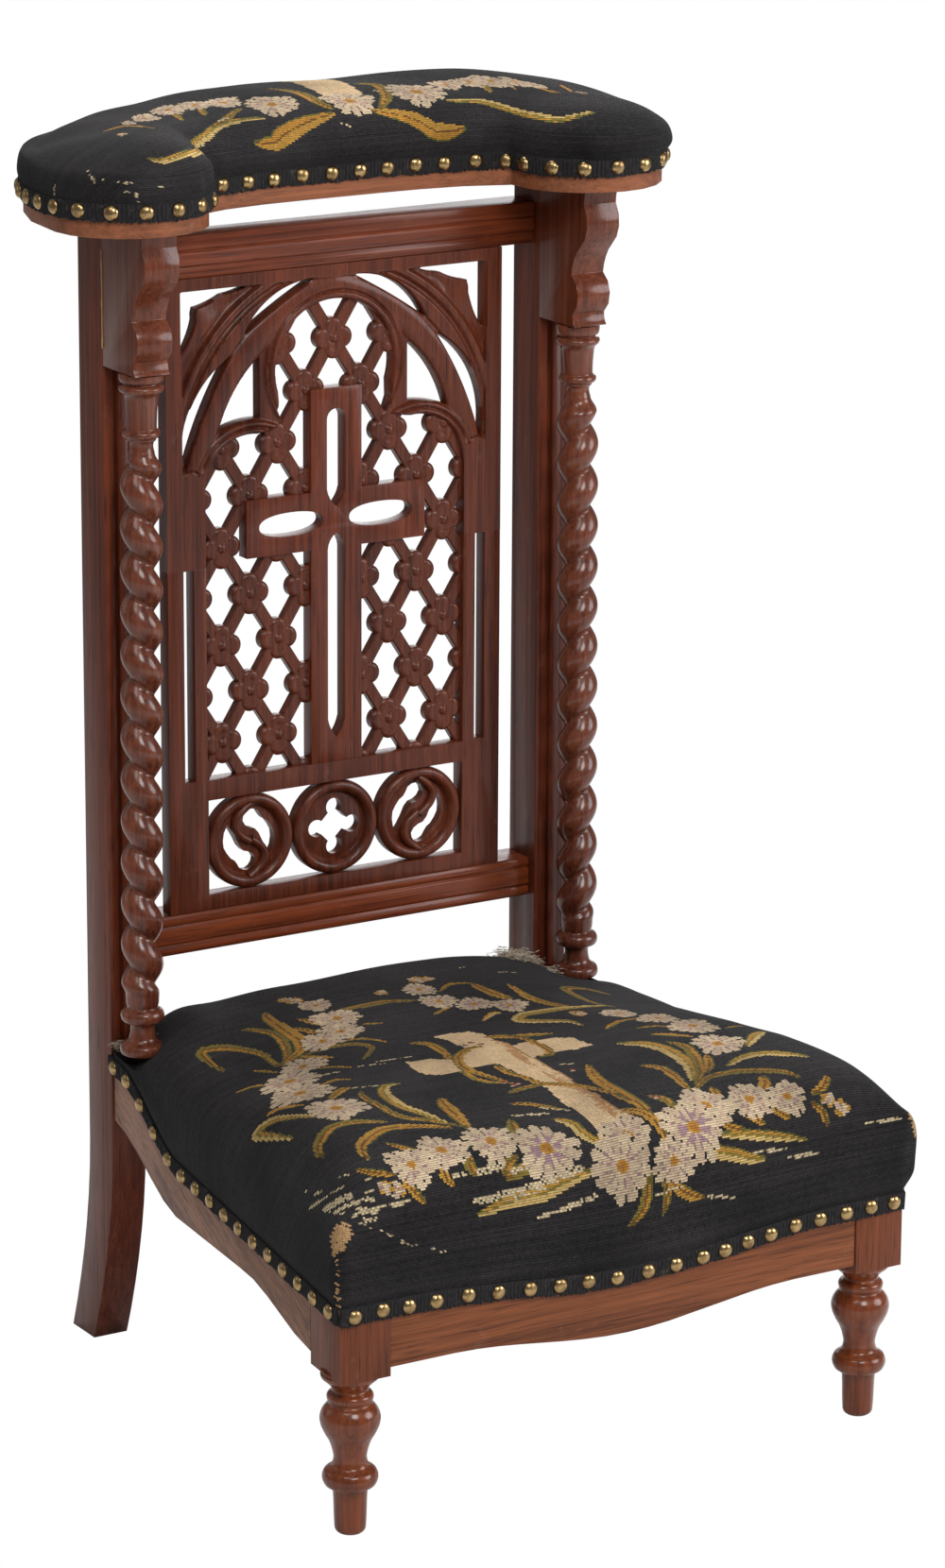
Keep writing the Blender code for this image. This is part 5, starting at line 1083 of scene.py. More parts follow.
# The turned leg, spun from its profile, under the square block that the rails meet
def makeLeg(side, label):
    top = legSize["top"]
    heights = np.unique(np.concatenate([np.arange(0, top, legSize["step"]), [top]]))
    radii = easedProfile([(z, d / 2) for z, d in legTurning], heights)
    profile = [(0.0, 0.0)] + [(r * mm, z * mm) for z, r in zip(heights, radii)] + [(0.0, top * mm)]
    leg = spun("leg_turned_" + label, profile, legSize["sides"], 1e-6)
    leg.data.transform(Matrix.Translation(world(side * legSize["across"], legSize["deep"], 0.0)))
    smoothBy(leg, 60)
    block = nodeCopy("front_leg_" + label, "leg_block_" + label)
    with meshEdit(block.data) as work:
        bmesh.ops.bisect_plane(work, geom=work.verts[:] + work.edges[:] + work.faces[:], clear_outer=True,
                               plane_co=(0, 0, legSize["blockLow"] * mm), plane_no=(0, 0, -1))
        bmesh.ops.holes_fill(work, edges=[e for e in work.edges if e.is_boundary])
        bmesh.ops.recalc_face_normals(work, faces=work.faces)
    rounded(block, 0.0010)
    return leg, block


for side, label in ((-1, "left"), (1, "right")):
    leg, block = makeLeg(side, label)
    finished(leg, wood["oakLeg"], ["front_leg_" + label])
    finished(block, wood["oakPost"], ["front_leg_" + label])
report("columns and legs")


# Needlework covers

seatSize = {  # millimetres; s is counted forwards from the stiles' front face
    "back": 204.5, "flare": 38.0, "depth": 416.0, "sideRun": 417.73, "outer": 1.5, "stitch": 1.9, "wide": 486,
    "deep": 450, "wallRows": 42, "gimp": 14.0, "gimpLow": 167.0, "gimpWave": 13.0, "rearShoulder": 250.4,
    "frontShoulder": 242.0, "rearLow": 248.2, "bulge": 4.0, "frontCorner": 7.0,
    "rearCorner": 11.0, "middle": 36.0,
    "sideRise": [
        (0, 20), (60, 22), (83, 22), (112, 18), (158, 16), (197, 21), (245, 28), (300, 33), (370, 33),
        (416, 30)],
}


def smoothStep(value):
    value = np.clip(value, 0, 1)
    return value * value * (3 - 2 * value)


def seatHalf(s):
    return seatSize["back"] + seatSize["flare"] * s / seatSize["depth"]


# Height of the side gimp's lower edge, at a distance along the splayed side
def sideLowAlong(run):
    rise = 0.0662 * (seatSize["sideRun"] - run)
    return seatSize["gimpLow"] + rise + 35.3 * (1 - smoothStep((run - 25.0) / 110.0))


def sideGimpLow(s):
    return sideLowAlong(s * seatSize["sideRun"] / seatSize["depth"])


def frontGimpLow(x):
    wave = np.where(np.abs(x) < 190, 0.5 * (1 + np.cos(math.pi * x / 190.0)), 0.0)
    return seatSize["gimpLow"] - seatSize["gimpWave"] * wave


# Draws the square corners of a plan in to rounds; half is the half width at each place
def roundCorners(x, s, s0, s1, half, radii):
    for radius, end, sign in ((radii[0], s1, 1), (radii[1], s0, -1)):
        dx = np.abs(x) - (half - radius)
        ds = sign * (s - (end - sign * radius))
        both = (dx > 0) & (ds > 0)
        length = np.hypot(dx, ds)
        share = np.where(both, np.maximum(dx, ds) / np.where(length > 0, length, 1), 1.0)
        x = np.where(both, np.sign(x) * (half - radius + dx * share), x)
        s = np.where(both, end - sign * radius + sign * ds * share, s)
    return x, s


# Evens a grid of points by moving each towards the middle of its neighbours
def relaxed(grid, rounds, fixed):
    for _ in range(rounds):
        middle = grid.copy()
        middle[1:-1, 1:-1] = (grid[:-2, 1:-1] + grid[2:, 1:-1] + grid[1:-1, :-2] + grid[1:-1, 2:]) / 4
        grid = np.where(fixed[..., None], grid, grid * 0.4 + middle * 0.6)
    return grid


def borderMask(shape, width):
    mask = np.ones(shape, bool)
    mask[width:-width, width:-width] = False
    return mask


def evenedLoop(loop, rounds):
    for _ in range(rounds):
        loop = (np.roll(loop, 1, 0) + np.roll(loop, -1, 0) + 2 * loop) / 4
    return loop


def acrossLine(tangent):  # unit directions at right angles to a line's own
    normal = np.stack([tangent[:, 1], -tangent[:, 0]], axis=1)
    return normal / np.hypot(tangent[:, 0], tangent[:, 1])[:, None]


def centres(field):
    return (field[:-1, :-1] + field[1:, :-1] + field[:-1, 1:] + field[1:, 1:]) / 4


def ringOf(grid):
    return np.concatenate([grid[0, :-1], grid[:-1, -1], grid[-1, :0:-1], grid[:0:-1, 0]])


# A closed piece from a grid of points on top and rings under its border, painted as the canvas
def gridMesh(name, grid, under, canvas):
    rows, columns, _ = grid.shape
    index = np.arange(rows * columns).reshape(rows, columns)
    cells = np.stack([index[:-1, :-1], index[:-1, 1:], index[1:, 1:], index[1:, :-1]], axis=-1)
    faces = cells.reshape(-1, 4).tolist()
    cellCount = len(faces)
    previous = ringOf(index)
    count, total = len(previous), rows * columns
    for _ in under:
        after = np.arange(total, total + count)
        total += count
        for k in range(count):
            n = (k + 1) % count
            faces.append((int(previous[n]), int(previous[k]), int(after[k]), int(after[n])))
        previous = after
    faces.append([int(v) for v in previous])
    places = np.concatenate([grid.reshape(-1, 3)] + under) * mm
    places[:, 1] += backFace
    made = meshObject(name, places.tolist(), faces)
    data = made.data
    values = np.ones((len(data.loops), 4))
    values[:, :3] = skirtTone
    values[:cellCount * 4, :3] = np.repeat(canvas.paint.reshape(cellCount, 3), 4, axis=0)
    data.attributes.new("needlework", "FLOAT_COLOR", "CORNER").data.foreach_set("color", values.ravel())
    bare = np.zeros(len(data.polygons))
    bare[:cellCount] = canvas.bare.reshape(-1)
    data.attributes.new("bare", "FLOAT", "FACE").data.foreach_set("value", bare)
    flat = np.zeros((len(data.loops), 2))
    i, j = np.meshgrid(np.arange(columns - 1), np.arange(rows - 1))
    corners = [np.stack([i + di, j + dj], -1) for di, dj in ((0, 0), (1, 0), (1, 1), (0, 1))]
    flat[:cellCount * 4] = np.stack(corners, axis=2).reshape(-1, 2)
    data.uv_layers.new(name="stitches").data.foreach_set("uv", flat.ravel())
    data.polygons.foreach_set("use_smooth", np.ones(len(data.polygons), bool))
    data.update()
    return made


def tone(*colour):  # an sRGB colour, 0 to 255, as linear values
    return np.array([(c / 255 / 12.92) if c <= 10 else ((c / 255 + 0.055) / 1.055) ** 2.4 for c in colour])


wool = {
    "ground": tone(33, 31, 32), "cream": tone(164, 146, 121), "pale": tone(155, 136, 114),
    "pink": tone(151, 127, 111), "mauve": tone(122, 100, 95), "lilac": tone(130, 104, 108),
    "gold": tone(144, 102, 38), "olive": tone(101, 88, 38), "brown": tone(90, 61, 28),
    "moss": tone(77, 75, 36), "heart": tone(131, 88, 42), "red": tone(98, 38, 38),
    "cross": tone(174, 149, 115), "crossShade": tone(149, 112, 74),
    "canvas": tone(204, 185, 150), "tan": tone(190, 152, 108), "honey": tone(142, 106, 44),
    "straw": tone(158, 134, 84),
}
skirtTone = (0.012, 0.011, 0.012)
leafTones = [("gold", "olive", "brown"), ("gold", "honey", "brown"), ("honey", "straw", "olive")]


# The needlework's cells, at their places on the stretched canvas in millimetres
class Canvas:

    def __init__(self, across, along, places, seed):
        self.x, self.y, self.places = across, along, places
        self.rng = np.random.default_rng(seed)
        self.paint = np.empty(across.shape + (3,))
        self.paint[:] = wool["ground"]
        faded = 0.88 + 0.26 * np.sin(across / 31.0 + np.sin(along / 23.0)) * np.sin(along / 41.0 + 1.3)
        rows = 0.13 * self.rng.standard_normal(across.shape[0])[:, None]
        cells = 0.14 * self.rng.standard_normal(across.shape)
        self.paint *= np.clip(faded + rows + cells, 0.4, 2.2)[..., None]
        self.bare = np.zeros(across.shape)

    def near(self, x, y, reach):
        return np.nonzero((np.abs(self.x - x) < reach) & (np.abs(self.y - y) < reach))

    def fill(self, where, mask, colour, spread=0.10):
        rows, columns = where[0][mask], where[1][mask]
        if len(rows):
            shade = 1 + spread * self.rng.standard_normal(len(rows))
            self.paint[rows, columns] = np.asarray(colour) * np.clip(shade, 0.6, 1.4)[:, None]

    def daisy(self, x, y, size, petals=13, spin=0.0, tint="cream", lilac=False):
        where = self.near(x, y, size * 1.2)
        dx, dy = self.x[where] - x, self.y[where] - y
        distance = np.hypot(dx, dy)
        angle = np.arctan2(dy, dx) + spin
        wobble = 1 + 0.10 * np.sin(3 * angle + x) + 0.06 * np.sin(5 * angle + y)
        turn = angle * petals / math.tau
        fromMiddle = np.abs(turn - np.round(turn)) * 2
        body = distance < size * wobble * (1.02 - 0.17 * fromMiddle ** 2.6)
        self.fill(where, body, wool[tint])
        whole = np.round(turn).astype(int)
        self.fill(where, body & (whole % 3 == 1), wool["pale"])
        self.fill(where, body & (whole % 4 == 2) & (distance < size * 0.55), wool["pink"])
        between = body & (distance > size * 0.34) & (distance < size * 0.70)
        self.fill(where, between & (fromMiddle > 0.78), wool["mauve"])
        self.fill(where, body & (fromMiddle > 0.82) & (distance > size * 0.80), wool["ground"])
        if lilac:
            self.fill(where, body & (distance < size * 0.50) & (whole % 2 == 0), wool["lilac"])
        self.fill(where, distance < size * 0.21, wool["gold"] if size > 12 else wool["heart"])
        self.fill(where, distance < size * 0.10, wool["heart"])

    # A strap leaf along a smooth line through its points, shaded in two tones of wool
    def leaf(self, width, kind, points):
        light, dark, edge = (wool[k] for k in leafTones[kind])
        line = np.array([points[0]] + points + [points[-1]], float)
        steps = 12
        path = []
        for k in range(1, len(line) - 2):
            for t in np.arange(steps) / steps:
                p0, p1, p2, p3 = line[k - 1:k + 3]
                path.append(0.5 * (2 * p1 + (p2 - p0) * t + (2 * p0 - 5 * p1 + 4 * p2 - p3) * t * t
                                   + (3 * p1 - p0 - 3 * p2 + p3) * t ** 3))
        path = np.array(path + [line[-1]])
        low, high = path.min(axis=0) - width, path.max(axis=0) + width
        where = np.nonzero((self.x > low[0]) & (self.x < high[0]) & (self.y > low[1]) & (self.y < high[1]))
        px, py = self.x[where], self.y[where]
        if not len(px):
            return
        apart = np.hypot(px[:, None] - path[:, 0], py[:, None] - path[:, 1])
        nearest = apart.argmin(axis=1)
        gap = apart[np.arange(len(px)), nearest]
        t = nearest / (len(path) - 1)
        wide = width / 2 * np.sin(math.pi * (0.06 + 0.90 * t)) ** 0.7 + 0.35
        ahead, behind = np.clip(nearest + 1, 0, len(path) - 1), np.clip(nearest - 1, 0, len(path) - 1)
        tx, ty = (path[ahead] - path[behind]).T
        side = tx * (py - path[nearest, 1]) - ty * (px - path[nearest, 0])
        inside = gap < wide
        self.fill(where, inside, light)
        self.fill(where, inside & (side > 0), dark)
        if width > 5:
            self.fill(where, inside & (gap < 0.95), edge)
            self.fill(where, inside & (gap > wide - 1.2) & (side < 0), wool["moss"])

    def polygon(self, loop, colour, spread=0.08):
        points = np.array(loop)
        middle = (points.min(axis=0) + points.max(axis=0)) / 2
        where = self.near(middle[0], middle[1], np.ptp(points, axis=0).max() / 2 + 3)
        self.fill(where, distanceTo([loop], self.x[where], self.y[where]) < 0, colour, spread)

    # Takes the wool off these cells, so that the canvas's own mesh shows
    def strip(self, where, colour, between):
        odd = (where[0] + where[1]) % 2 == 0
        self.fill(where, np.ones(len(where[0]), bool), colour, 0.12)
        self.fill(where, odd, colour * between, 0.2)
        self.bare[where] = 1.0

    def spot(self, place, reach):
        apart = np.sqrt(((self.places - np.array(place)) ** 2).sum(axis=2))
        ragged = reach * (0.85 + 0.25 * np.sin(self.places[..., 2] * 1.9 + self.places[..., 0] * 0.7))
        self.strip(np.nonzero(apart < ragged), wool["tan"], 0.78)

    # Stitches worn off in a narrow run along a line on the surface
    def thread(self, width, keep, points):
        path = np.array(points, float)
        for start, end in zip(path, path[1:]):
            line = end - start
            t = np.clip(((self.places - start) @ line) / max(line @ line, 0.01), 0, 1)
            near = np.sqrt(((self.places - start - t[..., None] * line) ** 2).sum(axis=2)) < width
            self.strip(np.nonzero(near & (self.rng.random(near.shape) < keep)), wool["canvas"], 0.60)


# Shares of a span at which the crowned surface over it is evenly divided along its length
def evenly(share, span, crown, first, second):
    at = np.linspace(0, span, 1200)
    rise = crown * (1 - np.exp(-at / first)) * (1 - np.exp(-(span - at) / second))
    length = np.concatenate([[0], np.cumsum(np.hypot(np.diff(at), np.diff(rise)))])
    return np.interp(share, length / length[-1], at / span)


# Distance over the surface along one direction of the grid, from the given value at a start line
def lengthAlong(grid, axis, start, value):
    step = np.sqrt((np.diff(grid, axis=axis) ** 2).sum(axis=2))
    total = np.cumsum(step, axis=axis)
    total = np.insert(total, 0, 0, axis=axis)
    at = total[start:start + 1] if axis == 0 else total[:, start:start + 1]
    return total - at + value


# The kneeler's cover as one grid, crowned on top and with its walls down to the gimp, and its canvas places
def seatSurface():
    z = seatSize
    topColumns, topRows = int(round(z["wide"] / z["stitch"])), int(round(z["deep"] / z["stitch"]))
    columns, rows = topColumns + 2 * z["wallRows"] + 1, topRows + 2 * z["wallRows"] + 1
    gi, gj = np.meshgrid(np.arange(columns) - (columns - 1) / 2, np.arange(rows) - (rows - 1) / 2)
    overU = np.maximum(np.abs(gi) - topColumns / 2, 0)
    overV = np.maximum(np.abs(gj) - topRows / 2, 0)
    down = np.maximum(overU, overV)
    u = gi / (topColumns / 2 + down)
    v = gj / (topRows / 2 + down)
    share = down / z["wallRows"]
    s0, s1 = 0.6, z["depth"] + z["outer"]
    s = s0 + evenly((v + 1) / 2, s1 - s0, 34.0, 8.0, 15.0) * (s1 - s0)
    half = seatHalf(s) + z["outer"]
    x = (evenly((u + 1) / 2, 454.0, 28.0, 15.0, 15.0) * 2 - 1) * half
    x, s = roundCorners(x, s, s0, s1, half, (z["frontCorner"], z["rearCorner"]))
    half = seatHalf(s) + z["outer"]
    # the top: a crown that rises from the shoulder, lower at the sides, with dents where the columns press
    shoulder = z["rearShoulder"] + (z["frontShoulder"] - z["rearShoulder"]) * s / z["depth"]
    sideIn, rearIn, frontIn = half - np.abs(x), s - s0, s1 - s
    sideRise = np.interp(s, *zip(*z["sideRise"])) / 0.86
    middleRise = z["middle"] - 3.0 * smoothStep((s - 250) / 160)
    towards = smoothStep((sideIn - 20) / 120)
    crown = sideRise * (1 - towards) + middleRise * towards
    eased = (1 - np.exp(-sideIn / 15.0)) * (1 - np.exp(-rearIn / 8.0)) * (1 - np.exp(-frontIn / 15.0))
    height = shoulder + crown * np.maximum(eased, 0)
    wide, deep = np.where(x > 0, 30.0, 21.0), np.where(x > 0, 34.0, 27.0)
    dent = 17.0 * np.exp(-(((np.abs(x) - 195.0) / wide) ** 2 + ((s - 33.0) / deep) ** 2))
    dent += 7.0 * np.exp(-(((x - 160.0) / 40.0) ** 2 + ((s - 62.0) / 52.0) ** 2))
    dent -= 7.0 * np.exp(-(((x + 160.0) / 26.0) ** 2 + ((s - 30.0) / 40.0) ** 2))
    height -= dent * (down == 0)
    height += 1.2 * np.sin(x / 47.0 + 1.0) * np.sin(s / 61.0) + 0.8 * np.sin(x / 23.0 + s / 31.0)
    # the walls: out over a slight bulge and down to the skirt
    onFront = (overV >= overU) & (gj > 0)
    onRear = (overV > overU) & (gj < 0)
    low = np.where(onRear, z["rearLow"], np.where(onFront, frontGimpLow(x), sideGimpLow(s)) + 1.0)
    blend = smoothStep((np.abs(u) - 0.90) / 0.10) * smoothStep((v - 0.90) / 0.10)
    low = np.where(gj > 0, low * (1 - blend) + (z["gimpLow"] + 1.0) * blend, low)
    wall = down > 0
    height = np.where(wall, shoulder + (low - shoulder) * share ** 1.05, height)
    above = height - low
    fading = 1 - np.clip(above / np.maximum(shoulder - low, 1), 0, 1) ** 5
    out = z["bulge"] * smoothStep((above - 10) / 16) * fading * wall
    nx = np.where(overU >= overV, np.sign(gi), 0.0)
    ns = np.where(onRear, 0.0, np.where(overV > overU, np.sign(gj), 0.0))
    lean = 1.2 + 1.9 * smoothStep((s - 230) / 150) * (x > 0)
    puff = (x > 0) * 5.0 * smoothStep((s - 240) / 140) * smoothStep((np.abs(x) - 120) / 110)
    puff = puff * smoothStep((height - 196) / 40)
    grid = np.stack([x + nx * out * lean + puff, -(s + ns * out), height], axis=-1)
    grid = relaxed(grid, 14, borderMask(x.shape, 2))
    midRow, midColumn = rows // 2, columns // 2
    canvasX = lengthAlong(grid, 1, midColumn, 0.0)
    canvasY = lengthAlong(grid, 0, midRow, -grid[midRow, midColumn, 1])
    return grid, canvasX, canvasY


def paintedCanvas(surface, paintWith, seed):
    grid, canvasX, canvasY = surface
    canvas = Canvas(centres(canvasX), centres(canvasY), centres(grid), seed)
    paintWith(canvas)
    return canvas


def makeSeatCover(paintWith):
    surface = seatSurface()
    grid = surface[0]
    border = ringOf(grid)
    x, s, low = border[:, 0], -border[:, 1], border[:, 2]
    inwardX = np.where(np.abs(x) > seatHalf(s) - 8, -np.sign(x), 0.0)
    inwardS = np.where(s > 408, -1.0, 0.0)
    inner = np.stack([x + inwardX * 1.2, -(s + inwardS * 1.2), low], axis=1)
    railTop = np.where(s > 404, frontGimpLow(x), sideGimpLow(s)) + seatSize["gimp"]
    raised = inner.copy()
    raised[:, 2] = np.maximum(railTop + 4.0, low + 0.2)
    rings = [inner, raised]
    for scale in (0.93, 0.7, 0.4, 0.1):
        ring = raised.copy()
        ring[:, 0] *= scale
        ring[:, 1] = -210 + (raised[:, 1] + 210) * scale
        ring[:, 2] = sideGimpLow(-ring[:, 1]) + 18.0
        rings.append(ring)
    return gridMesh("seat_needlework", grid, rings, paintedCanvas(surface, paintWith, 3))


armSize = {  # millimetres
    "lobe": (197.0, -28.0, 60.0), "wide": 257.0, "deep": 193.0, "across": 560, "depth": 175, "wallRows": 26,
    "skin": 1.5, "shoulder": 936.0, "top": 958.5, "low": 903.0, "gimpLow": 901.6, "bulge": 7.0,
}


# Half the armrest's plan from the middle of the front to the middle of the rear
def armOutline(grow):
    lobeX, lobeY, radius = armSize["lobe"]
    radius += grow
    notch = lobeX - radius
    side = [(x, -2.0 - 18.0 * (x / notch) ** 4 - grow) for x in np.linspace(0, notch, 14)]
    for a in np.linspace(180, 360, 48)[1:]:
        side.append((lobeX + radius * math.cos(math.radians(a)), lobeY + radius * math.sin(math.radians(a))))
    wide, deep = armSize["wide"] + grow, armSize["deep"] + grow
    for a in np.linspace(0, 90, 60)[1:]:
        c, k = math.cos(math.radians(a)), math.sin(math.radians(a))
        side.append((wide * max(c, 0) ** (2 / 2.3) if a < 90 else 0.0, lobeY + deep * k ** (2 / 2.3)))
    return side


def runOf(points):  # distance in plan from the first point of a line to each
    return np.concatenate([[0], np.cumsum(np.hypot(*np.diff(points[:, :2], axis=0).T))])


def alongLine(points, count):
    run = runOf(points)
    target = np.linspace(0, 1, count) * run[-1]
    return np.stack([np.interp(target, run, points[:, k]) for k in (0, 1)], axis=1)


# The armrest's outline as four lines, split where the ends begin and finish
def armSides(grow, count, endCount):
    points = np.array(armOutline(grow))
    lobeX, lobeY, _ = armSize["lobe"]
    angle = np.degrees(np.arctan2(points[:, 1] - lobeY, points[:, 0] - lobeX))
    first = next(k for k in range(14, len(points)) if points[k][0] > lobeX and angle[k] > -62)
    last = next(k for k in range(first, len(points)) if points[k][1] > 38)
    front, end, rear = points[:first + 1], points[first:last + 1], points[last:]
    frontLine = np.concatenate([front[::-1] * (-1, 1), front[1:]])
    rearLine = np.concatenate([rear * (-1, 1), rear[::-1][1:]])
    return (alongLine(frontLine, count), alongLine(end, endCount), alongLine(rearLine, count),
            alongLine(end * (-1, 1), endCount))


# The pad over the armrest: a patch between its front, ends and rear, with walls round it
def armSurface():
    z, wallRows, stitch = armSize, armSize["wallRows"], seatSize["stitch"]
    columns, rows = int(round(z["across"] / stitch)), int(round(z["depth"] / stitch))
    front, right, rear, left = armSides(z["skin"], columns + 1, rows + 1)
    u = np.linspace(0, 1, columns + 1)[None, :, None]
    v = np.linspace(0, 1, rows + 1)[:, None, None]
    patch = (1 - v) * front[None] + v * rear[None] + (1 - u) * left[:, None] + u * right[:, None]
    patch = patch - (1 - u) * (1 - v) * front[0] - u * (1 - v) * front[-1]
    patch = patch - (1 - u) * v * rear[0] - u * v * rear[-1]
    fixed = borderMask(patch.shape[:2], 1)
    patch = relaxed(patch, 60, fixed)
    x, y = patch[..., 0], patch[..., 1]
    loop = ringOf(patch)
    inward = -distanceTo([[tuple(p) for p in loop[::3]]], x, y)
    top = z["top"] - 6.5 * smoothStep((np.abs(x) - 150) / 90) + 2.5 * np.exp(-((y - 85) / 50) ** 2)
    rise = (1 - np.exp(-np.maximum(inward, 0) / 15.0)) / (1 - math.exp(-4.5))
    height = z["shoulder"] + (top - z["shoulder"]) * rise
    height = relaxed(height[..., None], 130, fixed)[..., 0]
    height += 0.6 * np.sin(x / 29.0) * np.sin(y / 33.0 + 1.0) + 0.4 * np.sin(x / 13.0 + y / 17.0)
    back = smoothStep((y + 20) / 70) * np.clip(inward / 12.0, 0, 1)
    height += back * (4.0 * smoothStep((x - 60) / 120) - 7.0 * smoothStep((-x - 10) / 170))
    total = np.zeros((rows + 1 + 2 * wallRows, columns + 1 + 2 * wallRows, 3))
    total[wallRows:-wallRows, wallRows:-wallRows] = np.stack([x, y, height], axis=-1)
    rowsAll, columnsAll = total.shape[:2]
    gi, gj = np.meshgrid(np.arange(columnsAll), np.arange(rowsAll))
    overU = np.maximum(np.maximum(wallRows - gi, gi - (columnsAll - 1 - wallRows)), 0)
    overV = np.maximum(np.maximum(wallRows - gj, gj - (rowsAll - 1 - wallRows)), 0)
    down = np.maximum(overU, overV)
    # each wall cell comes from the border place that its ring's share points at
    su = (gi - (columnsAll - 1) / 2) / (columns / 2 + down) * (columns / 2) + columns / 2
    sv = (gj - (rowsAll - 1) / 2) / (rows / 2 + down) * (rows / 2) + rows / 2
    su, sv = np.clip(su, 0, columns), np.clip(sv, 0, rows)
    i0, j0 = np.clip(su.astype(int), 0, columns - 1), np.clip(sv.astype(int), 0, rows - 1)
    a, b = (su - i0)[..., None], (sv - j0)[..., None]
    edge = ((1 - a) * (1 - b) * patch[j0, i0] + a * (1 - b) * patch[j0, i0 + 1]
            + (1 - a) * b * patch[j0 + 1, i0] + a * b * patch[j0 + 1, i0 + 1])
    tangent = np.gradient(np.concatenate([loop[-2:], loop, loop[:2]]), axis=0)[2:-2]
    normal = np.stack([tangent[:, 1], -tangent[:, 0]], axis=1)
    normal /= np.hypot(normal[:, 0], normal[:, 1])[:, None] + 1e-9
    normal = evenedLoop(normal, 30)
    normal /= np.hypot(normal[:, 0], normal[:, 1])[:, None] + 1e-9
    tree = KDTree(len(loop))
    for k, point in enumerate(loop):
        tree.insert((point[0], point[1], 0.0), k)
    tree.balance()
    for j, i in zip(*np.nonzero(down > 0)):
        _, k, _ = tree.find((edge[j, i, 0], edge[j, i, 1], 0.0))
        t = down[j, i] / wallRows
        out = z["bulge"] * float(smoothStep((33.0 * (1 - t) - 8.0) / 10.0)) * (1 - (1 - t) ** 5)
        out *= 1.0 if loop[k][0] > -225 else 0.45
        out *= 0.35 if loop[k][1] < 20 and 115 < abs(loop[k][0]) < 165 else 1.0
        total[j, i] = (edge[j, i, 0] + normal[k, 0] * out, edge[j, i, 1] + normal[k, 1] * out,
                       z["shoulder"] + (z["low"] - z["shoulder"]) * t)
    total = relaxed(total, 10, borderMask(total.shape[:2], 2))
    total = total[::-1]  # rows were laid from front to rear: turned, the faces look outwards
    return total, lengthAlong(total, 1, columnsAll // 2, 0.0), -lengthAlong(total, 0, rowsAll // 2, 0.0)


def makeArmCover(paintWith):
    surface = armSurface()
    border = ringOf(surface[0])
    tangent = evenedLoop(np.roll(border[:, :2], -1, axis=0) - np.roll(border[:, :2], 1, axis=0), 12)
    inward = -acrossLine(tangent)
    if float(((border[:, :2] + inward)[:, 0] ** 2).sum()) > float((border[:, 0] ** 2).sum()):
        inward = -inward
    rings = []
    for inset, height in ((0.7, 903.2), (2.2, 913.4), (9.0, 913.5), (24.0, 913.6)):
        rings.append(np.column_stack([border[:, :2] + inward * inset, np.full(len(border), height)]))
    return gridMesh("armrest_needlework", surface[0], rings, paintedCanvas(surface, paintWith, 4))


# Motifs in canvas millimetres: daisies (x, y, size, tint) and leaves (width, tones, line)
seatDaisies = [
    (-71, 81, 12.9, "c"), (-73, 117, 19.3, "c"), (-85, 144, 17.4, "c"), (-105, 151, 17.4, "c"),
    (-140, 182, 18.1, "c"), (-163, 203, 22.4, "c"), (-174, 239, 23.7, "c"), (-174, 293, 22.7, "c"),
    (-141, 387, 19.0, "c"), (-101, 387, 20.4, "c"), (-171, 396, 18.8, "c"), (15, 91, 13.2, "c"),
    (15, 121, 14.8, "c"), (35, 140, 14.4, "l"), (57, 157, 14.3, "l"), (-199, 410, 5.4, "b"),
    (-190, 414, 5.9, "b"), (25, 70, 6.3, "b"), (34, 72, 4.9, "b"), (-85, 56, 4.7, "b"), (-79, 62, 6.4, "b"),
    (-15, 85, 4.9, "b"), (127, 201, 13.8, "c"), (144, 229, 15.9, "c"), (155, 262, 19.3, "c"),
    (148, 307, 19.9, "c"), (148, 401, 16.0, "c"), (118, 395, 18.7, "c"), (80, 393, 21.6, "c"),
    (61, 410, 25.8, "l"), (-62, 403, 24.9, "l"), (5, 406, 20.5, "c"), (37, 432, 18.7, "c"),
    (-7, 428, 25.3, "c"), (180, 412, 5.7, "b"), (189, 420, 6.1, "b"), (96, 193, 6.3, "b"),
]
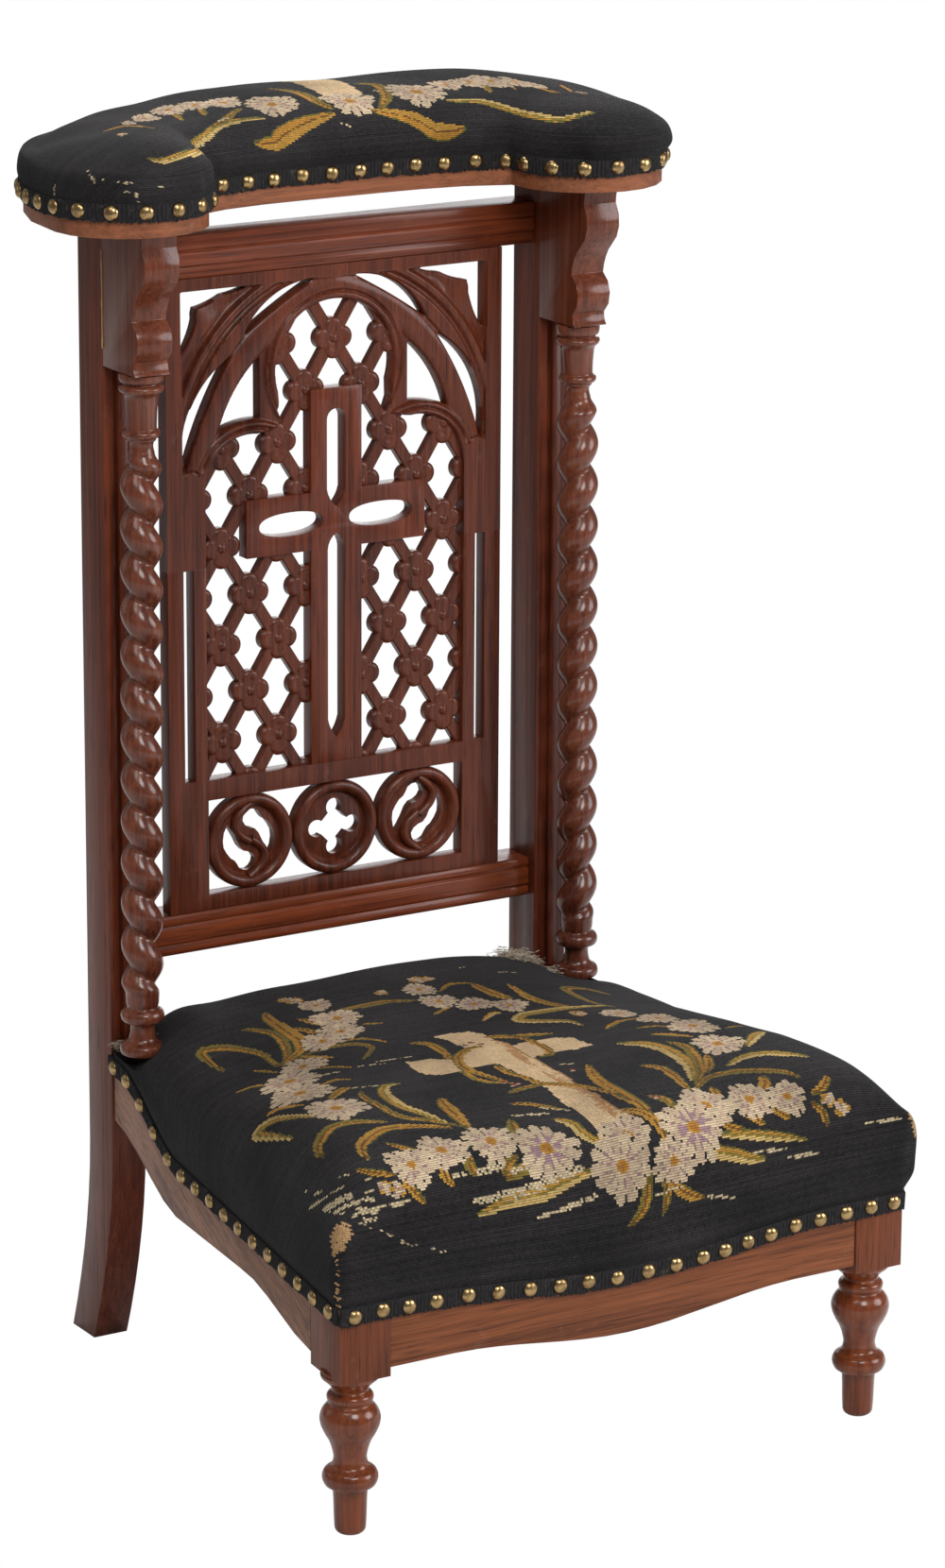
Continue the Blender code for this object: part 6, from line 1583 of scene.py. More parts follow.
seatLeaves = [
    (9, 0, [(-150, 162), (-148, 132), (-157, 111), (-169, 101), (-181, 99), (-184, 115), (-184, 138)]),
    (8, 0, [(-148, 164), (-134, 147), (-126, 127), (-123, 108), (-131, 94), (-139, 88)]),
    (12, 1, [(-148, 162), (-125, 151), (-115, 130), (-114, 104), (-113, 81), (-109, 71)]),
    (4, 0, [(-197, 182), (-184, 183), (-175, 195)]), (3, 0, [(-166, 153), (-161, 162), (-158, 172)]),
    (6, 0, [(-144, 163), (-122, 163), (-100, 170), (-86, 180), (-85, 191), (-102, 208)]),
    (4, 0, [(-91, 165), (-77, 170), (-68, 182)]), (8, 0, [(-61, 102), (-43, 104), (-24, 104), (1, 112)]),
    (3, 0, [(-63, 140), (-56, 142), (-49, 144)]), (6, 1, [(-96, 96), (-91, 110), (-90, 121)]),
    (6, 1, [(-107, 111), (-102, 123), (-101, 134)]), (5, 1, [(-130, 163), (-123, 178), (-118, 187)]),
    (4, 0, [(-135, 199), (-126, 208), (-119, 218)]), (4, 0, [(-157, 237), (-142, 235), (-133, 241)]),
    (5, 1, [(-209, 250), (-198, 253), (-187, 266)]),
    (9, 2, [(-192, 302), (-202, 279), (-212, 262), (-226, 256), (-224, 277), (-220, 304)]),
    (10, 0, [(-157, 332), (-174, 325), (-195, 323), (-211, 333), (-218, 340), (-221, 352)]),
    (10, 1, [(-118, 359), (-139, 347), (-164, 344), (-186, 357), (-196, 367), (-199, 381)]),
    (11, 1, [(-107, 368), (-102, 339), (-99, 320), (-95, 307)]),
    (7, 0, [(-110, 360), (-125, 341), (-140, 326), (-144, 302), (-145, 281), (-140, 269)]),
    (10, 2, [(-117, 349), (-122, 328), (-129, 307), (-128, 283), (-118, 267), (-106, 267)]),
    (8, 1, [(-167, 272), (-153, 260), (-143, 256)]),
    (8, 1, [(-52, 191), (-41, 199), (-40, 218), (-46, 243)]), (4, 0, [(27, 102), (43, 91), (59, 96)]),
    (10, 1, [(59, 98), (59, 117), (62, 136), (65, 146)]), (8, 1, [(81, 121), (80, 146), (83, 151)]),
    (6, 1, [(-175, 367), (-166, 378), (-155, 388)]), (6, 1, [(-212, 388), (-202, 396), (-187, 402)]),
    (7, 1, [(-181, 408), (-180, 415), (-172, 427)]), (7, 1, [(-149, 401), (-150, 412), (-146, 418)]),
    (8, 0, [(-124, 399), (-128, 406), (-126, 414)]), (8, 0, [(-88, 405), (-98, 410), (-104, 418)]),
    (3, 0, [(15, 136), (6, 140), (-3, 144)]), (5, 2, [(21, 176), (35, 167), (41, 168)]),
    (5, 0, [(-49, 246), (-52, 279), (-47, 294), (-33, 303)]),
    (9, 1, [(82, 115), (80, 148), (88, 167), (99, 174)]),
    (9, 0, [(168, 128), (159, 111), (141, 113), (128, 125), (127, 146), (131, 165), (139, 178)]),
    (9, 2, [(139, 172), (106, 178), (74, 180), (55, 180), (45, 189), (58, 197), (78, 205), (84, 218)]),
    (5, 0, [(96, 233), (112, 224), (128, 222)]), (3, 0, [(115, 246), (130, 250), (138, 258)]),
    (5, 0, [(116, 265), (127, 273), (139, 285)]),
    (13, 2, [(86, 267), (101, 281), (108, 303), (105, 332), (92, 357)]),
    (9, 0, [(117, 286), (123, 300), (118, 321), (108, 343), (91, 364)]),
    (7, 1, [(128, 321), (121, 336), (110, 349)]), (8, 1, [(74, 315), (84, 328), (83, 351), (79, 374)]),
    (9, 2, [(131, 345), (151, 338), (169, 342), (182, 353), (192, 363)]),
    (8, 0, [(85, 372), (106, 357), (130, 357), (148, 366), (161, 376), (168, 386)]),
    (3, 0, [(175, 277), (185, 275), (194, 273)]), (10, 2, [(165, 321), (182, 306), (195, 298)]),
    (7, 1, [(99, 372), (97, 382), (96, 391)]), (9, 1, [(143, 374), (139, 384), (131, 389)]),
    (7, 1, [(190, 392), (182, 400), (169, 405)]), (6, 1, [(165, 411), (172, 421), (172, 431)]),
    (7, 1, [(132, 405), (136, 412), (143, 418)]), (7, 1, [(104, 403), (112, 410), (120, 418)]),
    (8, 0, [(46, 368), (54, 379), (56, 393)]),
    (12, 1, [(41, 294), (32, 320), (30, 355), (32, 376), (34, 389)]),
    (9, 1, [(13, 379), (27, 387), (33, 402), (35, 417)]), (6, 1, [(84, 410), (94, 416), (104, 419)]),
    (8, 2, [(81, 419), (104, 423), (128, 429), (152, 437)]),
    (11, 2, [(43, 425), (63, 429), (84, 434), (102, 441), (115, 444)]),
    (10, 2, [(-38, 374), (-30, 383), (-27, 398), (-13, 413)]),
    (9, 0, [(15, 438), (12, 450), (8, 463), (-3, 473)]),
    (7, 0, [(21, 436), (29, 451), (28, 461), (25, 471)]),
    (9, 1, [(30, 441), (38, 452), (49, 460), (61, 464)]), (6, 1, [(-55, 339), (-40, 345), (-22, 362)]),
    (10, 0, [(-71, 366), (-76, 380), (-74, 389)]),
    (12, 2, [(-129, 443), (-106, 438), (-77, 436), (-55, 430), (-31, 426)]),
    (10, 0, [(-102, 420), (-86, 416), (-73, 416)]), (5, 0, [(21, 216), (36, 220), (53, 224)]),
]
seatWraps = [
    (8, 1, [(-32, 305), (-41, 284), (-46, 260), (-38, 237), (-21, 224), (-10, 225)]),
    (7, 1, [(3, 208), (16, 214), (32, 224)]), (7, 1, [(-23, 265), (-22, 284), (-14, 300)]),
    (7, 1, [(-22, 282), (-16, 296), (-11, 311), (11, 324), (24, 347), (28, 368)]),
    (6, 0, [(-45, 320), (-28, 315), (-11, 313)]),
    (7, 1, [(21, 216), (29, 229), (31, 248), (29, 260), (18, 263)]),
]
seatCross = [
    [(-30, 187), (-19, 186), (-1, 191), (6, 203), (5, 216), (12, 229), (7, 250), (-20, 263), (-23, 222),
     (-23, 201)],
    [(29, 231), (51, 233), (62, 237), (67, 258), (52, 260), (31, 258), (12, 262), (1, 256), (-5, 237)],
    [(-77, 227), (-56, 229), (-44, 239), (-29, 233), (-14, 225), (-1, 231), (-14, 277), (-20, 263),
     (-37, 263), (-54, 265), (-67, 265), (-78, 258), (-81, 246)],
    [(-23, 222), (-20, 263), (-18, 277), (-16, 301), (-12, 322), (-16, 338), (-17, 355), (-15, 379),
     (-15, 395), (-19, 406), (11, 411), (23, 402), (21, 394), (13, 374), (15, 347), (12, 322), (16, 309),
     (14, 290), (14, 269), (12, 262), (12, 229), (5, 216)],
]
seatThreads = [
    (1.0, 0.85, [(-240.2, -369.1, 241.1), (-236.2, -382.7, 252.2), (-227.5, -391.8, 261.0),
                 (-206.4, -396.9, 266.2)]),
    (1.0, 0.6, [(-235.9, -356.2, 249.2), (-234.3, -362.1, 253.3)]),
    (1.0, 0.8, [(-236.8, -365.7, 249.1), (-234.4, -375.3, 254.7)]),
    (2.9, 0.85, [(-239.0, -389.8, 247.8), (-235.0, -396.9, 253.0), (-226.8, -401.5, 257.6)]),
    (1.9, 0.8, [(-238.0, -403.0, 248.7), (-225.6, -407.0, 254.3), (-211.2, -408.3, 255.8)]),
    (1.0, 0.6, [(-237.2, -407.0, 248.4), (-222.4, -410.5, 251.7)]),
    (1.0, 0.8, [(-232.4, -413.6, 246.5), (-224.4, -412.6, 248.9)]),
    (2.4, 0.85, [(-222.6, -412.6, 249.1), (-211.6, -413.6, 248.5)]),
    (1.0, 0.8, [(-211.5, -412.6, 250.0), (-197.8, -412.6, 250.3)]),
    (1.9, 0.85, [(-197.8, -412.6, 250.3), (-183.9, -412.6, 250.5)]),
    (1.0, 0.6, [(-227.2, -416.8, 242.4), (-222.0, -416.8, 242.5)]),
    (1.6, 0.8, [(-222.5, -416.1, 243.8), (-213.2, -416.1, 243.9)]),
    (1.0, 0.5, [(-226.4, -379.0, 264.1), (-218.7, -386.4, 267.7)]),
    (1.0, 0.5, [(-214.6, -404.4, 259.3), (-208.9, -404.4, 260.1)]),
    (1.0, 0.3, [(-239.6, -386.0, 246.3), (-239.2, -404.3, 247.2), (-227.2, -416.8, 242.4),
                (-210.5, -419.0, 234.8), (-196.1, -420.4, 224.7), (-176.8, -421.0, 215.9),
                (-159.3, -421.2, 210.3)]),
    (3.2, 0.85, [(-122.0, -407.0, 258.9), (-102.1, -405.7, 260.0)]),
    (2.3, 0.85, [(-96.3, -409.4, 255.5), (-82.4, -408.3, 256.6)]),
    (1.9, 0.7, [(-143.9, -407.0, 258.9), (-132.0, -407.0, 259.0)]),
    (2.6, 0.85, [(-131.3, -417.4, 241.3), (-100.1, -416.8, 242.6), (-66.6, -415.3, 245.3),
                 (-40.8, -413.6, 248.8)]),
    (1.0, 0.8, [(-106.4, -418.3, 237.8), (-91.4, -417.9, 239.3), (-72.1, -417.4, 240.6)]),
    (1.3, 0.95, [(-81.4, -420.6, 220.9), (-52.9, -420.2, 224.2)]),
    (2.2, 0.85, [(-54.7, -420.2, 224.2), (-32.9, -419.8, 227.8)]),
    (1.2, 0.9, [(64.4, -421.1, 210.6), (87.3, -421.3, 205.6)]),
    (1.1, 0.9, [(105.7, -418.7, 236.0), (136.0, -419.0, 234.6)]),
    (1.4, 0.9, [(135.7, -420.0, 227.7), (161.8, -420.2, 226.2)]),
    (1.2, 0.8, [(206.6, -417.4, 240.9), (238.2, -417.9, 239.1)]),
    (1.2, 0.7, [(-37.9, -352.6, 276.4), (-20.5, -364.0, 274.7)]),
    (1.0, 0.8, [(19.2, -420.6, 219.7), (41.4, -420.4, 222.0)]),
    (1.0, 0.7, [(-98.6, -217.9, 282.5), (-63.6, -217.9, 281.5)]),
    (1.5, 0.7, [(-140.9, -216.0, 279.2), (-130.1, -219.8, 280.8)]),
    (1.0, 0.7, [(-113.5, -219.8, 282.1), (-93.3, -223.5, 282.3)]),
    (1.0, 0.7, [(-141.5, -259.6, 281.9), (-123.0, -263.4, 281.8)]),
    (1.0, 0.7, [(93.2, -81.2, 284.4), (108.9, -83.1, 282.9)]),
    (1.0, 0.6, [(71.6, -58.4, 285.0), (83.7, -60.3, 284.7)]),
    (1.6, 0.8, [(-65.3, -358.3, 276.9), (-38.1, -364.0, 275.1)]),
    (1.0, 0.8, [(23.6, -282.4, 278.7), (33.1, -284.3, 278.4)]),
]
cornerSpots = [
    ((-245.3, -412.0, 233.3), 5), ((-243.3, -413.9, 239.5), 5), ((-241.3, -416.0, 240.2), 5.5),
    ((-238.1, -417.5, 239.6), 4.5), ((-236.2, -418.5, 236.5), 3), ((-240.4, -417.8, 234.5), 4.5),
    ((-241.5, -417.7, 230.8), 4), ((-244.3, -415.8, 226.9), 4), ((-246.0, -412.9, 228.1), 3.5),
    ((-246.3, -413.8, 222.8), 2.5), ((-241.7, -418.0, 227.4), 2.2), ((-244.9, -416.1, 218.2), 1.5),
    ((-245.1, -416.2, 214.7), 1.2), ((-244.3, -417.0, 210.4), 1.2), ((-244.4, -417.1, 206.8), 1.6),
    ((-245.4, -416.3, 200.4), 1.2), ((-244.5, -417.1, 199.7), 1.6), ((-245.3, -416.3, 195.0), 1.8),
    ((-245.9, -414.8, 190.5), 1.4), ((-243.8, -416.6, 188.8), 1.8), ((-243.4, -415.0, 182.8), 1.8),
    ((-243.9, -411.8, 180.1), 1.3), ((-242.5, -414.8, 177.3), 1.8), ((248.3, -415.8, 237.8), 3.5),
    ((251.2, -415.6, 232.0), 4.2), ((253.0, -415.0, 229.1), 4.2), ((253.7, -415.2, 224.0), 3),
]
armThreads = [
    (1.0, 0.45, [(-246.0, -66.8, 932.9), (-225.9, -85.5, 930.8), (-203.6, -94.2, 927.8)]),
    (1.0, 0.6, [(-260.5, -36.8, 925.2), (-260.2, -34.7, 917.6)]),
    (1.0, 0.7, [(-222.4, -90.2, 923.9), (-220.3, -88.6, 916.3)]),
    (1.0, 0.6, [(-246.2, -60.9, 937.8), (-245.1, -69.1, 930.3)]),
    (1.0, 0.6, [(-229.0, -84.6, 924.5), (-223.7, -88.9, 926.3)]),
    (1.0, 0.8, [(1.9, 4.0, 943.6), (7.5, 1.2, 941.2)]),
    (1.0, 0.7, [(53.0, 43.0, 959.2), (56.7, 37.3, 958.4)]),
    (1.0, 0.7, [(-98.3, 15.7, 951.5), (-86.9, 19.1, 952.4)]),
    (1.0, 0.8, [(-144.2, -31.2, 944.6), (-125.2, -13.2, 939.9)]),
    (1.0, 0.8, [(-9.3, -0.1, 939.1), (-5.6, -1.4, 937.9)]),
]
armDaisies = [
    (-40, -38, 20.4, "c"), (-71, -16, 15.1, "c"), (-94, -11, 14.3, "c"), (-119, -9, 14.5, "c"),
    (-149, -14, 14.2, "c"), (-177, -9, 8.8, "c"), (21, -49, 20.3, "c"), (82, -41, 22.0, "c"),
    (114, -27, 12.3, "c"), (134, -24, 12.2, "c"), (152, -22, 15.2, "c"), (176, -15, 12.6, "c"),
    (192, -16, 8.2, "c"), (-224, -26, 4.4, "b"), (225, -22, 4.4, "b"),
]
armLeaves = [
    (16, 1, [(-3, -65), (-26, -70), (-48, -78), (-61, -85), (-77, -83)]),
    (16, 1, [(34, -66), (60, -75), (76, -88), (88, -89), (99, -87)]),
    (10, 0, [(-18, 5), (-7, -13), (-5, -45), (1, -59)]), (10, 0, [(51, -5), (63, -15), (55, -45), (40, -64)]),
    (8.5, 2, [(-60, -59), (-83, -58), (-104, -61), (-127, -72), (-184, -85), (-228, -79), (-242, -68)]),
    (8.5, 2, [(99, -59), (122, -60), (137, -66), (164, -79), (187, -87), (215, -75)]),
    (7, 0, [(-68, -37), (-90, -53), (-108, -61)]), (5, 0, [(-94, -18), (-99, -31), (-102, -40)]),
    (5, 0, [(-121, -14), (-122, -27), (-126, -42)]), (5, 0, [(144, -29), (140, -37), (139, -46)]),
    (5, 0, [(164, -21), (165, -27), (166, -35)]), (5, 1, [(193, -20), (196, -29), (203, -33)]),
    (4, 1, [(222, 5), (219, -10), (217, -24)]), (5, 1, [(-213, 3), (-192, -9), (-184, -40)]),
]
armFoot = [(6, 134), (36, 134), (50, 28), (40, -34), (27, -57), (7, -54), (9, -23), (14, 27)]
armBar = [(-22, 92), (64, 92), (66, 113), (-24, 113)]
redSpots = ((-12, 214), (-8, 221), (-36, 300), (-33, 308), (-28, 306), (26, 296), (50, 372), (-20, 216))


def paintFlowers(canvas, rows, seed):
    rng = np.random.default_rng(seed)
    for x, y, size, tint in rows:
        if tint == "b":
            canvas.daisy(x, y, size * 1.1, 5, rng.uniform(0, 6), "honey")
            canvas.daisy(x + 1, y, size * 0.6, 5, rng.uniform(0, 6), "cream")
        else:
            canvas.daisy(x, y, size, rng.integers(12, 16), rng.uniform(0, 6), "cream", lilac=tint == "l")


def paintSeat(canvas):
    for row in seatLeaves:
        canvas.leaf(*row)
    for loop in seatCross:
        canvas.polygon(loop, wool["cross"])
    where = canvas.near(0, 310, 130)
    x, y = canvas.x[where], canvas.y[where]
    depth = -distanceTo(seatCross[3:], x, y)
    rng = np.random.default_rng(9)
    streak = np.sin(x * 0.31 + 2.2 * np.sin(y * 0.05)) + 0.6 * rng.standard_normal(len(x))
    canvas.fill(where, (depth > 0) & (x > 0 + (y - 230) * 0.02) & (streak > 0.0), wool["crossShade"], 0.08)
    canvas.fill(where, (depth > 0) & (depth < 1.8) & (x > 2), wool["crossShade"] * 0.8, 0.1)
    for row in seatWraps:
        canvas.leaf(*row)
    paintFlowers(canvas, seatDaisies, 21)
    for x, y in redSpots:
        canvas.daisy(x, y, 2.6, 3, 0, "red")
    # runs of stitches and the corners have worn through to the canvas
    for row in seatThreads:
        canvas.thread(*row)
    for place, reach in cornerSpots:
        canvas.spot(place, reach)


def paintArm(canvas):
    for row in armLeaves:
        canvas.leaf(*row)
    for loop in (armFoot, armBar):
        canvas.polygon(loop, wool["cross"])
    paintFlowers(canvas, armDaisies, 22)
    for row in armThreads:
        canvas.thread(*row)


# Wool stitches in rows over a canvas, painted from the piece's own cells; the colour also carries painted
# shade between the stitch rows and on the bare canvas, and broad random fading
def makeNeedlework():
    material, w, shader = newMaterial(
        "needlework", roughness=0.88, sheenWeight=0.03, sheenRoughness=0.5, specularIORLevel=0.12)
    _, u, v = w.uvPlace("stitches")
    place = w.objectPlace()

    def hump(share):
        fromMiddle = w.math("ABSOLUTE", w.add(w.times(share, 2.0), -1.0))
        return w.math("SUBTRACT", 1.0, w.math("POWER", fromMiddle, 2.0))

    row = w.math("FRACT", v)
    rib = hump(row)
    knot = hump(w.math("FRACT", w.add(u, w.times(row, 0.7))))
    height = w.add(w.times(rib, 0.65), w.times(w.times(rib, knot), 0.35))
    height = w.add(height, w.times(w.noise(place, 2600.0, 2.0, 0.6), 0.25))
    height = w.times(height, w.math("SUBTRACT", 1.0, w.times(w.attribute("bare", "Fac"), 0.6)))
    broad = w.noise(place, 16.0, 3.0, 0.55)
    # painted shade: darker where the stitch bump is low (between rows and on bare canvas), times broad random
    # fading
    shade = w.times(w.add(0.38, w.times(height, 0.80)), w.band(broad, 0.3, 0.7, 0.75, 1.35))
    w.put(shader.inputs["Base Color"], w.mix(1.0, w.attribute("needlework", "Color"), shade, "MULTIPLY"))
    w.bump(shader, height, 0.8, 0.0007)
    return material


needlework = makeNeedlework()
seatCover = finished(makeSeatCover(paintSeat), needlework, ["seat_cover", "seat_stuffing"])
armCover = finished(makeArmCover(paintArm), needlework, ["armrest_cover", "armrest_stuffing"])
report("needlework covers")


# Braid, nails, webbing and hessian

trimSize = {  # millimetres
    "braidHigh": 14.0, "braidOut": 1.7, "ribPitch": 3.1, "nailRadius": 5.8, "nailHigh": 3.3, "nailOut": 3.3,
    "frontStep": 23.6, "sideStep": 26.2, "armStep": 24.6, "pathStep": 1.2, "braidStep": 0.6,
    "braidShape": [  # share of the height, thickness
        (0.00, 0.5), (0.06, 1.0), (0.32, 1.15), (0.68, 1.15), (0.93, 1.0), (1.00, 0.45)],
    "nailShape": [  # shares of radius and height
        (0.0, 1.0), (0.22, 0.975), (0.44, 0.90), (0.64, 0.76), (0.80, 0.56), (0.91, 0.34), (0.975, 0.14),
        (1.0, 0.0)],
}
splay = math.atan2(seatSize["flare"], seatSize["depth"])


# A ribbed braid along a line of (x, y, low z, outward x, outward y) places, with a frayed lower edge
def braidStrip(name, path, seed):
    rng = np.random.default_rng(seed)
    path = np.array(path)
    run = runOf(path)
    places = np.arange(0, run[-1], trimSize["braidStep"])
    x, y, low, nx, ny = (np.interp(places, run, path[:, k]) for k in range(5))
    rib = np.abs(np.sin(math.pi * places / trimSize["ribPitch"] + 0.35 * np.sin(places / 37.0)))
    fray = np.repeat(rng.uniform(-1.1, 0.9, len(places) // 3 + 1), 3)[:len(places)]
    fray += 0.5 * np.sin(places / 19.0)
    ringShape = [(share, trimSize["braidOut"] + 1.6 * share * 0.6 + thick * (0.55 + 0.75 * rib))
                 for share, thick in trimSize["braidShape"]]
    ringShape += [(share, trimSize["braidOut"] - 1.4 + 0.4 * share) for share in (1.0, 0.0)]
    rings = []
    for share, out in ringShape:
        z = low + trimSize["braidHigh"] * share + (fray if share < 0.05 else 0.0)
        rings.append(np.stack([x + nx * out, y + ny * out, z], axis=1))
    count, around = len(places), len(rings)
    verts = np.stack(rings, axis=1).reshape(-1, 3)
    faces = []
    for k in range(count - 1):
        a, b = k * around, (k + 1) * around
        for r in range(around):
            after = (r + 1) % around
            faces.append((a + r, b + r, b + after, a + after))
    faces.append(tuple(range(around)))
    faces.append(tuple((count - 1) * around + r for r in reversed(range(around))))
    made = meshObject(name, [tuple(world(*v)) for v in verts.tolist()], faces)
    outward(made)
    smoothBy(made, 60)
    return made


# One domed brass nail head about the origin, its dome along -Y
def makeNail():
    r, h = trimSize["nailRadius"], trimSize["nailHigh"]
    profile = [(r * across, h * up) for across, up in trimSize["nailShape"]] + [(r * 0.97, -0.5), (0.0, -0.5)]
    nail = spun("nail_pattern", [(x * mm, z * mm) for x, z in profile], 28, 1e-5)
    nail.data.transform(Matrix.Rotation(math.pi / 2, 4, "X"))
    outward(nail)
    smoothBy(nail, 60)
    return nail


def nailRow(name, pattern, spots, seed):
    rng = np.random.default_rng(seed)
    parts = []
    for x, y, z, nx, ny in spots:
        out = trimSize["nailOut"] + rng.uniform(-0.2, 0.3)
        facing = math.atan2(nx, -ny)
        turn = Matrix.Rotation(facing, 4, "Z") @ Matrix.Rotation(rng.uniform(-0.12, 0.12), 4, "X")
        turn = turn @ Matrix.Rotation(rng.uniform(-0.10, 0.10), 4, "Z")
        place = world(x + nx * out + rng.uniform(-0.7, 0.7) * -ny, y + ny * out, z + rng.uniform(-0.6, 0.6))
        parts.append(copyAt(pattern, Matrix.Translation(place) @ turn, "nail"))
    return joined(name, parts)


def sidePath(side):
    rows = []
    for run in np.arange(0.5, 417.0, trimSize["pathStep"]):
        x, y = side * (seatSize["back"] + run * math.sin(splay)), -run * math.cos(splay)
        rows.append((x, y, float(sideLowAlong(run)), side * math.cos(splay), math.sin(splay)))
    return rows


def frontPath():
    places = np.arange(-243.6, 243.7, trimSize["pathStep"])
    return [(x, -seatSize["depth"], float(frontGimpLow(x)), 0.0, -1.0) for x in places]


def armPath():
    right = armOutline(0.0)
    points = np.array(right + [(-x, y) for x, y in right[::-1][1:-1]])
    tangent = evenedLoop(np.roll(points, -1, axis=0) - np.roll(points, 1, axis=0), 3)
    normal = acrossLine(tangent)
    rows = [(p[0], p[1], armSize["gimpLow"], n[0], n[1]) for p, n in zip(points, normal)]
    return rows + rows[:1]


# Places at even steps along a line, with the first and last a given distance from its ends
def spaced(path, step, first=None):
    points = np.array(path)
    run = runOf(points)
    count = max(2, int(round(run[-1] / step)))
    start = run[-1] / count / 2 if first is None else first
    return [tuple(np.interp(s, run, points[:, k]) for k in range(5))
            for s in np.linspace(start, run[-1] - start, count)]


trimTones = {
    "black": (0.006, 0.0055, 0.006, 1), "worn": (0.026, 0.024, 0.025, 1), "dust": (0.12, 0.10, 0.085, 1),
    "brass": (0.43, 0.295, 0.135, 1), "dull": (0.20, 0.125, 0.055, 1), "dirt": (0.08, 0.05, 0.03, 1),
}


def makeBraid():
    material, w, shader = newMaterial("black_braid", roughness=0.86, specularIORLevel=0.2)
    place = w.objectPlace()
    thread = w.noise(w.mapped(place, (1400, 1400, 300)), 1.0, 3.0, 0.6)
    dust = w.times(w.band(w.noise(place, 90.0, 4.0, 0.65), 0.60, 0.78), 0.5)
    colour = w.mix(w.band(thread, 0.35, 0.7), trimTones["black"], trimTones["worn"])
    w.put(shader.inputs["Base Color"], w.mix(dust, colour, trimTones["dust"]))
    w.bump(shader, thread, 0.7, 0.0004)
    return material


def makeBrass():
    material, w, shader = newMaterial("old_brass", metallic=1.0)
    place = w.objectPlace()
    tarnish = w.noise(place, 160.0, 4.0, 0.6)
    dirt = w.times(w.band(w.noise(place, 900.0, 3.0, 0.6), 0.58, 0.75), 0.5)
    colour = w.mix(w.band(tarnish, 0.40, 0.68), trimTones["brass"], trimTones["dull"])
    w.put(shader.inputs["Base Color"], w.mix(dirt, colour, trimTones["dirt"]))
    w.put(shader.inputs["Roughness"], w.add(0.20, w.times(w.band(tarnish, 0.35, 0.75), 0.24)))
    return material


# A coarse plain weave on the piece's own flat measures
def makeWoven(name, threads, dark, light):
    material, w, shader = newMaterial(name, roughness=0.92)
    flat, u, v = w.uvPlace("flat")
    across, up = (w.math("SINE", w.times(way, threads * math.pi)) for way in (u, v))
    weave = w.add(w.times(w.times(across, up), 0.5), 0.5)
    broad = w.band(w.noise(flat, 9.0, 3.0, 0.6), 0.2, 0.8, 0.7, 1.0)
    w.put(shader.inputs["Base Color"], w.mix(w.times(w.add(w.times(weave, 0.7), 0.3), broad), dark, light))
    w.bump(shader, weave, 0.6, 0.0004)
    return material


clothSize = {"step": 0.004, "margin": 0.001, "uneven": 0.0009, "unevenPlaces": 14, "uvScale": 100}  # metres


# A thin cloth where the CAD node is, laid along its profile, slightly slack and uneven at its edges
def wovenSheet(name, node, lengthwise, sag, seed):
    rng = np.random.default_rng(seed)
    source = bpy.data.objects[node]
    points = np.array([tuple(source.matrix_world @ v.co) for v in source.data.vertices])
    axis, cross = (1, 0) if lengthwise else (0, 1)
    spots = np.unique(points[:, axis].round(5))
    levels = [points[np.abs(points[:, axis] - s) < 2e-5][:, 2] for s in spots]
    tops, lows = np.array([u.max() for u in levels]), np.array([u.min() for u in levels])
    thick = float(np.median(tops - lows)) if lengthwise else 0.001
    length = spots[-1] - spots[0]
    low, high = points[:, cross].min(), points[:, cross].max()
    rows, columns = max(24, int(length / clothSize["step"])), 10 if high - low < 0.1 else 60
    run, share = np.linspace(spots[0], spots[-1], rows), np.linspace(0, 1, columns)
    count = clothSize["unevenPlaces"]
    uneven = rng.uniform(-clothSize["uneven"], clothSize["uneven"], count)
    edge = np.interp(run, np.linspace(spots[0], spots[-1], count), uneven)
    middle, half = (low + high) / 2, (high - low) / 2 - clothSize["margin"]
    grid = np.zeros((rows, columns, 3))
    grid[:, :, cross] = middle + (share[None, :] * 2 - 1) * half + edge[:, None]
    grid[:, :, axis] = run[:, None]
    if lengthwise:
        height = np.interp(run, spots, (tops + lows) / 2)[:, None]
    else:
        slope = (points[points[:, 1].argmax(), 2] - points[points[:, 1].argmin(), 2]) / (high - low)
        height = points[:, 2].mean() + slope * (grid[:, :, cross] - middle)
    inside = np.sin(math.pi * np.linspace(0, 1, rows))[:, None] ** 0.6
    grid[:, :, 2] = height - sag * inside * (1 + 0.4 * np.sin(share * 5 + seed)[None, :]) * 0.5
    top, under = grid.copy(), grid.copy()
    top[:, :, 2] += thick * 0.45
    under[:, :, 2] -= thick * 0.45
    total = rows * columns
    index = np.arange(total).reshape(rows, columns)
    faces = []
    for k in range(rows - 1):
        for c in range(columns - 1):
            a = k * columns + c
            b, d, e = a + 1, a + columns + 1, a + columns
            faces += [(a, b, d, e), (e + total, d + total, b + total, a + total)]
    border = ringOf(index).tolist()
    for a, b in zip(border, border[1:] + border[:1]):
        faces.append((b, a, a + total, b + total))
    made = meshObject(name, np.concatenate([top.reshape(-1, 3), under.reshape(-1, 3)]).tolist(), faces)
    outward(made)
    uv = made.data.uv_layers.new(name="flat")
    flat = np.concatenate([grid.reshape(-1, 3)] * 2) * clothSize["uvScale"]
    for loop in made.data.loops:
        at = flat[loop.vertex_index]
        uv.data[loop.index].uv = (at[cross], at[axis])
    smoothBy(made, 40)
    return made, (round(float(high - low - 2 * clothSize["margin"]), 3), round(float(length), 3))


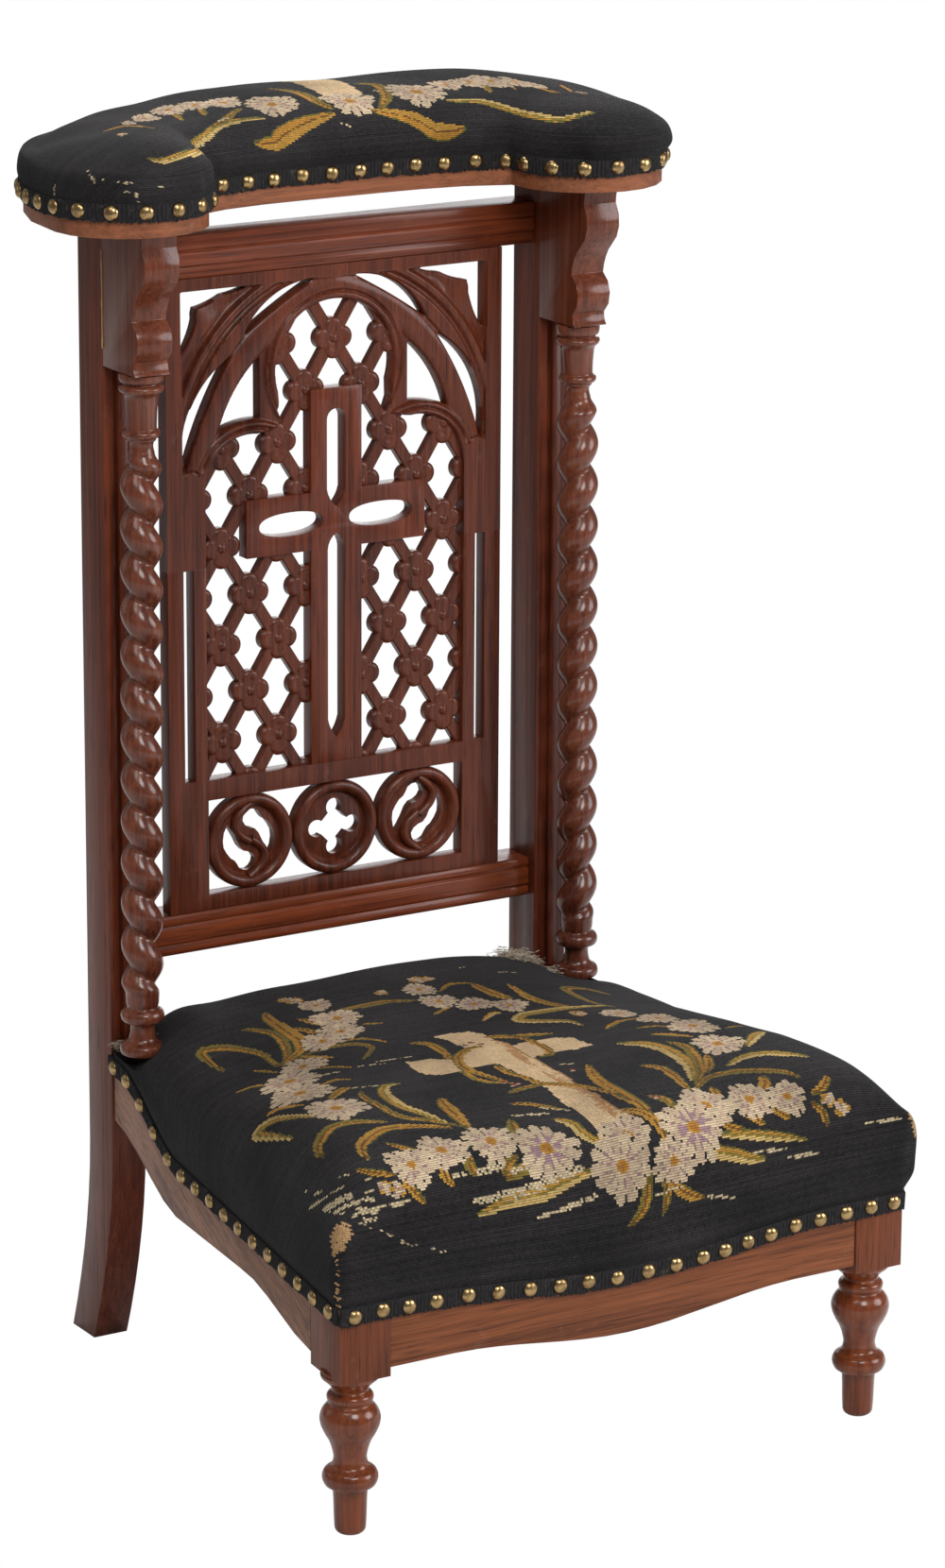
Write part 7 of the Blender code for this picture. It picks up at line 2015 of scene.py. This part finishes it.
braid, brass = makeBraid(), makeBrass()
frontShift = [  # the front nails are set unevenly
    3, 2.6, 1, 0, 3, 5, 8, 10, 10, 11, 15, 16, 14.5, 11, 8, 4.5, 2.2, 1, 0.5, -0.5, -3.5]
evenSpots = spaced(frontPath(), trimSize["frontStep"], 8.0)
shifts = (frontShift + [0.0] * len(evenSpots))[:len(evenSpots)]
frontSpots = [(spot[0] + shift, *spot[1:]) for spot, shift in zip(evenSpots, shifts)]
nail = makeNail()
nailLift = trimSize["braidHigh"] * 0.52
for label, node, rest, path, spots in (
        ("front", "seat_gimp_front", "front_rail", frontPath(), frontSpots),
        ("left", "seat_gimp_left", "side_rail_left", sidePath(-1),
         spaced(sidePath(-1), trimSize["sideStep"], 11.0)),
        ("right", "seat_gimp_right", "side_rail_right", sidePath(1),
         spaced(sidePath(1), trimSize["sideStep"], 11.0)),
        ("armrest", "armrest_gimp", "armrest_board", armPath(), spaced(armPath(), trimSize["armStep"]))):
    strip = finished(braidStrip("braid_" + label, path, len(label)), braid, [node])
    lifted = [(x, y, z + nailLift, nx, ny) for x, y, z, nx, ny in spots]
    finished(nailRow("nails_" + label, nail, lifted, len(label) + 30), brass, [node])
bpy.data.objects.remove(nail)
report("braid and nails")

hessian = makeWoven("hessian_weave", 5.0, (0.10, 0.065, 0.035, 1), (0.36, 0.26, 0.15, 1))
webbing = makeWoven("webbing_weave", 6.0, (0.16, 0.11, 0.065, 1), (0.44, 0.34, 0.22, 1))
sheetNodes = [("seat_hessian", True, 0.0006, hessian, "hessian")]
sheetNodes += [("seat_webbing_across_%d" % k, False, 0.0, webbing, "webbing") for k in (1, 2, 3, 4)]
sheetNodes += [("seat_webbing_lengthwise_%d" % k, True, 0.0, webbing, "webbing") for k in (1, 2, 3)]
for k, (node, lengthwise, sag, material, slotName) in enumerate(sheetNodes):
    cloth, size = wovenSheet(node + "_cloth", node, lengthwise, sag, k)
    finished(cloth, material, [node])
report("hessian and webbing")

# Stuffing that shows at the column feet

tuftSpots = [  # place, spread, number of fibres
    ((-168, -24, 262), (6, 6), 110), ((-198, -6, 252), (5, 5), 90), ((141, -22, 273), (9, 8), 260),
    ((150, -10, 269), (9, 5), 150), ((165, -10, 262), (7, 5), 160), ((174, -30, 258), (6, 7), 60),
]


def makeTufts():
    rng = np.random.default_rng(77)
    verts, faces = [], []
    for (x, y, z), (wide, deep), count in tuftSpots:
        for _ in range(count):
            at = [x + rng.normal() * wide * 0.5, y + rng.normal() * deep * 0.5, z + rng.normal() * 1.6]
            heading = rng.uniform(0, math.tau)
            curl = rng.uniform(-0.7, 0.7)
            radius = rng.uniform(0.16, 0.34)
            length = int(rng.integers(5, 11))
            rise = rng.uniform(-0.2, 0.35)
            faces += tubeFaces(length, 4, len(verts))
            for k in range(length):
                heading += curl + rng.normal() * 0.3
                at = at + np.array([math.cos(heading), math.sin(heading), rise * math.cos(k * 0.9)]) * 1.5
                thick = radius * (1.0 if 0 < k < length - 1 else 0.4)
                across = heading + math.pi / 2
                for corner in range(4):
                    c, s = math.cos(corner * math.pi / 2), math.sin(corner * math.pi / 2)
                    dx, dy, dz = math.cos(across) * c * thick, math.sin(across) * c * thick, s * thick
                    verts.append(tuple(world(at[0] + dx, at[1] + dy, at[2] + dz)))
    made = meshObject("stuffing_fibres", verts, faces)
    outward(made)
    return made


def makeFibre():
    material, w, shader = newMaterial("fibre", roughness=0.95)
    tint = w.band(w.noise(w.objectPlace(), 220.0, 3.0, 0.6), 0.3, 0.7)
    w.put(shader.inputs["Base Color"], w.mix(tint, (0.14, 0.115, 0.09, 1), (0.55, 0.46, 0.35, 1)))
    return material


tufts = finished(makeTufts(), makeFibre(), ["seat_stuffing"])
report("stuffing fibres")


# Old glue in the joint beside the left bracket

glueSize = {"low": 0.12, "high": 0.80, "steps": 60, "in": -0.35, "out": 0.5, "wide": 0.22, "swell": 0.60}


def makeOldGlue():
    g = glueSize
    corner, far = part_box("bracket_left")
    low, high = (corner.z + (far.z - corner.z) * g[k] for k in ("low", "high"))
    rng = np.random.default_rng(5)
    verts = []
    for k in range(g["steps"] + 1):
        z = low + (high - low) * k / g["steps"]
        swell = max(0.0, math.sin(k * 0.41) * math.sin(k * 0.13 + 0.6))
        wide = g["wide"] + g["swell"] * swell + rng.uniform(0, 0.15)
        for x, y in rectangle(g["in"], -wide, g["out"], wide):
            verts.append((corner.x + x * mm, backFace + y * mm, z))
    made = meshObject("old_glue", verts, tubeFaces(g["steps"] + 1, 4))
    outward(made)
    return made


glue, _, _ = newMaterial("old_glue", baseColor=(0.42, 0.28, 0.13, 1), roughness=0.6)
finished(makeOldGlue(), glue, [])
report("old glue")
